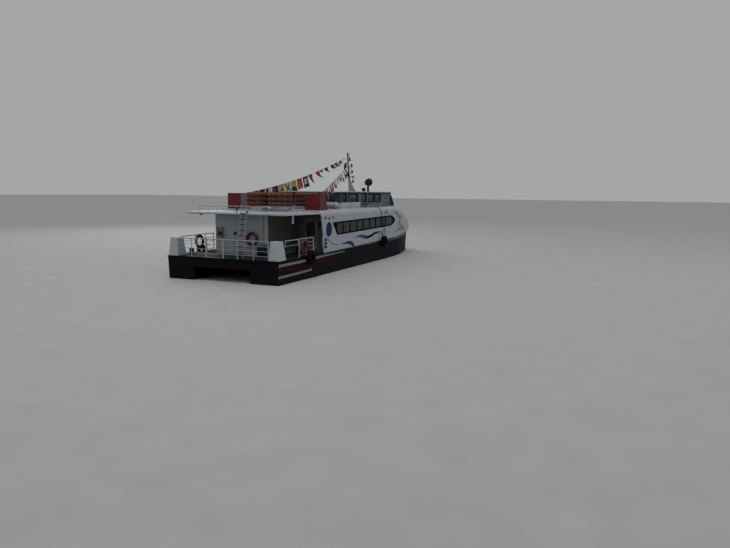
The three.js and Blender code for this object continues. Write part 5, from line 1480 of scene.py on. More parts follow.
@dataclass
class Bow:
    """The bow's white shell with its shoulders, the wheelhouse well and the painted swooshes."""

    well_fore: float = 19.45
    well_half: float = 1.95
    well_floor: float = 2.7

    @staticmethod
    def form(x: Array) -> tuple[Array, ...]:
        """Half width, top, shoulder's reach in and down, tuck, foot and chin height at each x.

        All but the foot run smoothly through the stations. The chin is as high as the side leaves room for.
        """
        rows = monotone(np.ravel(x), BOW[:, 0], BOW[:, 1:]).reshape(*np.shape(x), 5)
        half, top, wide, high, tuck = np.moveaxis(rows, -1, 0)
        low = hull_top(x) + 0.0003
        return half, top, wide, high, tuck, low, np.minimum(0.38, top - high - low - 0.02)

    def build(self) -> None:
        """The shell: each row is one section, and the last rows turn in to close the nose.

        From the foot up, a section is a parabola out to the side, the straight side, a quarter ellipse
        over the shoulder and the flat top.
        """
        x = np.unique(np.concatenate([np.linspace(BOW_START, 22.48, 56), [self.well_fore]]))
        turn = np.linspace(0, np.pi / 2, 6)[1:]
        base = np.append(x, np.full(len(turn), x[-1]))
        shrink = np.append(np.zeros(len(x)), 0.06 * (1 - np.cos(turn)))
        ahead = np.append(np.zeros(len(x)), 0.06 * np.sin(turn))
        half, top, wide, high, tuck, low, chin = self.form(base)
        half, top = half - shrink, top - shrink
        chin = np.maximum(chin - shrink, 0.01)
        arc = np.linspace(0, np.pi / 2, 13)
        sides = [np.stack([half - tuck * (1 - t) ** 2, low + chin * t], 1) for t in np.linspace(0, 1, 6)]
        sides += [np.stack([half, low + chin + (top - high - low - chin) * t], 1) for t in (0.33, 0.67)]
        shoulder = [np.stack([half - wide * (1 - math.cos(a)), top - high * (1 - math.sin(a))], 1)
                    for a in arc]
        flat = [np.stack([np.minimum(np.full(len(base), y), half - wide), top], 1)
                for y in (self.well_half, 0.8)]
        right = np.stack(sides + shoulder + flat, 1)
        section = np.concatenate([right, (right * (-1, 1))[:, ::-1]], 1)
        rows = Axis.X.place(section, (base + ahead)[:, None])
        inner = len(sides) + len(shoulder)
        fore = int(np.argmin(abs(x - self.well_fore)))
        keep = np.ones((len(base) - 1, section.shape[1] - 1), bool)
        keep[:fore, inner:section.shape[1] - inner - 1] = False
        skin = Skin()
        skin.grid(rows, keep=keep)
        under = np.stack([rows[:, 0], rows[:, -1]], 1)
        skin.grid(under)
        skin.lid(rows[-1])
        back = section.shape[1] - inner - 1
        rim = np.concatenate([rows[:fore + 1, inner], rows[fore, inner + 1:back],
                              rows[:fore + 1, back][::-1]])
        floor = rim.copy()
        floor[:, 2] = self.well_floor
        skin.grid(np.stack([rim, floor]), mark=1)
        skin.lid(floor, 1)
        skin.lid(np.concatenate([rows[0, :inner + 1], [floor[0], floor[-1]], rows[0, back:]]), 1)
        skin.piece("bow_skin", SHIP, [TOPSIDES, INSIDE], "white_paint", ["bow_shell"], sharp=30)
        for name, side in SIDES:
            self.swooshes(name, side)

    def swooshes(self, name: str, side: int) -> None:
        """The curved strokes painted on a shoulder of the bow, laid on the shell's own curve."""
        skin = Skin()
        bands = (
            (0, [(16.45, 3.42), (17.05, 3.225), (17.57, 3.01), (17.85, 2.85), (17.93, 2.62), (17.66, 2.48),
                 (17.36, 2.33)], (0.02, 0.08, 0.10, 0.10, 0.13, 0.11, 0.02)),
            (0, [(18.28, 3.16), (18.12, 3.04), (17.97, 2.86), (17.93, 2.70)], (0.01, 0.05, 0.08, 0.05)),
            (0, [(17.33, 2.18), (17.42, 2.14), (17.51, 2.10)], (0.03, 0.11, 0.03)),
            (0, [(17.62, 2.33), (17.87, 2.29), (18.33, 2.195), (18.79, 2.045), (19.19, 1.843), (19.03, 1.72)],
             (0.02, 0.07, 0.09, 0.10, 0.10, 0.03)),
            (0, [(16.68, 1.875), (17.04, 1.905), (17.54, 1.956), (18.13, 2.04), (18.51, 1.905),
                 (18.80, 1.73)],
             (0.01, 0.045, 0.07, 0.10, 0.10, 0.02)),
            (1, [(19.93, 2.88), (20.10, 2.64), (20.00, 2.36)], (0.01, 0.10, 0.02)),
        )
        for mark, line, widths in bands:
            outline = ribbon(line, widths, 36)
            left, right = outline[:36], outline[36:][::-1]
            share = np.linspace(0, 1, 4)[None, :, None]
            flat = left[:, None] * (1 - share) + right[:, None] * share
            skin.grid(self.on_shell(flat, side, 0.003), mark=mark)
        skin.piece(f"bow_swooshes_{name}", SHIP, [WAVE_BLUE, TEAL], "white_paint", outward=False)

    def on_shell(self, flat: Array, side: int, out: float) -> Array:
        """Points of (x, z) moved out to the shell's side, and around its shoulder where they reach it."""
        x, z = flat[..., 0], flat[..., 1]
        half, top, wide, high, tuck, low, chin = self.form(x)
        rise = np.clip((z - (top - high)) / high, 0, 0.98)
        y = half - wide * (1 - np.sqrt(1 - rise ** 2)) - tuck * np.clip(1 - (z - low) / chin, 0, 1) ** 2 + out
        return np.stack([x, side * np.where(x < BOW_START, HALF_BEAM + out, y), z], -1)


@dataclass
class UpperHouse:
    """The glazed house on the cabin roof with the wheelhouse at its front, and its overhanging roof."""

    low: float = ON_ROOF
    high: float = 4.7297
    half: float = 2.2
    nose_half: float = 1.5
    side_panes: tuple[tuple[float, float], ...] = ((10.2, 10.96), (11.27, 12.82), (13.52, 14.33),
                                                   (14.63, 15.88), (16.08, 17.02))

    def ring(self, z: float, grow: float) -> Array:
        """The plan at a height, moved inwards, with the same columns at every level: the windows' edges."""
        t = (z - self.low) / (self.high - self.low)
        corner = 20.08 - 0.9 * t - grow
        aft, half = 10.0 + 0.06 * t + grow, self.half - grow
        side = [aft, *(x for pane in self.side_panes for x in pane), 19.06, corner - 0.11, corner]
        starboard = [(x, -half) for x in side]
        front = [-half + 0.14, -1.57, -self.nose_half, -1.42, -0.53, -0.43]
        front = front + [-y for y in front[::-1]]
        lead = [(corner + 0.065 * min(1, (half - abs(y)) / (half - self.nose_half)), y) for y in front]
        port = [(x, half) for x in side[::-1]]
        back = [(aft, y) for y in (1.83, 1.35, -1.35, -1.83)]
        return Axis.Z.place(np.array(starboard + lead + port + back), z)

    def build(self) -> None:
        """Makes all the pieces."""
        self.shell()
        self.frames()
        self.roof()
        Helm().build()

    def shell(self) -> None:
        """The walls with their openings."""
        pane, wing, screen, rear = (4.06, 4.60), (3.80, 4.50), (3.95, 4.56), (4.13, 4.51)
        levels = sorted([self.low, *pane, *wing, *screen, *rear, self.high])
        outer = np.stack([self.ring(z, 0.0) for z in levels])
        inner = np.stack([self.ring(z, 0.06) for z in levels])
        outer[:, :, 2], inner[:, :, 2] = np.array(levels)[:, None], np.array(levels)[:, None]
        count = 2 * len(self.side_panes) + 4
        holes = np.zeros((len(levels) - 1, outer.shape[1]), bool)

        def opening(column: int, low: float, high: float) -> None:
            """Opens the cells of one column between two heights."""
            for k, (a, b) in enumerate(zip(levels, levels[1:])):
                holes[k, column] |= low - 1e-6 <= a and b <= high + 1e-6

        front, port = count, count + 12
        for k in range(len(self.side_panes)):
            opening(1 + 2 * k, *pane)
            opening(port + count - 3 - 2 * k, *pane)
        opening(count - 3, *wing)
        opening(port + 1, *wing)
        for column in (0, 3, 5, 7, 10):
            opening(front + column, *screen)
        last = port + count
        opening(last, *rear)
        opening(last + 2, *rear)
        skin = Skin()
        skin.walls(outer, inner, holes, inside=1)
        skin.box((10.0, -2.206, 3.7), (19.9, -2.20, 3.742), 0.002)
        skin.box((10.0, 2.20, 3.7), (19.9, 2.206, 3.742), 0.002)
        for y in (-2.203, 2.203):
            skin.box((10.08, y - 0.004, 4.655), (19.1, y + 0.004, 4.727), 0.002, 2)
        skin.piece("upper_walls", SHIP, [UPPER_PAINT, INSIDE, BLACK_FRAME], "white_paint", ["upper_house"],
                   sharp=25)

    def frames(self) -> None:
        """Black frames round the windows, sills, the side vents and a short bar; all on the outside."""
        skin = Skin()
        for s in (-1, 1):
            for x0, x1 in self.side_panes:
                pane = rounded(rectangle(x0 + 0.02, x1 - 0.02, 4.08, 4.58), 0.06, 5)
                skin.rim(pane, 0.055, s * 2.198, s * 2.214, bevel=0.003)
            wing = rounded([(19.08, 3.83), (19.84, 3.83), (19.275, 4.47), (19.08, 4.47)], 0.05, 4)
            skin.rim(wing, 0.05, s * 2.198, s * 2.214, bevel=0.003)
            port_light = rounded(rectangle(13.76, 14.57, 3.745, 3.915), 0.085, 6)
            skin.plate([inset(port_light, -0.02), inset(port_light, 0.02)[::-1]], s * 2.198, s * 2.218,
                       bevel=0.004)
            skin.plate([inset(port_light, 0.015)], s * 2.199, s * 2.205, bevel=0.001, mark=2)
            skin.plate([rounded(rectangle(13.3, 13.5, 3.785, 3.925), 0.02)], s * 2.198, s * 2.222,
                       bevel=0.006)
            for x, z in ((18.09, 4.30), (18.64, 4.0)):
                skin.turned([(s * 2.199, 0.0), (s * 2.199, 0.045), (s * 2.225, 0.045), (s * 2.23, 0.03),
                             (s * 2.22, 0.0)], (x, 0, z), Axis.Y, 20)
            pane = rounded(rectangle(s * 1.37, s * 1.81, 4.15, 4.49), 0.05, 5)
            x = 10.0 + 0.06 * (4.32 - self.low) / (self.high - self.low)
            skin.rim(pane, 0.05, x - 0.018, x + 0.004, Axis.X, 0.003, 1)
            skin.box((9.955, s * 1.28, 4.03), (10.03, s * 1.9, 4.065), 0.006)
        skin.piece("upper_frames", SHIP, [BLACK_FRAME, CASING_GREY, GLASS_DARK], "black_fitting", sharp=30)
        paint_nodes(GLASS_UPPER, "upper_windows")

    def roof(self) -> None:
        """The roof: two low tiers with soft edges and a drip edge under the rim."""
        skin = Skin()
        plan = np.array([(8.70, -2.30), (19.26, -2.32), (19.35, -1.56), (19.35, 1.56), (19.26, 2.32),
                         (8.70, 2.30)])
        tier = np.array([(8.78, -2.22), (19.18, -2.24), (19.27, -1.515), (19.27, 1.515), (19.18, 2.24),
                         (8.78, 2.22)])
        skin.prism(rounded(plan, 0.14, 6), 4.73, 4.775, bevel=0.014, steps=4)
        skin.prism(rounded(tier, 0.12, 6), 4.77, 4.795, bevel=0.012, steps=4)
        for x in (9.0, 9.5):
            skin.box((x, -2.1, 4.705), (x + 0.04, 2.1, 4.731), 0.004)
        skin.piece("upper_roof_slab", SHIP, [WHITE], "white_paint", ["upper_roof"])


@dataclass
class Helm:
    """The wheelhouse inside: a console with screens, a wheel and levers, and two chairs."""

    floor: float = 2.7003

    def build(self) -> None:
        """Makes the console and the stuffed chairs."""
        desk, floor = Skin(), self.floor
        mat, screen, steel = range(1, 4)
        desk.box((17.4, -0.9, floor), (19.3, 0.9, floor + 0.02), 0.004, mat)
        desk.prism(rounded([(18.7, floor), (19.3, floor), (19.3, 3.95), (19.15, 3.98), (18.65, 3.78),
                            (18.65, 3.70)], 0.03), -1.3, 1.3, Axis.Y, 0.012)
        for y in (-0.95, -0.45, 0.45, 0.95):
            desk.prism(rounded([(18.92, 3.90), (18.95, 3.87), (19.02, 4.14), (18.985, 4.155)], 0.01),
                       y - 0.17, y + 0.17, Axis.Y, 0.008)
            desk.prism(np.array([(18.909, 3.915), (18.914, 3.905), (18.978, 4.135), (18.972, 4.14)]),
                       y - 0.15, y + 0.15, Axis.Y, 0.002, screen)
        wheel = np.linspace(0, 2 * np.pi, 41)[:-1]
        hub = np.array([18.52, 0.0, 3.72])
        rim = hub + np.stack([0.06 * np.cos(wheel), 0.2 * np.sin(wheel), 0.19 * np.cos(wheel)], 1)
        desk.tube(rim, 0.015, 10, closed=True)
        for k in range(3):
            desk.tube([hub, rim[int(40 * k / 3)]], 0.010, 8, steel)
        desk.tube([hub + (0.16, 0, 0), hub - (0.02, 0, 0)], 0.03, 14, steel)
        for y in (0.24, 0.31):
            desk.tube([(18.80, y, 3.83), (18.78, y, 3.99)], 0.008, 8, steel)
            desk.ball((18.78, y, 3.99), 0.02)
        for y in (-0.6, 0.6):
            desk.turned([(floor + 0.02, 0.16), (floor + 0.035, 0.16), (floor + 0.05, 0.055),
                         (floor + 0.48, 0.045)], (17.95, y, 0), Axis.Z, 22, steel)
        desk.piece("helm_console", SHIP, [CHAIR_BLACK, CABIN_FLOOR, GLASS_DARK, BRIGHT_STEEL],
                   "black_fitting", ["helm"])
        chairs = Skin()
        for y in (-0.6, 0.6):
            chairs.prism(rounded([(17.72, 3.18), (18.2, 3.18), (18.22, 3.26), (18.18, 3.29),
                                  (17.78, 3.285)], 0.035, 4), y - 0.24, y + 0.24, Axis.Y, 0.03)
            chairs.prism(rounded([(17.69, 3.28), (17.80, 3.28), (17.765, 3.98), (17.735, 4.0),
                                  (17.67, 4.0)], 0.03, 4), y - 0.23, y + 0.23, Axis.Y, 0.03)
        chairs.piece("helm_chairs", SHIP, [CHAIR_BLACK], "black_fitting", sharp=60)


# What stands on the roofs


def sideways(path: Array) -> Array:
    """Level directions square to a closed path, to its right."""
    ahead = np.roll(path, -1, 0) - np.roll(path, 1, 0)
    return np.stack([ahead[:, 1], -ahead[:, 0]], 1) / np.linalg.norm(ahead[:, :2], axis=1, keepdims=True)


def squared(turn: Array, wide: float, high: float, up: float = 0.75) -> Array:
    """Points of a squarish oval at the given angles: powers of the cosine and the sine up to one."""
    return np.stack([wide * np.sign(np.cos(turn)) * abs(np.cos(turn)) ** 0.8,
                     high * np.sign(np.sin(turn)) * abs(np.sin(turn)) ** up], 1)


def lantern(skin: Skin, x: float, y: float, low: float, radius: float, high: float, lens: int,
            metal: int) -> None:
    """A ship's lantern: a base, a ribbed lens and a cap with a vent."""
    r, h = radius, high
    skin.turned([(low, r), (low + 0.2 * h, r), (low + 0.22 * h, 0.8 * r)], (x, y, 0), Axis.Z, 20, metal)
    ribs = [(low + h * (0.22 + 0.46 * k / 8), r * (0.86 if k % 2 else 0.8)) for k in range(9)]
    skin.turned(ribs, (x, y, 0), Axis.Z, 20, lens)
    skin.turned([(low + 0.68 * h, 0.82 * r), (low + 0.69 * h, r), (low + 0.80 * h, 0.95 * r),
                 (low + 0.86 * h, 0.5 * r), (low + 0.97 * h, 0.45 * r), (low + h, 0.3 * r)], (x, y, 0),
                Axis.Z, 20, metal)


@dataclass
class Mast:
    """The raked fin, the tapering pole with its yard, the lanterns on their brackets, and a whip aerial."""

    foot: float = ON_UPPER_ROOF
    brackets: tuple[tuple[float, float], ...] = ((16.21, 7.06), (16.60, 6.62), (16.66, 6.17), (16.86, 5.46))

    def build(self) -> None:
        """Makes the mast as one piece."""
        fitting, stay, horn, dark, lens = range(1, 6)
        skin = Skin()
        t = np.linspace(0, 1, 12)
        plan = squared(2 * np.pi * np.arange(28) / 28, 1, 1, up=1)
        z = self.foot + (5.7 - self.foot) * t
        aft, fore = 16.1 - 0.08 * t, monotone(t, (0, 0.25, 0.6, 1), (17.4, 17.0, 16.62, 16.33))
        half = 0.125 - 0.04 * t
        rings = np.stack([
            ((aft + fore) / 2)[:, None] + (fore - aft)[:, None] / 2 * plan[None, :, 0],
            half[:, None] * plan[None, :, 1], np.broadcast_to(z[:, None], (12, 28))], -1)
        skin.loft(rings)
        skin.prism(rounded(rectangle(16.02, 17.48, -0.2, 0.2), 0.06), self.foot, self.foot + 0.018,
                   bevel=0.005)
        pole_x, pole_z = (16.17, 15.85), (5.45, 7.4)
        line = np.stack([np.linspace(*pole_x, 20), np.zeros(20), np.linspace(*pole_z, 20)], 1)
        skin.tube(line, 0.075, 20, dark, scale=np.linspace(1, 0.53, 20))
        skin.tube([(15.9, -0.2, 7.2), (15.9, 0.45, 7.2)], 0.024, 12, dark)
        for y in (-0.19, 0.44):
            skin.ball((15.9, y, 7.17), 0.03, fitting)
        for x, z in self.brackets:
            pole = pole_x[0] - 0.32 * (z - pole_z[0]) / 1.95
            skin.tube([(pole, 0, z + 0.015), (x, 0, z + 0.015)], 0.020, 10, dark)
            skin.tube([(pole, 0, z - 0.20), (x - 0.06, 0, z + 0.005)], 0.012, 8, dark)
            skin.box((x - 0.095, -0.095, z - 0.004), (x + 0.095, 0.095, z + 0.008), 0.004, fitting)
            lantern(skin, x, 0, z, 0.085, 0.25, lens, fitting)
        lantern(skin, 15.85, 0, 7.38, 0.085, 0.27, lens, fitting)
        skin.tube([(16.1, 0, 5.88), (16.72, 0, 5.88)], 0.035, 14, dark)
        skin.turned([(16.69, 0.04), (16.70, 0.062), (16.74, 0.07), (16.82, 0.10), (16.86, 0.11),
                     (16.855, 0.10), (16.80, 0.05), (16.79, 0)], (0, 0, 5.88), Axis.X, 26, horn)
        skin.tube([(15.9, 0, 7.3), (16.16, 0, 7.3)], 0.02, 10, dark)
        whip = np.stack([np.full(14, 16.15), np.zeros(14), np.linspace(7.285, 8.17, 14)], 1)
        skin.tube(whip, 0.012, 10, fitting, scale=np.linspace(1, 0.4, 14))
        skin.turned([(7.29, 0.022), (7.42, 0.022), (7.44, 0.014)], (16.15, 0, 0), Axis.Z, 14, fitting)
        for s in (-1, 1):
            for x, y, low in ((16.6, 0.9, 6.9), (15.2, 0.9, 6.9)):
                skin.tube([(15.89, s * 0.03, low), (x, s * y, 4.80)], 0.006, 6, stay)
                skin.turned([(ON_UPPER_ROOF, 0.03), (4.803, 0.03), (4.806, 0.012), (4.86, 0.010)],
                            (x, s * y, 0), Axis.Z, 12, stay)
        skin.box((15.96, -0.10, 5.9), (16.03, 0.10, 6.12), 0.01, fitting)
        skin.piece("mast_and_lights", SHIP, [MAST_GREY, BLACK, DARK_STEEL, CASING_GREY, MAST_DARK, LENS_DARK],
                   "white_paint", ["mast"], sharp=35)


# Steps round a life float, and from one of its bands to the next
FLOAT_STEPS, BAND_STEPS = 220, 18
# Face numbers of a float stack's finishes after the cover
FLOAT_LINE, CRADLE, LASHING = range(1, 4)


@dataclass(frozen=True)
class LifeFloats:
    """Two stacks of three oval floats, each a wound ring with a netting floor and lifelines, on a cradle."""

    where: str
    aft: float
    fore: float
    inner: float
    outer: float
    beams: tuple[float, float]
    feet: tuple[float, float]
    leg_y: float
    chock: tuple[tuple[float, float, float], tuple[float, float, float]]

    def build(self) -> None:
        """Makes both stacks as one piece.

        A float's tube is an oval whose size swells and shrinks a little along the ring, as the cloth
        wound round it does.
        """
        skin = Skin()
        for side in (-1, 1):
            centre = rounded(rectangle(self.aft + 0.155, self.fore - 0.155, side * (self.inner + 0.155),
                                       side * (self.outer - 0.155)), 0.36, 12)
            centre = self.evenly(centre, FLOAT_STEPS)
            for layer in range(3):
                z = 3.92 + 0.262 * layer + 0.12
                path = np.concatenate([centre, np.full((FLOAT_STEPS, 1), z)], 1)
                oval = squared(2 * np.pi * np.arange(16) / 16, 0.152, 0.118)
                place = np.arange(FLOAT_STEPS)
                swell = 1 + 0.022 * np.sin(place * 2 * np.pi * 55 / FLOAT_STEPS)
                swell = swell + 0.014 * np.sin(place * 0.37 + layer * 2)
                skin.sweep(path, oval, (0, 0, 1), closed=True, scale=swell)
                self.bands(skin, path, oval)
                self.winding(skin, path, layer)
                self.lifeline(skin, path)
                self.net(skin, centre, z)
        half = self.outer - 0.1
        for x in self.beams:
            skin.box((x - 0.045, -half, 3.85), (x + 0.045, half, 3.922), 0.006, CRADLE)
        for y in (-self.leg_y, self.leg_y):
            for x, low in zip(self.beams, self.feet):
                skin.box((x - 0.04, y - 0.04, low), (x + 0.04, y + 0.04, 3.89), 0.006, CRADLE)
                skin.box((x - 0.08, y - 0.08, low), (x + 0.08, y + 0.08, low + 0.012), 0.003, CRADLE)
        skin.box(*self.chock, 0.015, CRADLE)
        self.lashings(skin)
        skin.piece(f"float_stacks_{self.where}", SHIP, [FLOAT_COVER, FLOAT_ROPE, RAIL_WHITE, FLOAT_CORD],
                   "float_orange", [f"life_floats_{self.where}"], sharp=60)

    @staticmethod
    def evenly(loop: Array, count: int) -> Array:
        """Points at equal steps along a closed loop."""
        closed = np.concatenate([loop, loop[:1]])
        along = np.concatenate([[0], np.cumsum(np.linalg.norm(np.diff(closed, axis=0), axis=1))])
        want = np.linspace(0, along[-1], count, endpoint=False)
        return np.stack([np.interp(want, along, closed[:, k]) for k in range(2)], 1)

    @staticmethod
    def bands(skin: Skin, path: Array, oval: Array) -> None:
        """Twelve doubled bands of webbing wound round a float's tube."""
        for start in range(4, FLOAT_STEPS, BAND_STEPS):
            piece = path[start:start + 5]
            skin.sweep(piece, oval * 1.045, (0, 0, 1), mark=FLOAT_LINE,
                       scale=np.array([0.94, 1.0, 1.0, 1.0, 0.94]))

    @staticmethod
    def winding(skin: Skin, path: Array, layer: int) -> None:
        """A rope wound round a float's tube from end to end of the ring."""
        turns, steps = 46, 10
        t = np.arange(turns * steps) / (turns * steps)
        at = np.stack([np.interp(t * len(path), np.arange(len(path) + 1), np.append(path[:, k], path[0, k]))
                       for k in range(3)], 1)
        out = sideways(at)
        angle = 2 * np.pi * turns * t + layer
        wide, high = squared(angle, 0.156, 0.121).T
        rope = np.concatenate([at[:, :2] + out * wide[:, None], (at[:, 2] + high)[:, None]], 1)
        skin.tube(rope, 0.011, 5, FLOAT_LINE, closed=True)

    @staticmethod
    def lifeline(skin: Skin, path: Array) -> None:
        """A rope looped round the outside of a float, slack between the bands."""
        out = sideways(path)
        centre = path[:, :2].mean(0)
        out *= np.sign(np.sum(out * (path[:, :2] - centre), 1))[:, None]
        place = (np.arange(len(path)) - 6) % BAND_STEPS / BAND_STEPS
        sag = 0.075 * 4 * place * (1 - place)
        rope = np.concatenate([path[:, :2] + out * (0.150 + 0.012 * (1 - abs(2 * place - 1)))[:, None],
                               (path[:, 2] + 0.045 - sag)[:, None]], 1)
        skin.tube(rope, 0.008, 6, FLOAT_LINE, closed=True)

    @staticmethod
    def net(skin: Skin, centre: Array, z: float) -> None:
        """The netting floor inside a float: crossing cords."""
        low, high = centre.min(0) + 0.14, centre.max(0) - 0.14
        for x in np.linspace(low[0], high[0], 6):
            skin.tube([(x, low[1] - 0.02, z - 0.05), (x, high[1] + 0.02, z - 0.05)], 0.005, 5, FLOAT_LINE)
        for y in np.linspace(low[1], high[1], 6):
            skin.tube([(low[0] - 0.02, y, z - 0.05), (high[0] + 0.02, y, z - 0.05)], 0.005, 5, FLOAT_LINE)

    def lashings(self, skin: Skin) -> None:
        """Two dark ropes over each stack, down to the cradle."""
        for side in (-1, 1):
            a, b = side * (self.inner - 0.012), side * (self.outer + 0.012)
            for x in (self.aft + 0.38, self.fore - 0.38):
                loop = [(x, a, 3.90), (x, a, 4.695), (x, b, 4.695), (x, b, 3.90)]
                skin.tube(rounded(loop, 0.07, 5, False), 0.009, 8, LASHING)


LIFE_FLOATS = (
    LifeFloats("aft", 4.2, 5.5, 0.06, 1.4, (4.45, 5.25), (ON_AFT_ROOF, ON_ROOF), 1.15,
               chock=((4.24, 0.12, ON_AFT_ROOF), (4.66, 0.94, 3.845))),
    LifeFloats("forward", 6.3, 7.6, 0.7, 2.0, (6.6, 7.3), (ON_ROOF, ON_ROOF), 1.75,
               chock=((6.36, -1.52, ON_ROOF), (7.2, -0.78, 3.845))),
)


@dataclass
class RoofGear:
    """Casings, life floats, the raft canister, the searchlight and the roof rail."""

    rope_points: tuple[tuple[float, float, float], ...] = (
        (13.60, -3.20, 3.735), (13.66, -3.34, 3.72), (13.72, -3.45, 3.66), (13.79, -3.51, 3.573),
        (13.92, -3.522, 3.361), (14.04, -3.526, 3.125), (14.30, -3.53, 2.62), (14.44, -3.535, 2.287),
        (14.55, -3.56, 2.10), (14.50, -3.60, 1.90), (14.32, -3.64, 1.72))

    def build(self) -> None:
        """Makes all the pieces."""
        for name, side in SIDES:
            self.casing(name, side)
            self.duct(name, side)
        for stacks in LIFE_FLOATS:
            stacks.build()
        self.canister()
        self.searchlight()
        self.small_fittings()
        self.side_rope()
        self.roof_rail()
        self.ladder()

    def casing(self, name: str, side: int) -> None:
        """A square duct that widens forward, red but for its inboard face, with a lip and a flange."""
        outline = rounded([(5.14, ON_ROOF), (6.15, ON_ROOF), (5.87, 4.64), (5.14, 4.64)], 0.035, 4)
        skin = Skin()
        grey, steel, trim, brown = range(1, 5)
        a, b = sorted((side * 2.22, side * 3.17))
        skin.prism(outline, a, b, Axis.Y, 0.012)
        inboard = inset(outline, 0.014)
        y = side * 2.22
        skin.prism(inboard, y - side * 0.003, y + side * 0.002, Axis.Y, mark=grey)
        lip = rounded(rectangle(5.11, 5.90, side * 2.19, side * 3.20), 0.04)
        skin.prism(lip, 4.612, 4.644, bevel=0.008, mark=trim)
        foot = rounded(rectangle(5.10, 6.18, side * 2.18, side * 3.21), 0.04)
        skin.prism(foot, 3.7004, 3.722, bevel=0.006)
        for y in (2.30, 3.09):
            for z in (3.80, 4.50):
                skin.turned([(5.141, 0.012), (5.134, 0.012), (5.132, 0.007)], (0, side * y, z), Axis.X, 6,
                            steel)
        skin.prism(inset(outline, 0.02), side * 3.169, side * 3.173, Axis.Y, mark=brown)
        for y0, y1, z in ((2.36, 2.80, 3.90), (2.52, 2.98, 3.885)):
            skin.box((5.135, side * y0, z), (5.142, side * y1, z + 0.010), 0.002, brown)
        skin.piece(f"casing_{name}", SHIP, [RED, CASING_GREY, DARK_STEEL, CASING_TRIM, CASING_BROWN],
                   "red_paint", [f"engine_casing_{name}"])

    def duct(self, name: str, side: int) -> None:
        """The long low duct beside the upper house, with a sloped aft end, seams and a row of screws."""
        outline = rounded([(9.18, ON_ROOF), (12.28, ON_ROOF), (12.28, 4.075), (9.95, 4.075), (9.18, 3.96)],
                          0.03, 4)
        a, b = sorted((side * 2.25, side * 2.62))
        skin = Skin()
        skin.prism(outline, a, b, Axis.Y, 0.012)
        for x in (9.96, 10.75, 11.52):
            skin.box((x - 0.012, a - 0.003, 3.71), (x + 0.012, b + 0.003, 4.078), 0.002)
            for z in np.linspace(3.76, 4.02, 4):
                skin.turned([(b + 0.002, 0.008), (b + 0.006, 0.008), (b + 0.007, 0.004)], (x, 0, z), Axis.Y,
                            6, 1)
        skin.box((9.16, a - 0.02, 3.7004), (12.30, b + 0.02, 3.712), 0.003)
        skin.piece(f"duct_{name}", SHIP, [WHITE, DARK_STEEL], "white_paint", [f"side_duct_{name}"])

    def canister(self) -> None:
        """The raft canister: two half shells with ribs and a seam, straps and two saddles."""
        skin, x, z = Skin(), 8.2, 3.935
        y0, y1 = -2.9, -1.8
        y = np.linspace(y0, y1, 61)
        end = np.minimum(y - y0, y1 - y)
        radius = 0.190 * np.sqrt(np.clip(1 - (1 - np.minimum(end / 0.08, 1)) ** 2, 0, 1)) * 0.985
        radius = np.maximum(radius, 0.004) - 0.004 * (np.sin(y * 2 * np.pi / 0.11) > 0.6)
        skin.turned(np.stack([y, radius], 1), (x, 0, z), Axis.Y, 40)
        skin.prism(rounded(rectangle(x - 0.203, x + 0.203, -2.87, -1.83), 0.06), z - 0.007, z + 0.007,
                   bevel=0.004)
        turn = np.linspace(-0.35, np.pi + 0.35, 30)
        for place in (-2.658, -2.042):
            band = np.stack([x + 0.195 * np.cos(turn), np.full(30, place), z + 0.195 * np.sin(turn)], 1)
            skin.sweep(band, rounded(rectangle(-0.022, 0.022, -0.002, 0.002), 0.001, 1), None, mark=1)
            saddle = [(x - 0.20, ON_ROOF), (x + 0.20, ON_ROOF), (x + 0.165, 3.875), (x + 0.12, 3.875),
                      (x, 3.745), (x - 0.12, 3.875), (x - 0.165, 3.875)]
            skin.prism(rounded(saddle, 0.02), place - 0.03, place + 0.03, Axis.Y, 0.004, 2)
            skin.box((x - 0.22, place - 0.06, ON_ROOF), (x + 0.22, place + 0.06, 3.712), 0.003, 2)
        skin.piece("raft_case", SHIP, [WHITE, BLACK, DARK_STEEL], "white_paint", ["raft_canister"])

    def searchlight(self) -> None:
        """The post, and the searchlight that turns on it: fork, drum, cooling ribs, glass and grip."""
        x, y, post, pivot = 18.0, -0.77, 5.23, 5.52
        foot = Skin()
        foot.turned([(ON_UPPER_ROOF, 0.15), (4.81, 0.15), (4.814, 0.11), (4.85, 0.092),
                     (post - 0.03, 0.085), (post, 0.07)], (x, y, 0), Axis.Z, 24)
        for k in range(6):
            turn = k * np.pi / 3
            foot.turned([(4.809, 0.011), (4.818, 0.011), (4.82, 0.006)],
                        (x + 0.130 * math.cos(turn), y + 0.130 * math.sin(turn), 0), Axis.Z, 6, 1)
        foot.piece("searchlight_foot", SHIP, [BLACK, BRIGHT_STEEL], "white_paint", ["searchlight_post"])
        head = Skin()
        glass, steel = 1, 2
        head.turned([(post + 0.0003, 0.056), (post + 0.02, 0.06), (post + 0.09, 0.055)], (x, y, 0), Axis.Z,
                    24)
        fork = [(x, y - 0.29, pivot), (x, y - 0.29, 5.32), (x, y - 0.11, post + 0.05),
                (x, y + 0.11, post + 0.05), (x, y + 0.29, 5.32), (x, y + 0.29, pivot)]
        head.sweep(rounded(fork, 0.08, 5, False), rounded(rectangle(-0.025, 0.025, -0.006, 0.006), 0.004, 2),
                   None)
        shape = [(x - 0.17, 0.0), (x - 0.17, 0.14), (x - 0.15, 0.19), (x - 0.11, 0.225)]
        for k in range(5):
            at = x - 0.10 + 0.028 * k
            shape += [(at, 0.240 + 0.006 * k), (at + 0.010, 0.240 + 0.006 * k),
                      (at + 0.012, 0.228 + 0.007 * k), (at + 0.024, 0.228 + 0.007 * k)]
        shape += [(x + 0.07, 0.272), (x + 0.16, 0.288), (x + 0.165, 0.298), (x + 0.19, 0.298),
                  (x + 0.19, 0.28), (x + 0.172, 0.275)]
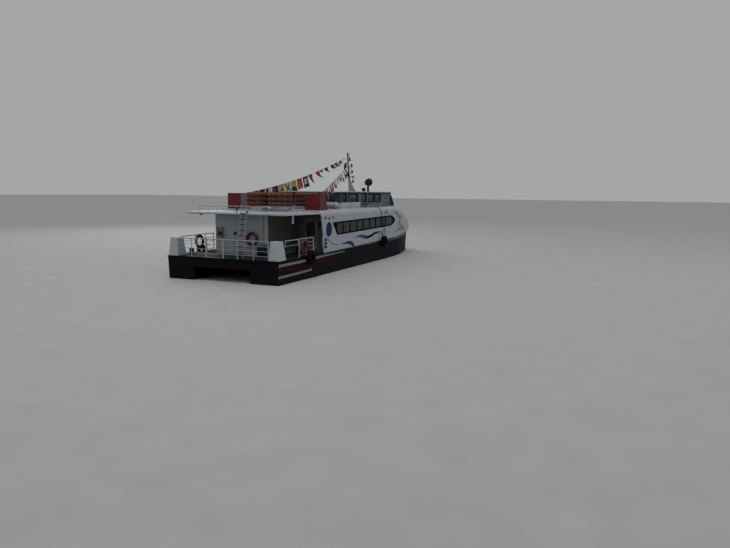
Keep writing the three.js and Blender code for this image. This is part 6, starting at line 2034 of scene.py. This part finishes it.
        head.turned(shape + [(x + 0.172, 0.0)], (0, y, pivot), Axis.X, 48)
        head.turned([(x + 0.173, 0.0), (x + 0.173, 0.273), (x + 0.179, 0.273), (x + 0.186, 0.13),
                     (x + 0.188, 0.0)], (0, y, pivot), Axis.X, 40, glass)
        for s in (-1, 1):
            head.turned([(y + s * 0.25, 0.03), (y + s * 0.29, 0.03), (y + s * 0.298, 0.02)], (x, 0, pivot),
                        Axis.Y, 16, steel)
        head.bent([(x - 0.14, y - 0.09, 5.57), (x - 0.20, y - 0.09, 5.57), (x - 0.20, y + 0.09, 5.57),
                   (x - 0.14, y + 0.09, 5.57)], 0.009, 0.02, 10, steel)
        head.piece("searchlight_head", "searchlight", [BLACK, LENS_CLEAR, DARK_STEEL], "black_fitting",
                   ["searchlight"])

    def small_fittings(self) -> None:
        """A vent and a lamp on the upper roof."""
        skin = Skin()
        skin.turned([(ON_UPPER_ROOF, 0.085), (4.87, 0.085), (4.875, 0.16), (4.99, 0.155), (5.05, 0.10),
                     (5.06, 0.0)], (14.5, -1.9, 0), Axis.Z, 24)
        skin.turned([(ON_UPPER_ROOF, 0.06), (4.81, 0.06), (4.815, 0.02), (5.02, 0.018), (5.03, 0.085),
                     (5.10, 0.10), (5.14, 0.07), (5.15, 0.0)], (13.5, 0.2, 0), Axis.Z, 22, 1)
        skin.piece("upper_roof_fittings", SHIP, [BLACK, WHITE], "black_fitting")

    def side_rope(self) -> None:
        """The thick rope from a cleat on the cabin roof over the starboard side down to the forward tyre."""
        skin = Skin()
        skin.box((13.53, -3.21, 3.6995), (13.67, -3.17, 3.728), 0.006)
        skin.tube([(13.51, -3.19, 3.738), (13.69, -3.19, 3.738)], 0.011, 12)
        skin.piece("side_rope_cleat", SHIP, [DARK_STEEL], "black_fitting")
        path = flowing(np.array(self.rope_points), 8)
        rope = Skin()
        rope.tube(path, 0.019, 10)
        rope.piece("side_rope", SHIP, [ROPE], "black_fitting", outward=False)

    def roof_rail(self) -> None:
        """The low rail along the aft roof's edge."""
        skin, x = Skin(), 1.4
        y0, y1 = -3.05, 2.43
        skin.tube(rounded([(x, y1 + 0.014, 3.945), (x, y0, 3.945), (3.364, y0, 3.945)], 0.06, 5, False),
                  0.019, 14)
        skin.tube([(x, y0, 3.77), (x, y1, 3.77)], 0.012, 10)
        places = [(x, y) for y in np.linspace(y0, y1, 10)] + [(2.05, y0), (2.70, y0), (3.35, y0)]
        for a, b in places:
            skin.turned([(ON_AFT_ROOF, 0.032), (3.628, 0.032), (3.63, 0.018), (3.64, 0.014),
                         (3.945, 0.013)], (a, b, 0), Axis.Z, 12)
        skin.piece("aft_roof_rail", SHIP, [RAIL_WHITE], "white_rail", ["roof_rail"], sharp=50)

    def ladder(self) -> None:
        """The ladder to the roof: two stringers that bend over its edge, with flat dark treads."""
        skin = Skin()
        for y in (-0.79, -0.44):
            path = rounded([(0.83, y, 1.254), (1.225, y, 3.56), (1.262, y, 3.968), (1.345, y, 3.968)], 0.05,
                           5, False)
            skin.tube(path, 0.0215, 14)
            skin.turned([(ON_DECK, 0.045), (1.258, 0.045), (1.26, 0.026), (1.28, 0.022)], (0.832, y, 0),
                        Axis.Z, 16)
        for k in range(8):
            z = 1.53 + 0.29 * k
            x = 0.83 + (z - 1.254) / (3.56 - 1.254) * 0.395
            skin.box((x - 0.055, -0.775, z - 0.020), (x + 0.03, -0.455, z + 0.010), 0.005, 1)
            skin.box((x - 0.053, -0.765, z + 0.009), (x + 0.028, -0.465, z + 0.014), 0.002, 1)
        skin.piece("roof_ladder", SHIP, [RAIL_WHITE, RUBBER], "white_rail", ["ladder"], sharp=45)


@dataclass
class SafetyGear:
    """Lifebuoys and tyre fenders."""

    buoy_ring: float = 0.31
    buoy_tube: float = 0.078
    tyre_half: float = 0.1106
    tyre_off: float = 0.0504

    def build(self) -> None:
        """Makes all the pieces."""
        self.lifebuoy("deckhouse", (1.7847, -0.75, 2.18), 0)
        for name, side in SIDES:
            self.lifebuoy(name, (2.70, side * 3.4592, 1.83), side)
            for where, x, z in (("aft", 3.15, 1.18), ("forward", 14.2, 1.30)):
                self.tyre(name, side, where, x, z)

    def lifebuoy(self, where: str, centre: Sequence[float], side: int) -> None:
        """A ring with four bands and a grab line that hangs slack between them."""
        skin = Skin()
        band, line, hook = range(1, 4)
        turn = 2 * np.pi * np.arange(72) / 72
        about = 2 * np.pi * np.arange(20) / 20
        axis = Axis.Y if side else Axis.X
        at = axis.place(np.zeros((1, 2)), 0.0)[0] + np.asarray(centre)

        def ring(size: float, start: float = 0.0, end: float = 2 * np.pi, count: int = 72,
                 shut: bool = True) -> Array:
            """Rings of points round the buoy's tube."""
            a = np.linspace(start, end, count, endpoint=not shut)
            r = self.buoy_ring + size * np.cos(about)[None]
            flat = np.stack([r * np.cos(a)[:, None], r * np.sin(a)[:, None]], -1)
            return axis.place(flat, np.broadcast_to(size * np.sin(about), r.shape)) + at

        skin.grid(ring(self.buoy_tube), around=True, along=True)
        for k in range(4):
            middle = np.pi / 4 + k * np.pi / 2
            skin.loft(ring(0.080, middle - 0.12, middle + 0.12, 8, False), band)
        place = (turn - np.pi / 4) % (np.pi / 2) / (np.pi / 2)
        radius = self.buoy_ring + 0.083 + 0.03 * np.sin(np.pi * place) ** 2
        droop = -0.012 * np.sin(np.pi * place)
        flat = np.stack([radius * np.cos(turn), radius * np.sin(turn) + droop], 1)
        depth = 0.012 * np.sin(np.pi * place) * (side or -1)
        skin.tube(axis.place(flat, depth) + at, 0.0055, 8, line, closed=True)
        if side:
            for z in (1.99, 1.70):
                x = centre[0] - 0.02
                skin.bent([(x, side * 3.362, z), (x, side * 3.395, z)], 0.008, 0.01, 8, line)
        else:
            for y in (-0.13, 0.13):
                skin.bent([(1.849, -0.75 + y, 1.86), (1.775, -0.75 + y, 1.86), (1.775, -0.75 + y, 1.92)],
                          0.007, 0.02, 8, hook)
        skin.piece(f"lifebuoy_ring_{where}", SHIP, [BUOY_RED, BUOY_WHITE, ROPE_PALE, BRIGHT_STEEL],
                   "buoy_red", [f"lifebuoy_{where}"], sharp=50)

    def tyre(self, name: str, side: int, where: str, x: float, z: float) -> None:
        """A worn tyre hung on two ropes as a fender: a hollow section with grooves round its tread."""
        skin = Skin()
        y = side * (float(hull_form(np.array([x - 0.11]))[0][0]) + self.tyre_off + self.tyre_half)
        steps = 96
        turn = 2 * np.pi * np.arange(steps) / steps
        wall = [(0.085, 0.195), (0.105, 0.215), (0.1095, 0.27), (0.106, 0.33), (0.094, 0.368)]
        tread = [(0.080, 0.380), (0.060, 0.386), (0.056, 0.378), (0.048, 0.378), (0.044, 0.388),
                 (0.018, 0.390), (0.014, 0.380), (0.006, 0.380), (0.0, 0.390)]
        outer = wall + tread
        inside = [(0.078, 0.196), (0.090, 0.225), (0.094, 0.29), (0.080, 0.355), (0.0, 0.372)]
        far_side = [(-a, r) for a, r in outer[::-1][1:] + inside]
        shape = np.array(outer + far_side + inside[::-1][1:])
        flat = shape[:, None, 1:] * circle(1, steps)[None]
        worn = 1 + 0.004 * np.sin(3 * turn + x) * (shape[:, None, 1] > 0.36)
        lug = 1 - 0.014 * ((shape[:, None, 1] > 0.384) & (np.arange(steps)[None] % 4 == 0))
        rings = Axis.Y.place(flat * (worn * lug)[..., None], shape[:, None, 0]) + (x, y, z)
        skin.grid(rings, around=True, along=True)
        for dx in (-0.13, 0.13):
            top = z + math.sqrt(0.375 ** 2 - dx ** 2)
            hull_y = y - side * self.tyre_half
            if where == "aft":
                path = [(x + dx, y, top + 0.012), (x + dx * 0.9, y - side * 0.09, top + 0.05),
                        (x + dx * 0.7, side * 3.40, top + 0.20), (x + dx * 0.5, side * 3.38, 1.79)]
            else:
                path = [(x + dx, y, top + 0.012), (x + dx * 0.8, hull_y, top + 0.05),
                        (x + dx * 0.4, side * 3.512, top + 0.16), (x + dx * 0.1, side * 3.512, 2.06)]
            skin.tube(flowing(np.array(path), 6), 0.013, 8, 1)
            loop = np.linspace(0, 2 * np.pi, 17)[:-1]
            knot = np.stack([np.full(16, x + dx), y + 0.122 * np.cos(loop),
                             top - 0.085 + 0.108 * np.sin(loop)], 1)
            skin.tube(knot, 0.013, 8, 1, closed=True)
        if where == "forward":
            skin.turned([(side * 3.5, 0.035), (side * 3.512, 0.035), (side * 3.53, 0.016),
                         (side * 3.545, 0.024)], (x, 0, 2.06), Axis.Y, 16, 2)
        skin.piece(f"tyre_{where}_{name}", SHIP, [RUBBER, ROPE, DARK_STEEL], "black_rubber",
                   [f"tyre_fender_{where}_{name}"], sharp=40)


# Under the water and under the hatches


@dataclass
class RunningGear:
    """Engines, shafts, propellers and rudders."""

    def build(self) -> None:
        """Makes all the pieces."""
        for name, side in SIDES:
            self.engine(name, side)
            self.shaft(name, side)
            self.propeller(name, side)
            self.rudder(name, side)

    def engine(self, name: str, side: int) -> None:
        """A six-cylinder diesel: block, sump, heads, manifold, turbocharger, gearbox and pulleys."""
        skin, y = Skin(), side * 2.6
        steel, grey = 1, 2
        skin.box((2.95, y - 0.25, -0.28), (4.10, y + 0.25, 0.30), 0.03)
        skin.box((3.0, y - 0.18, -0.40), (4.05, y + 0.18, -0.27), 0.04)
        skin.box((2.98, y - 0.20, 0.29), (4.08, y + 0.20, 0.40), 0.03)
        for k in range(6):
            x = 3.08 + 0.18 * k
            skin.box((x - 0.07, y - 0.15, 0.39), (x + 0.07, y + 0.15, 0.50), 0.02)
            skin.tube([(x, y + 0.19, 0.36), (x, y + 0.27, 0.40), (x, y + 0.30, 0.46)], 0.03, 10, steel)
        skin.tube([(2.98, y + 0.30, 0.47), (4.02, y + 0.30, 0.47)], 0.05, 14, steel)
        skin.turned([(3.2, 0.05), (3.22, 0.12), (3.28, 0.14), (3.34, 0.12), (3.36, 0.06), (3.42, 0.06),
                     (3.44, 0.11), (3.5, 0.12), (3.54, 0.09), (3.58, 0.05)], (0, y + 0.22, 0.58), Axis.X,
                    22, steel)
        skin.tube([(3.1, y - 0.2, 0.44), (4.0, y - 0.2, 0.44)], 0.06, 14)
        skin.box((2.72, y - 0.20, -0.36), (2.97, y + 0.20, 0.18), 0.05, grey)
        for z, r in ((-0.08, 0.14), (0.22, 0.09)):
            skin.turned([(4.10, r), (4.13, r), (4.14, r - 0.02), (4.16, r - 0.02), (4.17, r), (4.20, r),
                         (4.21, 0.04)], (0, y, z), Axis.X, 26, steel)
        for x in (3.05, 3.95):
            for s in (-1, 1):
                skin.box((x - 0.06, y + s * 0.24, -0.4197), (x + 0.06, y + s * 0.35, -0.20), 0.015, grey)
        skin.turned([(0.50, 0.045), (0.68, 0.045), (0.695, 0.03)], (3.3, y - 0.1, 0), Axis.Z, 16, steel)
        for k in range(3):
            skin.turned([(0.02, 0.05), (0.17, 0.05), (0.18, 0.04)], (3.4 + 0.14 * k, y - 0.31, 0), Axis.Z,
                        18, steel)
        skin.piece(f"diesel_{name}", SHIP, [ENGINE_PAINT, DARK_STEEL, CASING_GREY], "engine_grey",
                   [f"engine_{name}"])

    def shaft(self, name: str, side: int) -> None:
        """The shaft, its boss on a streamlined bracket and the seal where it enters the hull."""
        skin, y, z = Skin(), side * SHAFT_Y, SHAFT_Z
        skin.turned([(1.0003, 0.0375), (2.97, 0.0375)], (0, y, z), Axis.X, 24)
        skin.turned([(1.0003, 0.060), (1.01, 0.068), (1.03, 0.070), (1.19, 0.070), (1.213, 0.062),
                     (1.22, 0.045)], (0, y, z), Axis.X, 28, 1)
        turn = 2 * np.pi * np.arange(24) / 24
        foil = np.stack([1.115 + 0.075 * np.cos(turn), 0.014 * np.sin(turn) * (1 + 0.3 * np.cos(turn))], 1)
        rings = np.stack([Axis.Z.place(foil + (0, y), level) for level in np.linspace(z + 0.05, -0.25, 8)])
        skin.loft(rings, 1)
        skin.turned([(2.30, 0.05), (2.36, 0.075), (2.9, 0.085)], (0, y, z), Axis.X, 24, 1)
        skin.piece(f"shaft_line_{name}", SHIP, [BRIGHT_STEEL, DARK_STEEL], "shaft_steel", [f"shaft_{name}"])

    def propeller(self, name: str, side: int) -> None:
        """Four blades with skewed, twisted faces on a tapered hub, and the nut behind it.

        A blade is a grid over its radius and chord. The chord widens to two thirds out and narrows to
        the tip, the pitch angle falls as the radius grows, and the thickness is a flat arch over the
        chord that thins towards the tip.
        """
        skin, centre = Skin(), (0, side * SHAFT_Y, SHAFT_Z)
        radius = np.linspace(0.06, 0.366, 22)
        t = (radius - radius[0]) / (radius[-1] - radius[0])
        half = monotone(t, (0, 0.35, 0.7, 0.9, 1), (0.055, 0.10, 0.128, 0.095, 0.012))
        pitch = monotone(t, (0, 0.5, 1), (0.95, 0.62, 0.42))
        skew = 0.05 * t ** 2
        thick = 0.022 - 0.016 * t
        s = np.linspace(-1, 1, 13)
        arch = np.sqrt(np.clip(1 - s ** 2, 0, 1))
        chord = half[:, None] * s[None] + skew[:, None]
        round_section = np.concatenate([chord, chord[:, 1:-1][:, ::-1]], 1)
        lift = thick[:, None] / 2 * np.concatenate([arch, -arch[1:-1][::-1]])[None]
        along = round_section * np.sin(pitch)[:, None] + lift * np.cos(pitch)[:, None]
        around = (round_section * np.cos(pitch)[:, None] - lift * np.sin(pitch)[:, None]) / radius[:, None]
        for k in range(4):
            turn = around + k * np.pi / 2
            rings = np.stack([0.9 - along, radius[:, None] * np.sin(turn) * -side,
                              radius[:, None] * np.cos(turn)], -1)
            skin.loft(rings + centre)
        skin.turned([(0.71, 0.0), (0.712, 0.03), (0.74, 0.05), (0.79, 0.066), (0.80, 0.074), (0.86, 0.077),
                     (0.94, 0.077), (0.99, 0.070), (1.0, 0.062)], centre, Axis.X, 32)
        skin.piece(f"screw_{name}", f"propeller_{name}", [BRONZE], "bronze", [f"propeller_{name}"], sharp=50)

    def rudder(self, name: str, side: int) -> None:
        """A rudder blade of a smooth foil section with a rounded foot, on its stock.

        The half thickness is a root of the distance from the nose times a straight fall to the tail.
        """
        x, y = 0.5 * (1 - np.cos(np.linspace(0, np.pi, 20))), side * SHAFT_Y
        thick = 0.078 * (np.sqrt(x) * (1 - x) * 1.15 + 0.02 * (1 - x))
        foil = np.concatenate([np.stack([0.54 - 0.48 * x, thick], 1),
                               np.stack([0.54 - 0.48 * x, -thick], 1)[1:-1][::-1]])
        sizes = ((-1.13, 0.90), (-1.125, 0.95), (-1.11, 0.985), (-1.08, 1.0), (-0.27, 1.0), (-0.256, 0.985),
                 (-0.25, 0.94))
        rings = np.stack([Axis.Z.place((foil - (RUDDER_X, 0)) * share + (RUDDER_X, y), z)
                          for z, share in sizes])
        skin = Skin()
        skin.loft(rings)
        for profile in ([(-1.13, 0.0), (-1.13, 0.018), (-0.2153, 0.0235)],
                        [(-0.256, 0.04), (-0.235, 0.04), (-0.23, 0.03)]):
            skin.turned(profile, (RUDDER_X, y, 0), Axis.Z, 20, 1)
        skin.piece(f"rudder_blade_{name}", f"rudder_{name}", [DARK_STEEL, BRIGHT_STEEL], "shaft_steel",
                   [f"rudder_{name}"])


# Bunting


class Pattern(Enum):
    """How a flag is coloured, by the places u along its head and v down its drop, both from 0 to 1."""

    PLAIN = 0
    SPLIT_UP = 1
    SPLIT_DOWN = 2
    DISC = 3
    CROSS = 4
    DIAGONAL = 5
    SQUARE = 6
    PENNANT = 7

    def second(self, u: Array, v: Array) -> Array:
        """Where the second colour shows."""
        return {
            Pattern.PLAIN: u < -1, Pattern.SPLIT_UP: u > 0.5, Pattern.SPLIT_DOWN: v > 0.5,
            Pattern.DISC: (u - 0.45) ** 2 + (v - 0.62) ** 2 < 0.055,
            Pattern.CROSS: (abs(u - v) < 0.10) | (abs(u + v - 1) < 0.10),
            Pattern.DIAGONAL: (u + v) % 0.5 > 0.25,
            Pattern.SQUARE: (abs(u - 0.5) < 0.24) & (abs(v - 0.45) < 0.26),
            Pattern.PENNANT: v > 0.6,
        }[self]


# The share of its width that a pennant loses down its drop
PENNANT_TAPER = 0.85


def cloth(name: str, colour: Colour) -> Woven:
    """A thin flag cloth."""
    return Woven(f"flag_{name}", colour, (0.06, 0.05, 0.05), 0.85, patches=0.15, depth=0.0004, strands=1500.0)


FLAG_RED, FLAG_NAVY = cloth("red", (0.24, 0.018, 0.028)), cloth("navy", (0.010, 0.014, 0.045))
FLAG_YELLOW, FLAG_WHITE = cloth("yellow", (0.42, 0.27, 0.04)), cloth("white", (0.40, 0.37, 0.33))
FLAG_BLACK, FLAG_ORANGE = cloth("black", (0.015, 0.014, 0.014)), cloth("orange", (0.42, 0.11, 0.025))
FLAG_OCHRE, FLAG_OLIVE = cloth("ochre", (0.20, 0.13, 0.04)), cloth("olive", (0.07, 0.075, 0.055))


@dataclass(frozen=True)
class Flag:
    """One flag: how far down its string it starts, its cloth's size and how it is coloured."""

    start: float
    wide: float
    drop: float
    pattern: Pattern
    first: Woven
    second: Woven = FLAG_BLACK
    lean: float = 0.35


PLAIN, SPLIT_UP, SPLIT_DOWN, PENNANT = Pattern.PLAIN, Pattern.SPLIT_UP, Pattern.SPLIT_DOWN, Pattern.PENNANT
PORT_FLAGS = (
    Flag(0.12, 0.42, 0.26, PLAIN, FLAG_OCHRE),
    Flag(0.70, 0.42, 0.44, SPLIT_UP, FLAG_OCHRE, FLAG_BLACK, 0.85),
    Flag(1.20, 0.42, 0.46, SPLIT_DOWN, FLAG_BLACK, FLAG_RED, 0.85),
    Flag(1.95, 0.50, 0.46, PENNANT, FLAG_BLACK, lean=0.8),
    Flag(2.60, 0.42, 0.28, PENNANT, FLAG_BLACK, lean=0.9),
    Flag(3.00, 0.52, 0.72, PENNANT, FLAG_RED, FLAG_OLIVE, 0.8),
    Flag(3.82, 0.50, 0.72, PENNANT, FLAG_RED, FLAG_BLACK, 0.6),
    Flag(4.35, 0.60, 0.76, Pattern.SQUARE, FLAG_NAVY, FLAG_WHITE, 0.2),
    Flag(5.05, 0.58, 0.70, Pattern.DIAGONAL, FLAG_ORANGE, FLAG_RED, 0.3),
    Flag(5.68, 0.58, 0.76, SPLIT_DOWN, FLAG_YELLOW, FLAG_NAVY, 0.25),
    Flag(6.30, 0.62, 0.74, Pattern.CROSS, FLAG_WHITE, FLAG_BLACK, 0.3),
    Flag(6.95, 0.60, 0.70, Pattern.DISC, FLAG_YELLOW, FLAG_BLACK, 0.2),
    Flag(7.57, 0.62, 0.66, SPLIT_UP, FLAG_NAVY, FLAG_RED, 0.25),
    Flag(8.24, 0.58, 0.66, SPLIT_UP, FLAG_WHITE, FLAG_RED, 0.5),
    Flag(8.86, 0.54, 0.60, PLAIN, FLAG_NAVY),
    Flag(9.44, 0.50, 0.60, PLAIN, FLAG_RED),
    Flag(10.02, 0.44, 0.52, PLAIN, FLAG_ORANGE, lean=0.2),
)
STARBOARD_FLAGS = (
    Flag(1.65, 0.50, 0.36, PLAIN, FLAG_BLACK, lean=0.5),
    Flag(2.30, 0.48, 0.46, PENNANT, FLAG_BLACK, lean=0.4),
    Flag(3.05, 0.56, 0.62, SPLIT_DOWN, FLAG_WHITE, FLAG_RED, 0.3),
    Flag(3.72, 0.50, 0.36, PENNANT, FLAG_RED, FLAG_BLACK),
    Flag(4.36, 0.56, 0.40, SPLIT_UP, FLAG_RED, FLAG_BLACK, 0.4),
    Flag(5.05, 0.50, 0.60, PENNANT, FLAG_BLACK, FLAG_OCHRE),
    Flag(5.72, 0.46, 0.62, PENNANT, FLAG_OCHRE, FLAG_BLACK, 0.2),
    Flag(6.42, 0.54, 0.46, PLAIN, FLAG_RED),
    Flag(7.02, 0.56, 0.66, SPLIT_DOWN, FLAG_RED, FLAG_NAVY, 0.2),
    Flag(7.66, 0.56, 0.56, SPLIT_UP, FLAG_WHITE, FLAG_RED),
    Flag(8.30, 0.50, 0.60, SPLIT_DOWN, FLAG_WHITE, FLAG_NAVY, 0.3),
    Flag(8.92, 0.56, 0.68, PLAIN, FLAG_RED, lean=0.15),
    Flag(9.62, 0.46, 0.36, PENNANT, FLAG_BLACK),
    Flag(10.30, 0.50, 0.34, PLAIN, FLAG_BLACK, lean=0.6),
)


@dataclass
class Bunting:
    """Two dressed strings from the mast to the casings, and two furled flags on the mast's halyard."""

    thick: float = 0.012

    def build(self) -> None:
        """Strings and flags."""
        for name, top, foot, sag, flags in (
                ("port", (15.9, 0.45, 7.17), (5.87, 2.26, 4.668), 0.28, PORT_FLAGS),
                ("starboard", (15.95, -0.06, 6.78), (5.30, -3.12, 4.668), 0.10, STARBOARD_FLAGS)):
            line = self.string(name, top, foot, sag)
            for k, flag in enumerate(flags):
                self.hang(f"flag_{name}_{k + 1:02d}", flag, line, k)
        self.halyard()

    def string(self, name: str, top: Sequence[float], foot: Sequence[float], sag: float) -> Array:
        """A taut line that sags a little: a straight line less a parabola."""
        t = np.linspace(0, 1, 90)[:, None]
        line = np.asarray(top) * (1 - t) + np.asarray(foot) * t - (0, 0, 1) * (sag * 4 * t * (1 - t))
        skin = Skin()
        skin.tube(line, self.thick / 2, 6)
        rope = skin.piece(f"bunting_line_{name}", SHIP, [ROPE], "black_fitting", outward=False)
        return line

    def hang(self, name: str, flag: Flag, line: Array, seed: int) -> None:
        """A flag below the string, swung and rippled by the breeze.

        Each row down the drop turns about the string by a growing angle, and a sine along the head moves
        the cloth sideways, more the lower it is.
        """
        steps = np.linalg.norm(np.diff(line, axis=0), axis=1)
        along = np.concatenate([[0], np.cumsum(steps)])
        count = 18
        u, v = np.meshgrid(np.linspace(0, 1, count), np.linspace(0, 1, count))
        taper = 1 - (PENNANT_TAPER if flag.pattern is PENNANT else 0) * v
        s = flag.start + flag.wide * (0.5 + (u - 0.5) * taper)
        head = np.stack([np.interp(s, along, line[:, k]) for k in range(3)], -1)
        wind = np.random.default_rng(seed + len(name)).uniform(0.7, 1.3, 2)
        lean = wind[0] * flag.lean * (0.45 + 0.55 * v)
        ripple = 0.04 * v * taper * np.sin(2 * np.pi * (1.1 * u + 0.4 * v) + seed * 1.7)
        drop = flag.drop * v
        ahead = line[-1] - line[0]
        across = np.array([-ahead[1], ahead[0], 0]) / np.hypot(ahead[0], ahead[1])
        swing = np.sin(lean) * drop + ripple
        fall = 0.010 + np.cos(lean) * drop
        rows = head + across * swing[..., None] - np.array([0, 0, 1]) * fall[..., None]
        middle_u, middle_v = (u[1:, 1:] + u[:-1, :-1]) / 2, (v[1:, 1:] + v[:-1, :-1]) / 2
        marks = flag.pattern.second(middle_u, middle_v).astype(int)
        skin = Skin()
        skin.grid(rows, mark=marks)
        thing = skin.piece(name, SHIP, [flag.first, flag.second], "red_paint", sharp=180, outward=False)

    def halyard(self) -> None:
        """A thin line up the mast's port side with two furled flags on it.

        A furled flag's width is taken up by folds: a sine across it whose depth is what the width
        loses, so that the cloth keeps its flat size.
        """
        line = np.stack([np.linspace(16.02, 15.90, 40), np.full(40, 0.10), np.linspace(5.75, 7.18, 40)], 1)
        skin = Skin()
        skin.tube(line, self.thick / 2, 6)
        rope = skin.piece("mast_halyard", SHIP, [ROPE], "black_fitting", outward=False)
        furled = ((6.98, 0.60, 0.42, FLAG_OCHRE, FLAG_OLIVE), (6.16, 0.40, 0.34, FLAG_RED, FLAG_BLACK))
        for k, (top, wide, drop, first, second) in enumerate(furled):
            u, v = np.meshgrid(np.linspace(0, 1, 64), np.linspace(0, 1, 14))
            x0 = 16.02 - 0.12 * (top - drop * v - 5.75) / 1.43
            fold = 0.0425 * wide * np.sin(2 * np.pi * 4 * u)
            rows = np.stack([x0 - 0.012 - 0.60 * wide * u, 0.115 + 0.10 * wide * u + fold,
                             top - drop * v - 0.333 * wide * u], -1)
            cloth_skin = Skin()
            cloth_skin.grid(rows, mark=(v[1:, 1:] > 0.5).astype(int))
            thing = cloth_skin.piece(f"mast_flag_{k + 1}", SHIP, [first, second], "red_paint", sharp=180,
                                     outward=False)


# The studio


@dataclass
class Studio:
    """Floor, backdrop, soft lights and the camera."""

    eye: tuple[float, float, float] = (-38.3754, -19.7015, 4.8121)
    yaw: float = 0.4016
    pitch: float = 0.1319
    roll: float = 0.0092
    focal_pixels: float = 623.36
    width_pixels: float = 730.0

    def build(self) -> None:
        """Makes everything that isn't part of the ship."""
        self.floor()
        self.lights()
        self.camera()

    def floor(self) -> None:
        """A pale plane at the waterline, wide enough for every view."""
        mesh = bpy.data.meshes.new("floor")
        size = 400.0
        mesh.from_pydata([(-size, -size, 0), (size, -size, 0), (size, size, 0), (-size, size, 0)], [],
                         [(0, 1, 2, 3)])
        plane = bpy.data.objects.new("floor", mesh)
        mesh.materials.append(material(Finish("studio_floor", (0.52, 0.51, 0.49), (0.5, 0.49, 0.47), 0.85,
                                              patches=0.0)))
        bpy.context.scene.collection.objects.link(plane)

    def lights(self) -> None:
        """An even sky, a key from above the stern, a fill from starboard and a rim from the port bow."""
        world = bpy.data.worlds.new("studio")
        world.use_nodes = True
        back = world.node_tree.nodes["Background"]
        back.inputs[0].default_value = (0.86, 0.88, 0.92, 1)
        back.inputs[1].default_value = 0.52
        bpy.context.scene.world = world
        for name, place, energy, size in (("key", (-20, -8, 40), 3200, 24), ("fill", (4, -44, 20), 850, 26),
                                          ("rim", (22, 30, 26), 4000, 20)):
            data = bpy.data.lights.new(name, "AREA")
            data.energy, data.size, data.shape = energy, size, "DISK"
            lamp = bpy.data.objects.new(name, data)
            lamp.location = place
            lamp.rotation_euler = (Vector((0, 0, 2)) - Vector(place)).to_track_quat("-Z", "Y").to_euler()
            bpy.context.scene.collection.objects.link(lamp)

    def camera(self) -> None:
        """The photo's camera: its eye, heading, tilt and focal length."""
        forward = np.array([math.cos(self.yaw) * math.cos(self.pitch),
                            math.sin(self.yaw) * math.cos(self.pitch), -math.sin(self.pitch)])
        right = np.array([math.sin(self.yaw), -math.cos(self.yaw), 0.0])
        up = np.cross(right, forward)
        turned = right * math.cos(self.roll) + up * math.sin(self.roll)
        raised = -right * math.sin(self.roll) + up * math.cos(self.roll)
        data = bpy.data.cameras.new("camera")
        data.sensor_fit, data.sensor_width = "HORIZONTAL", 36.0
        data.lens = self.focal_pixels * 36.0 / self.width_pixels
        data.clip_end = 1000.0
        eye = bpy.data.objects.new("camera", data)
        matrix = Matrix.Identity(4)
        for column, axis in enumerate((turned, raised, -forward)):
            for row in range(3):
                matrix[row][column] = axis[row]
        matrix.translation = self.eye
        eye.matrix_world = matrix
        bpy.context.scene.collection.objects.link(eye)
        bpy.context.scene.camera = eye


def main() -> None:
    """Builds every part of the ship, then the studio."""
    logging.basicConfig(level=logging.WARNING, format="%(name)s %(levelname)s %(message)s")
    for part in (Hulls(), AftDeck(), Deckhouse(), AftRoof(), Cabin(), Bow(), UpperHouse(), Mast(), RoofGear(),
                 SafetyGear(), RunningGear(), Bunting(), Studio()):
        part.build()


if __name__ == "__main__":
    main()
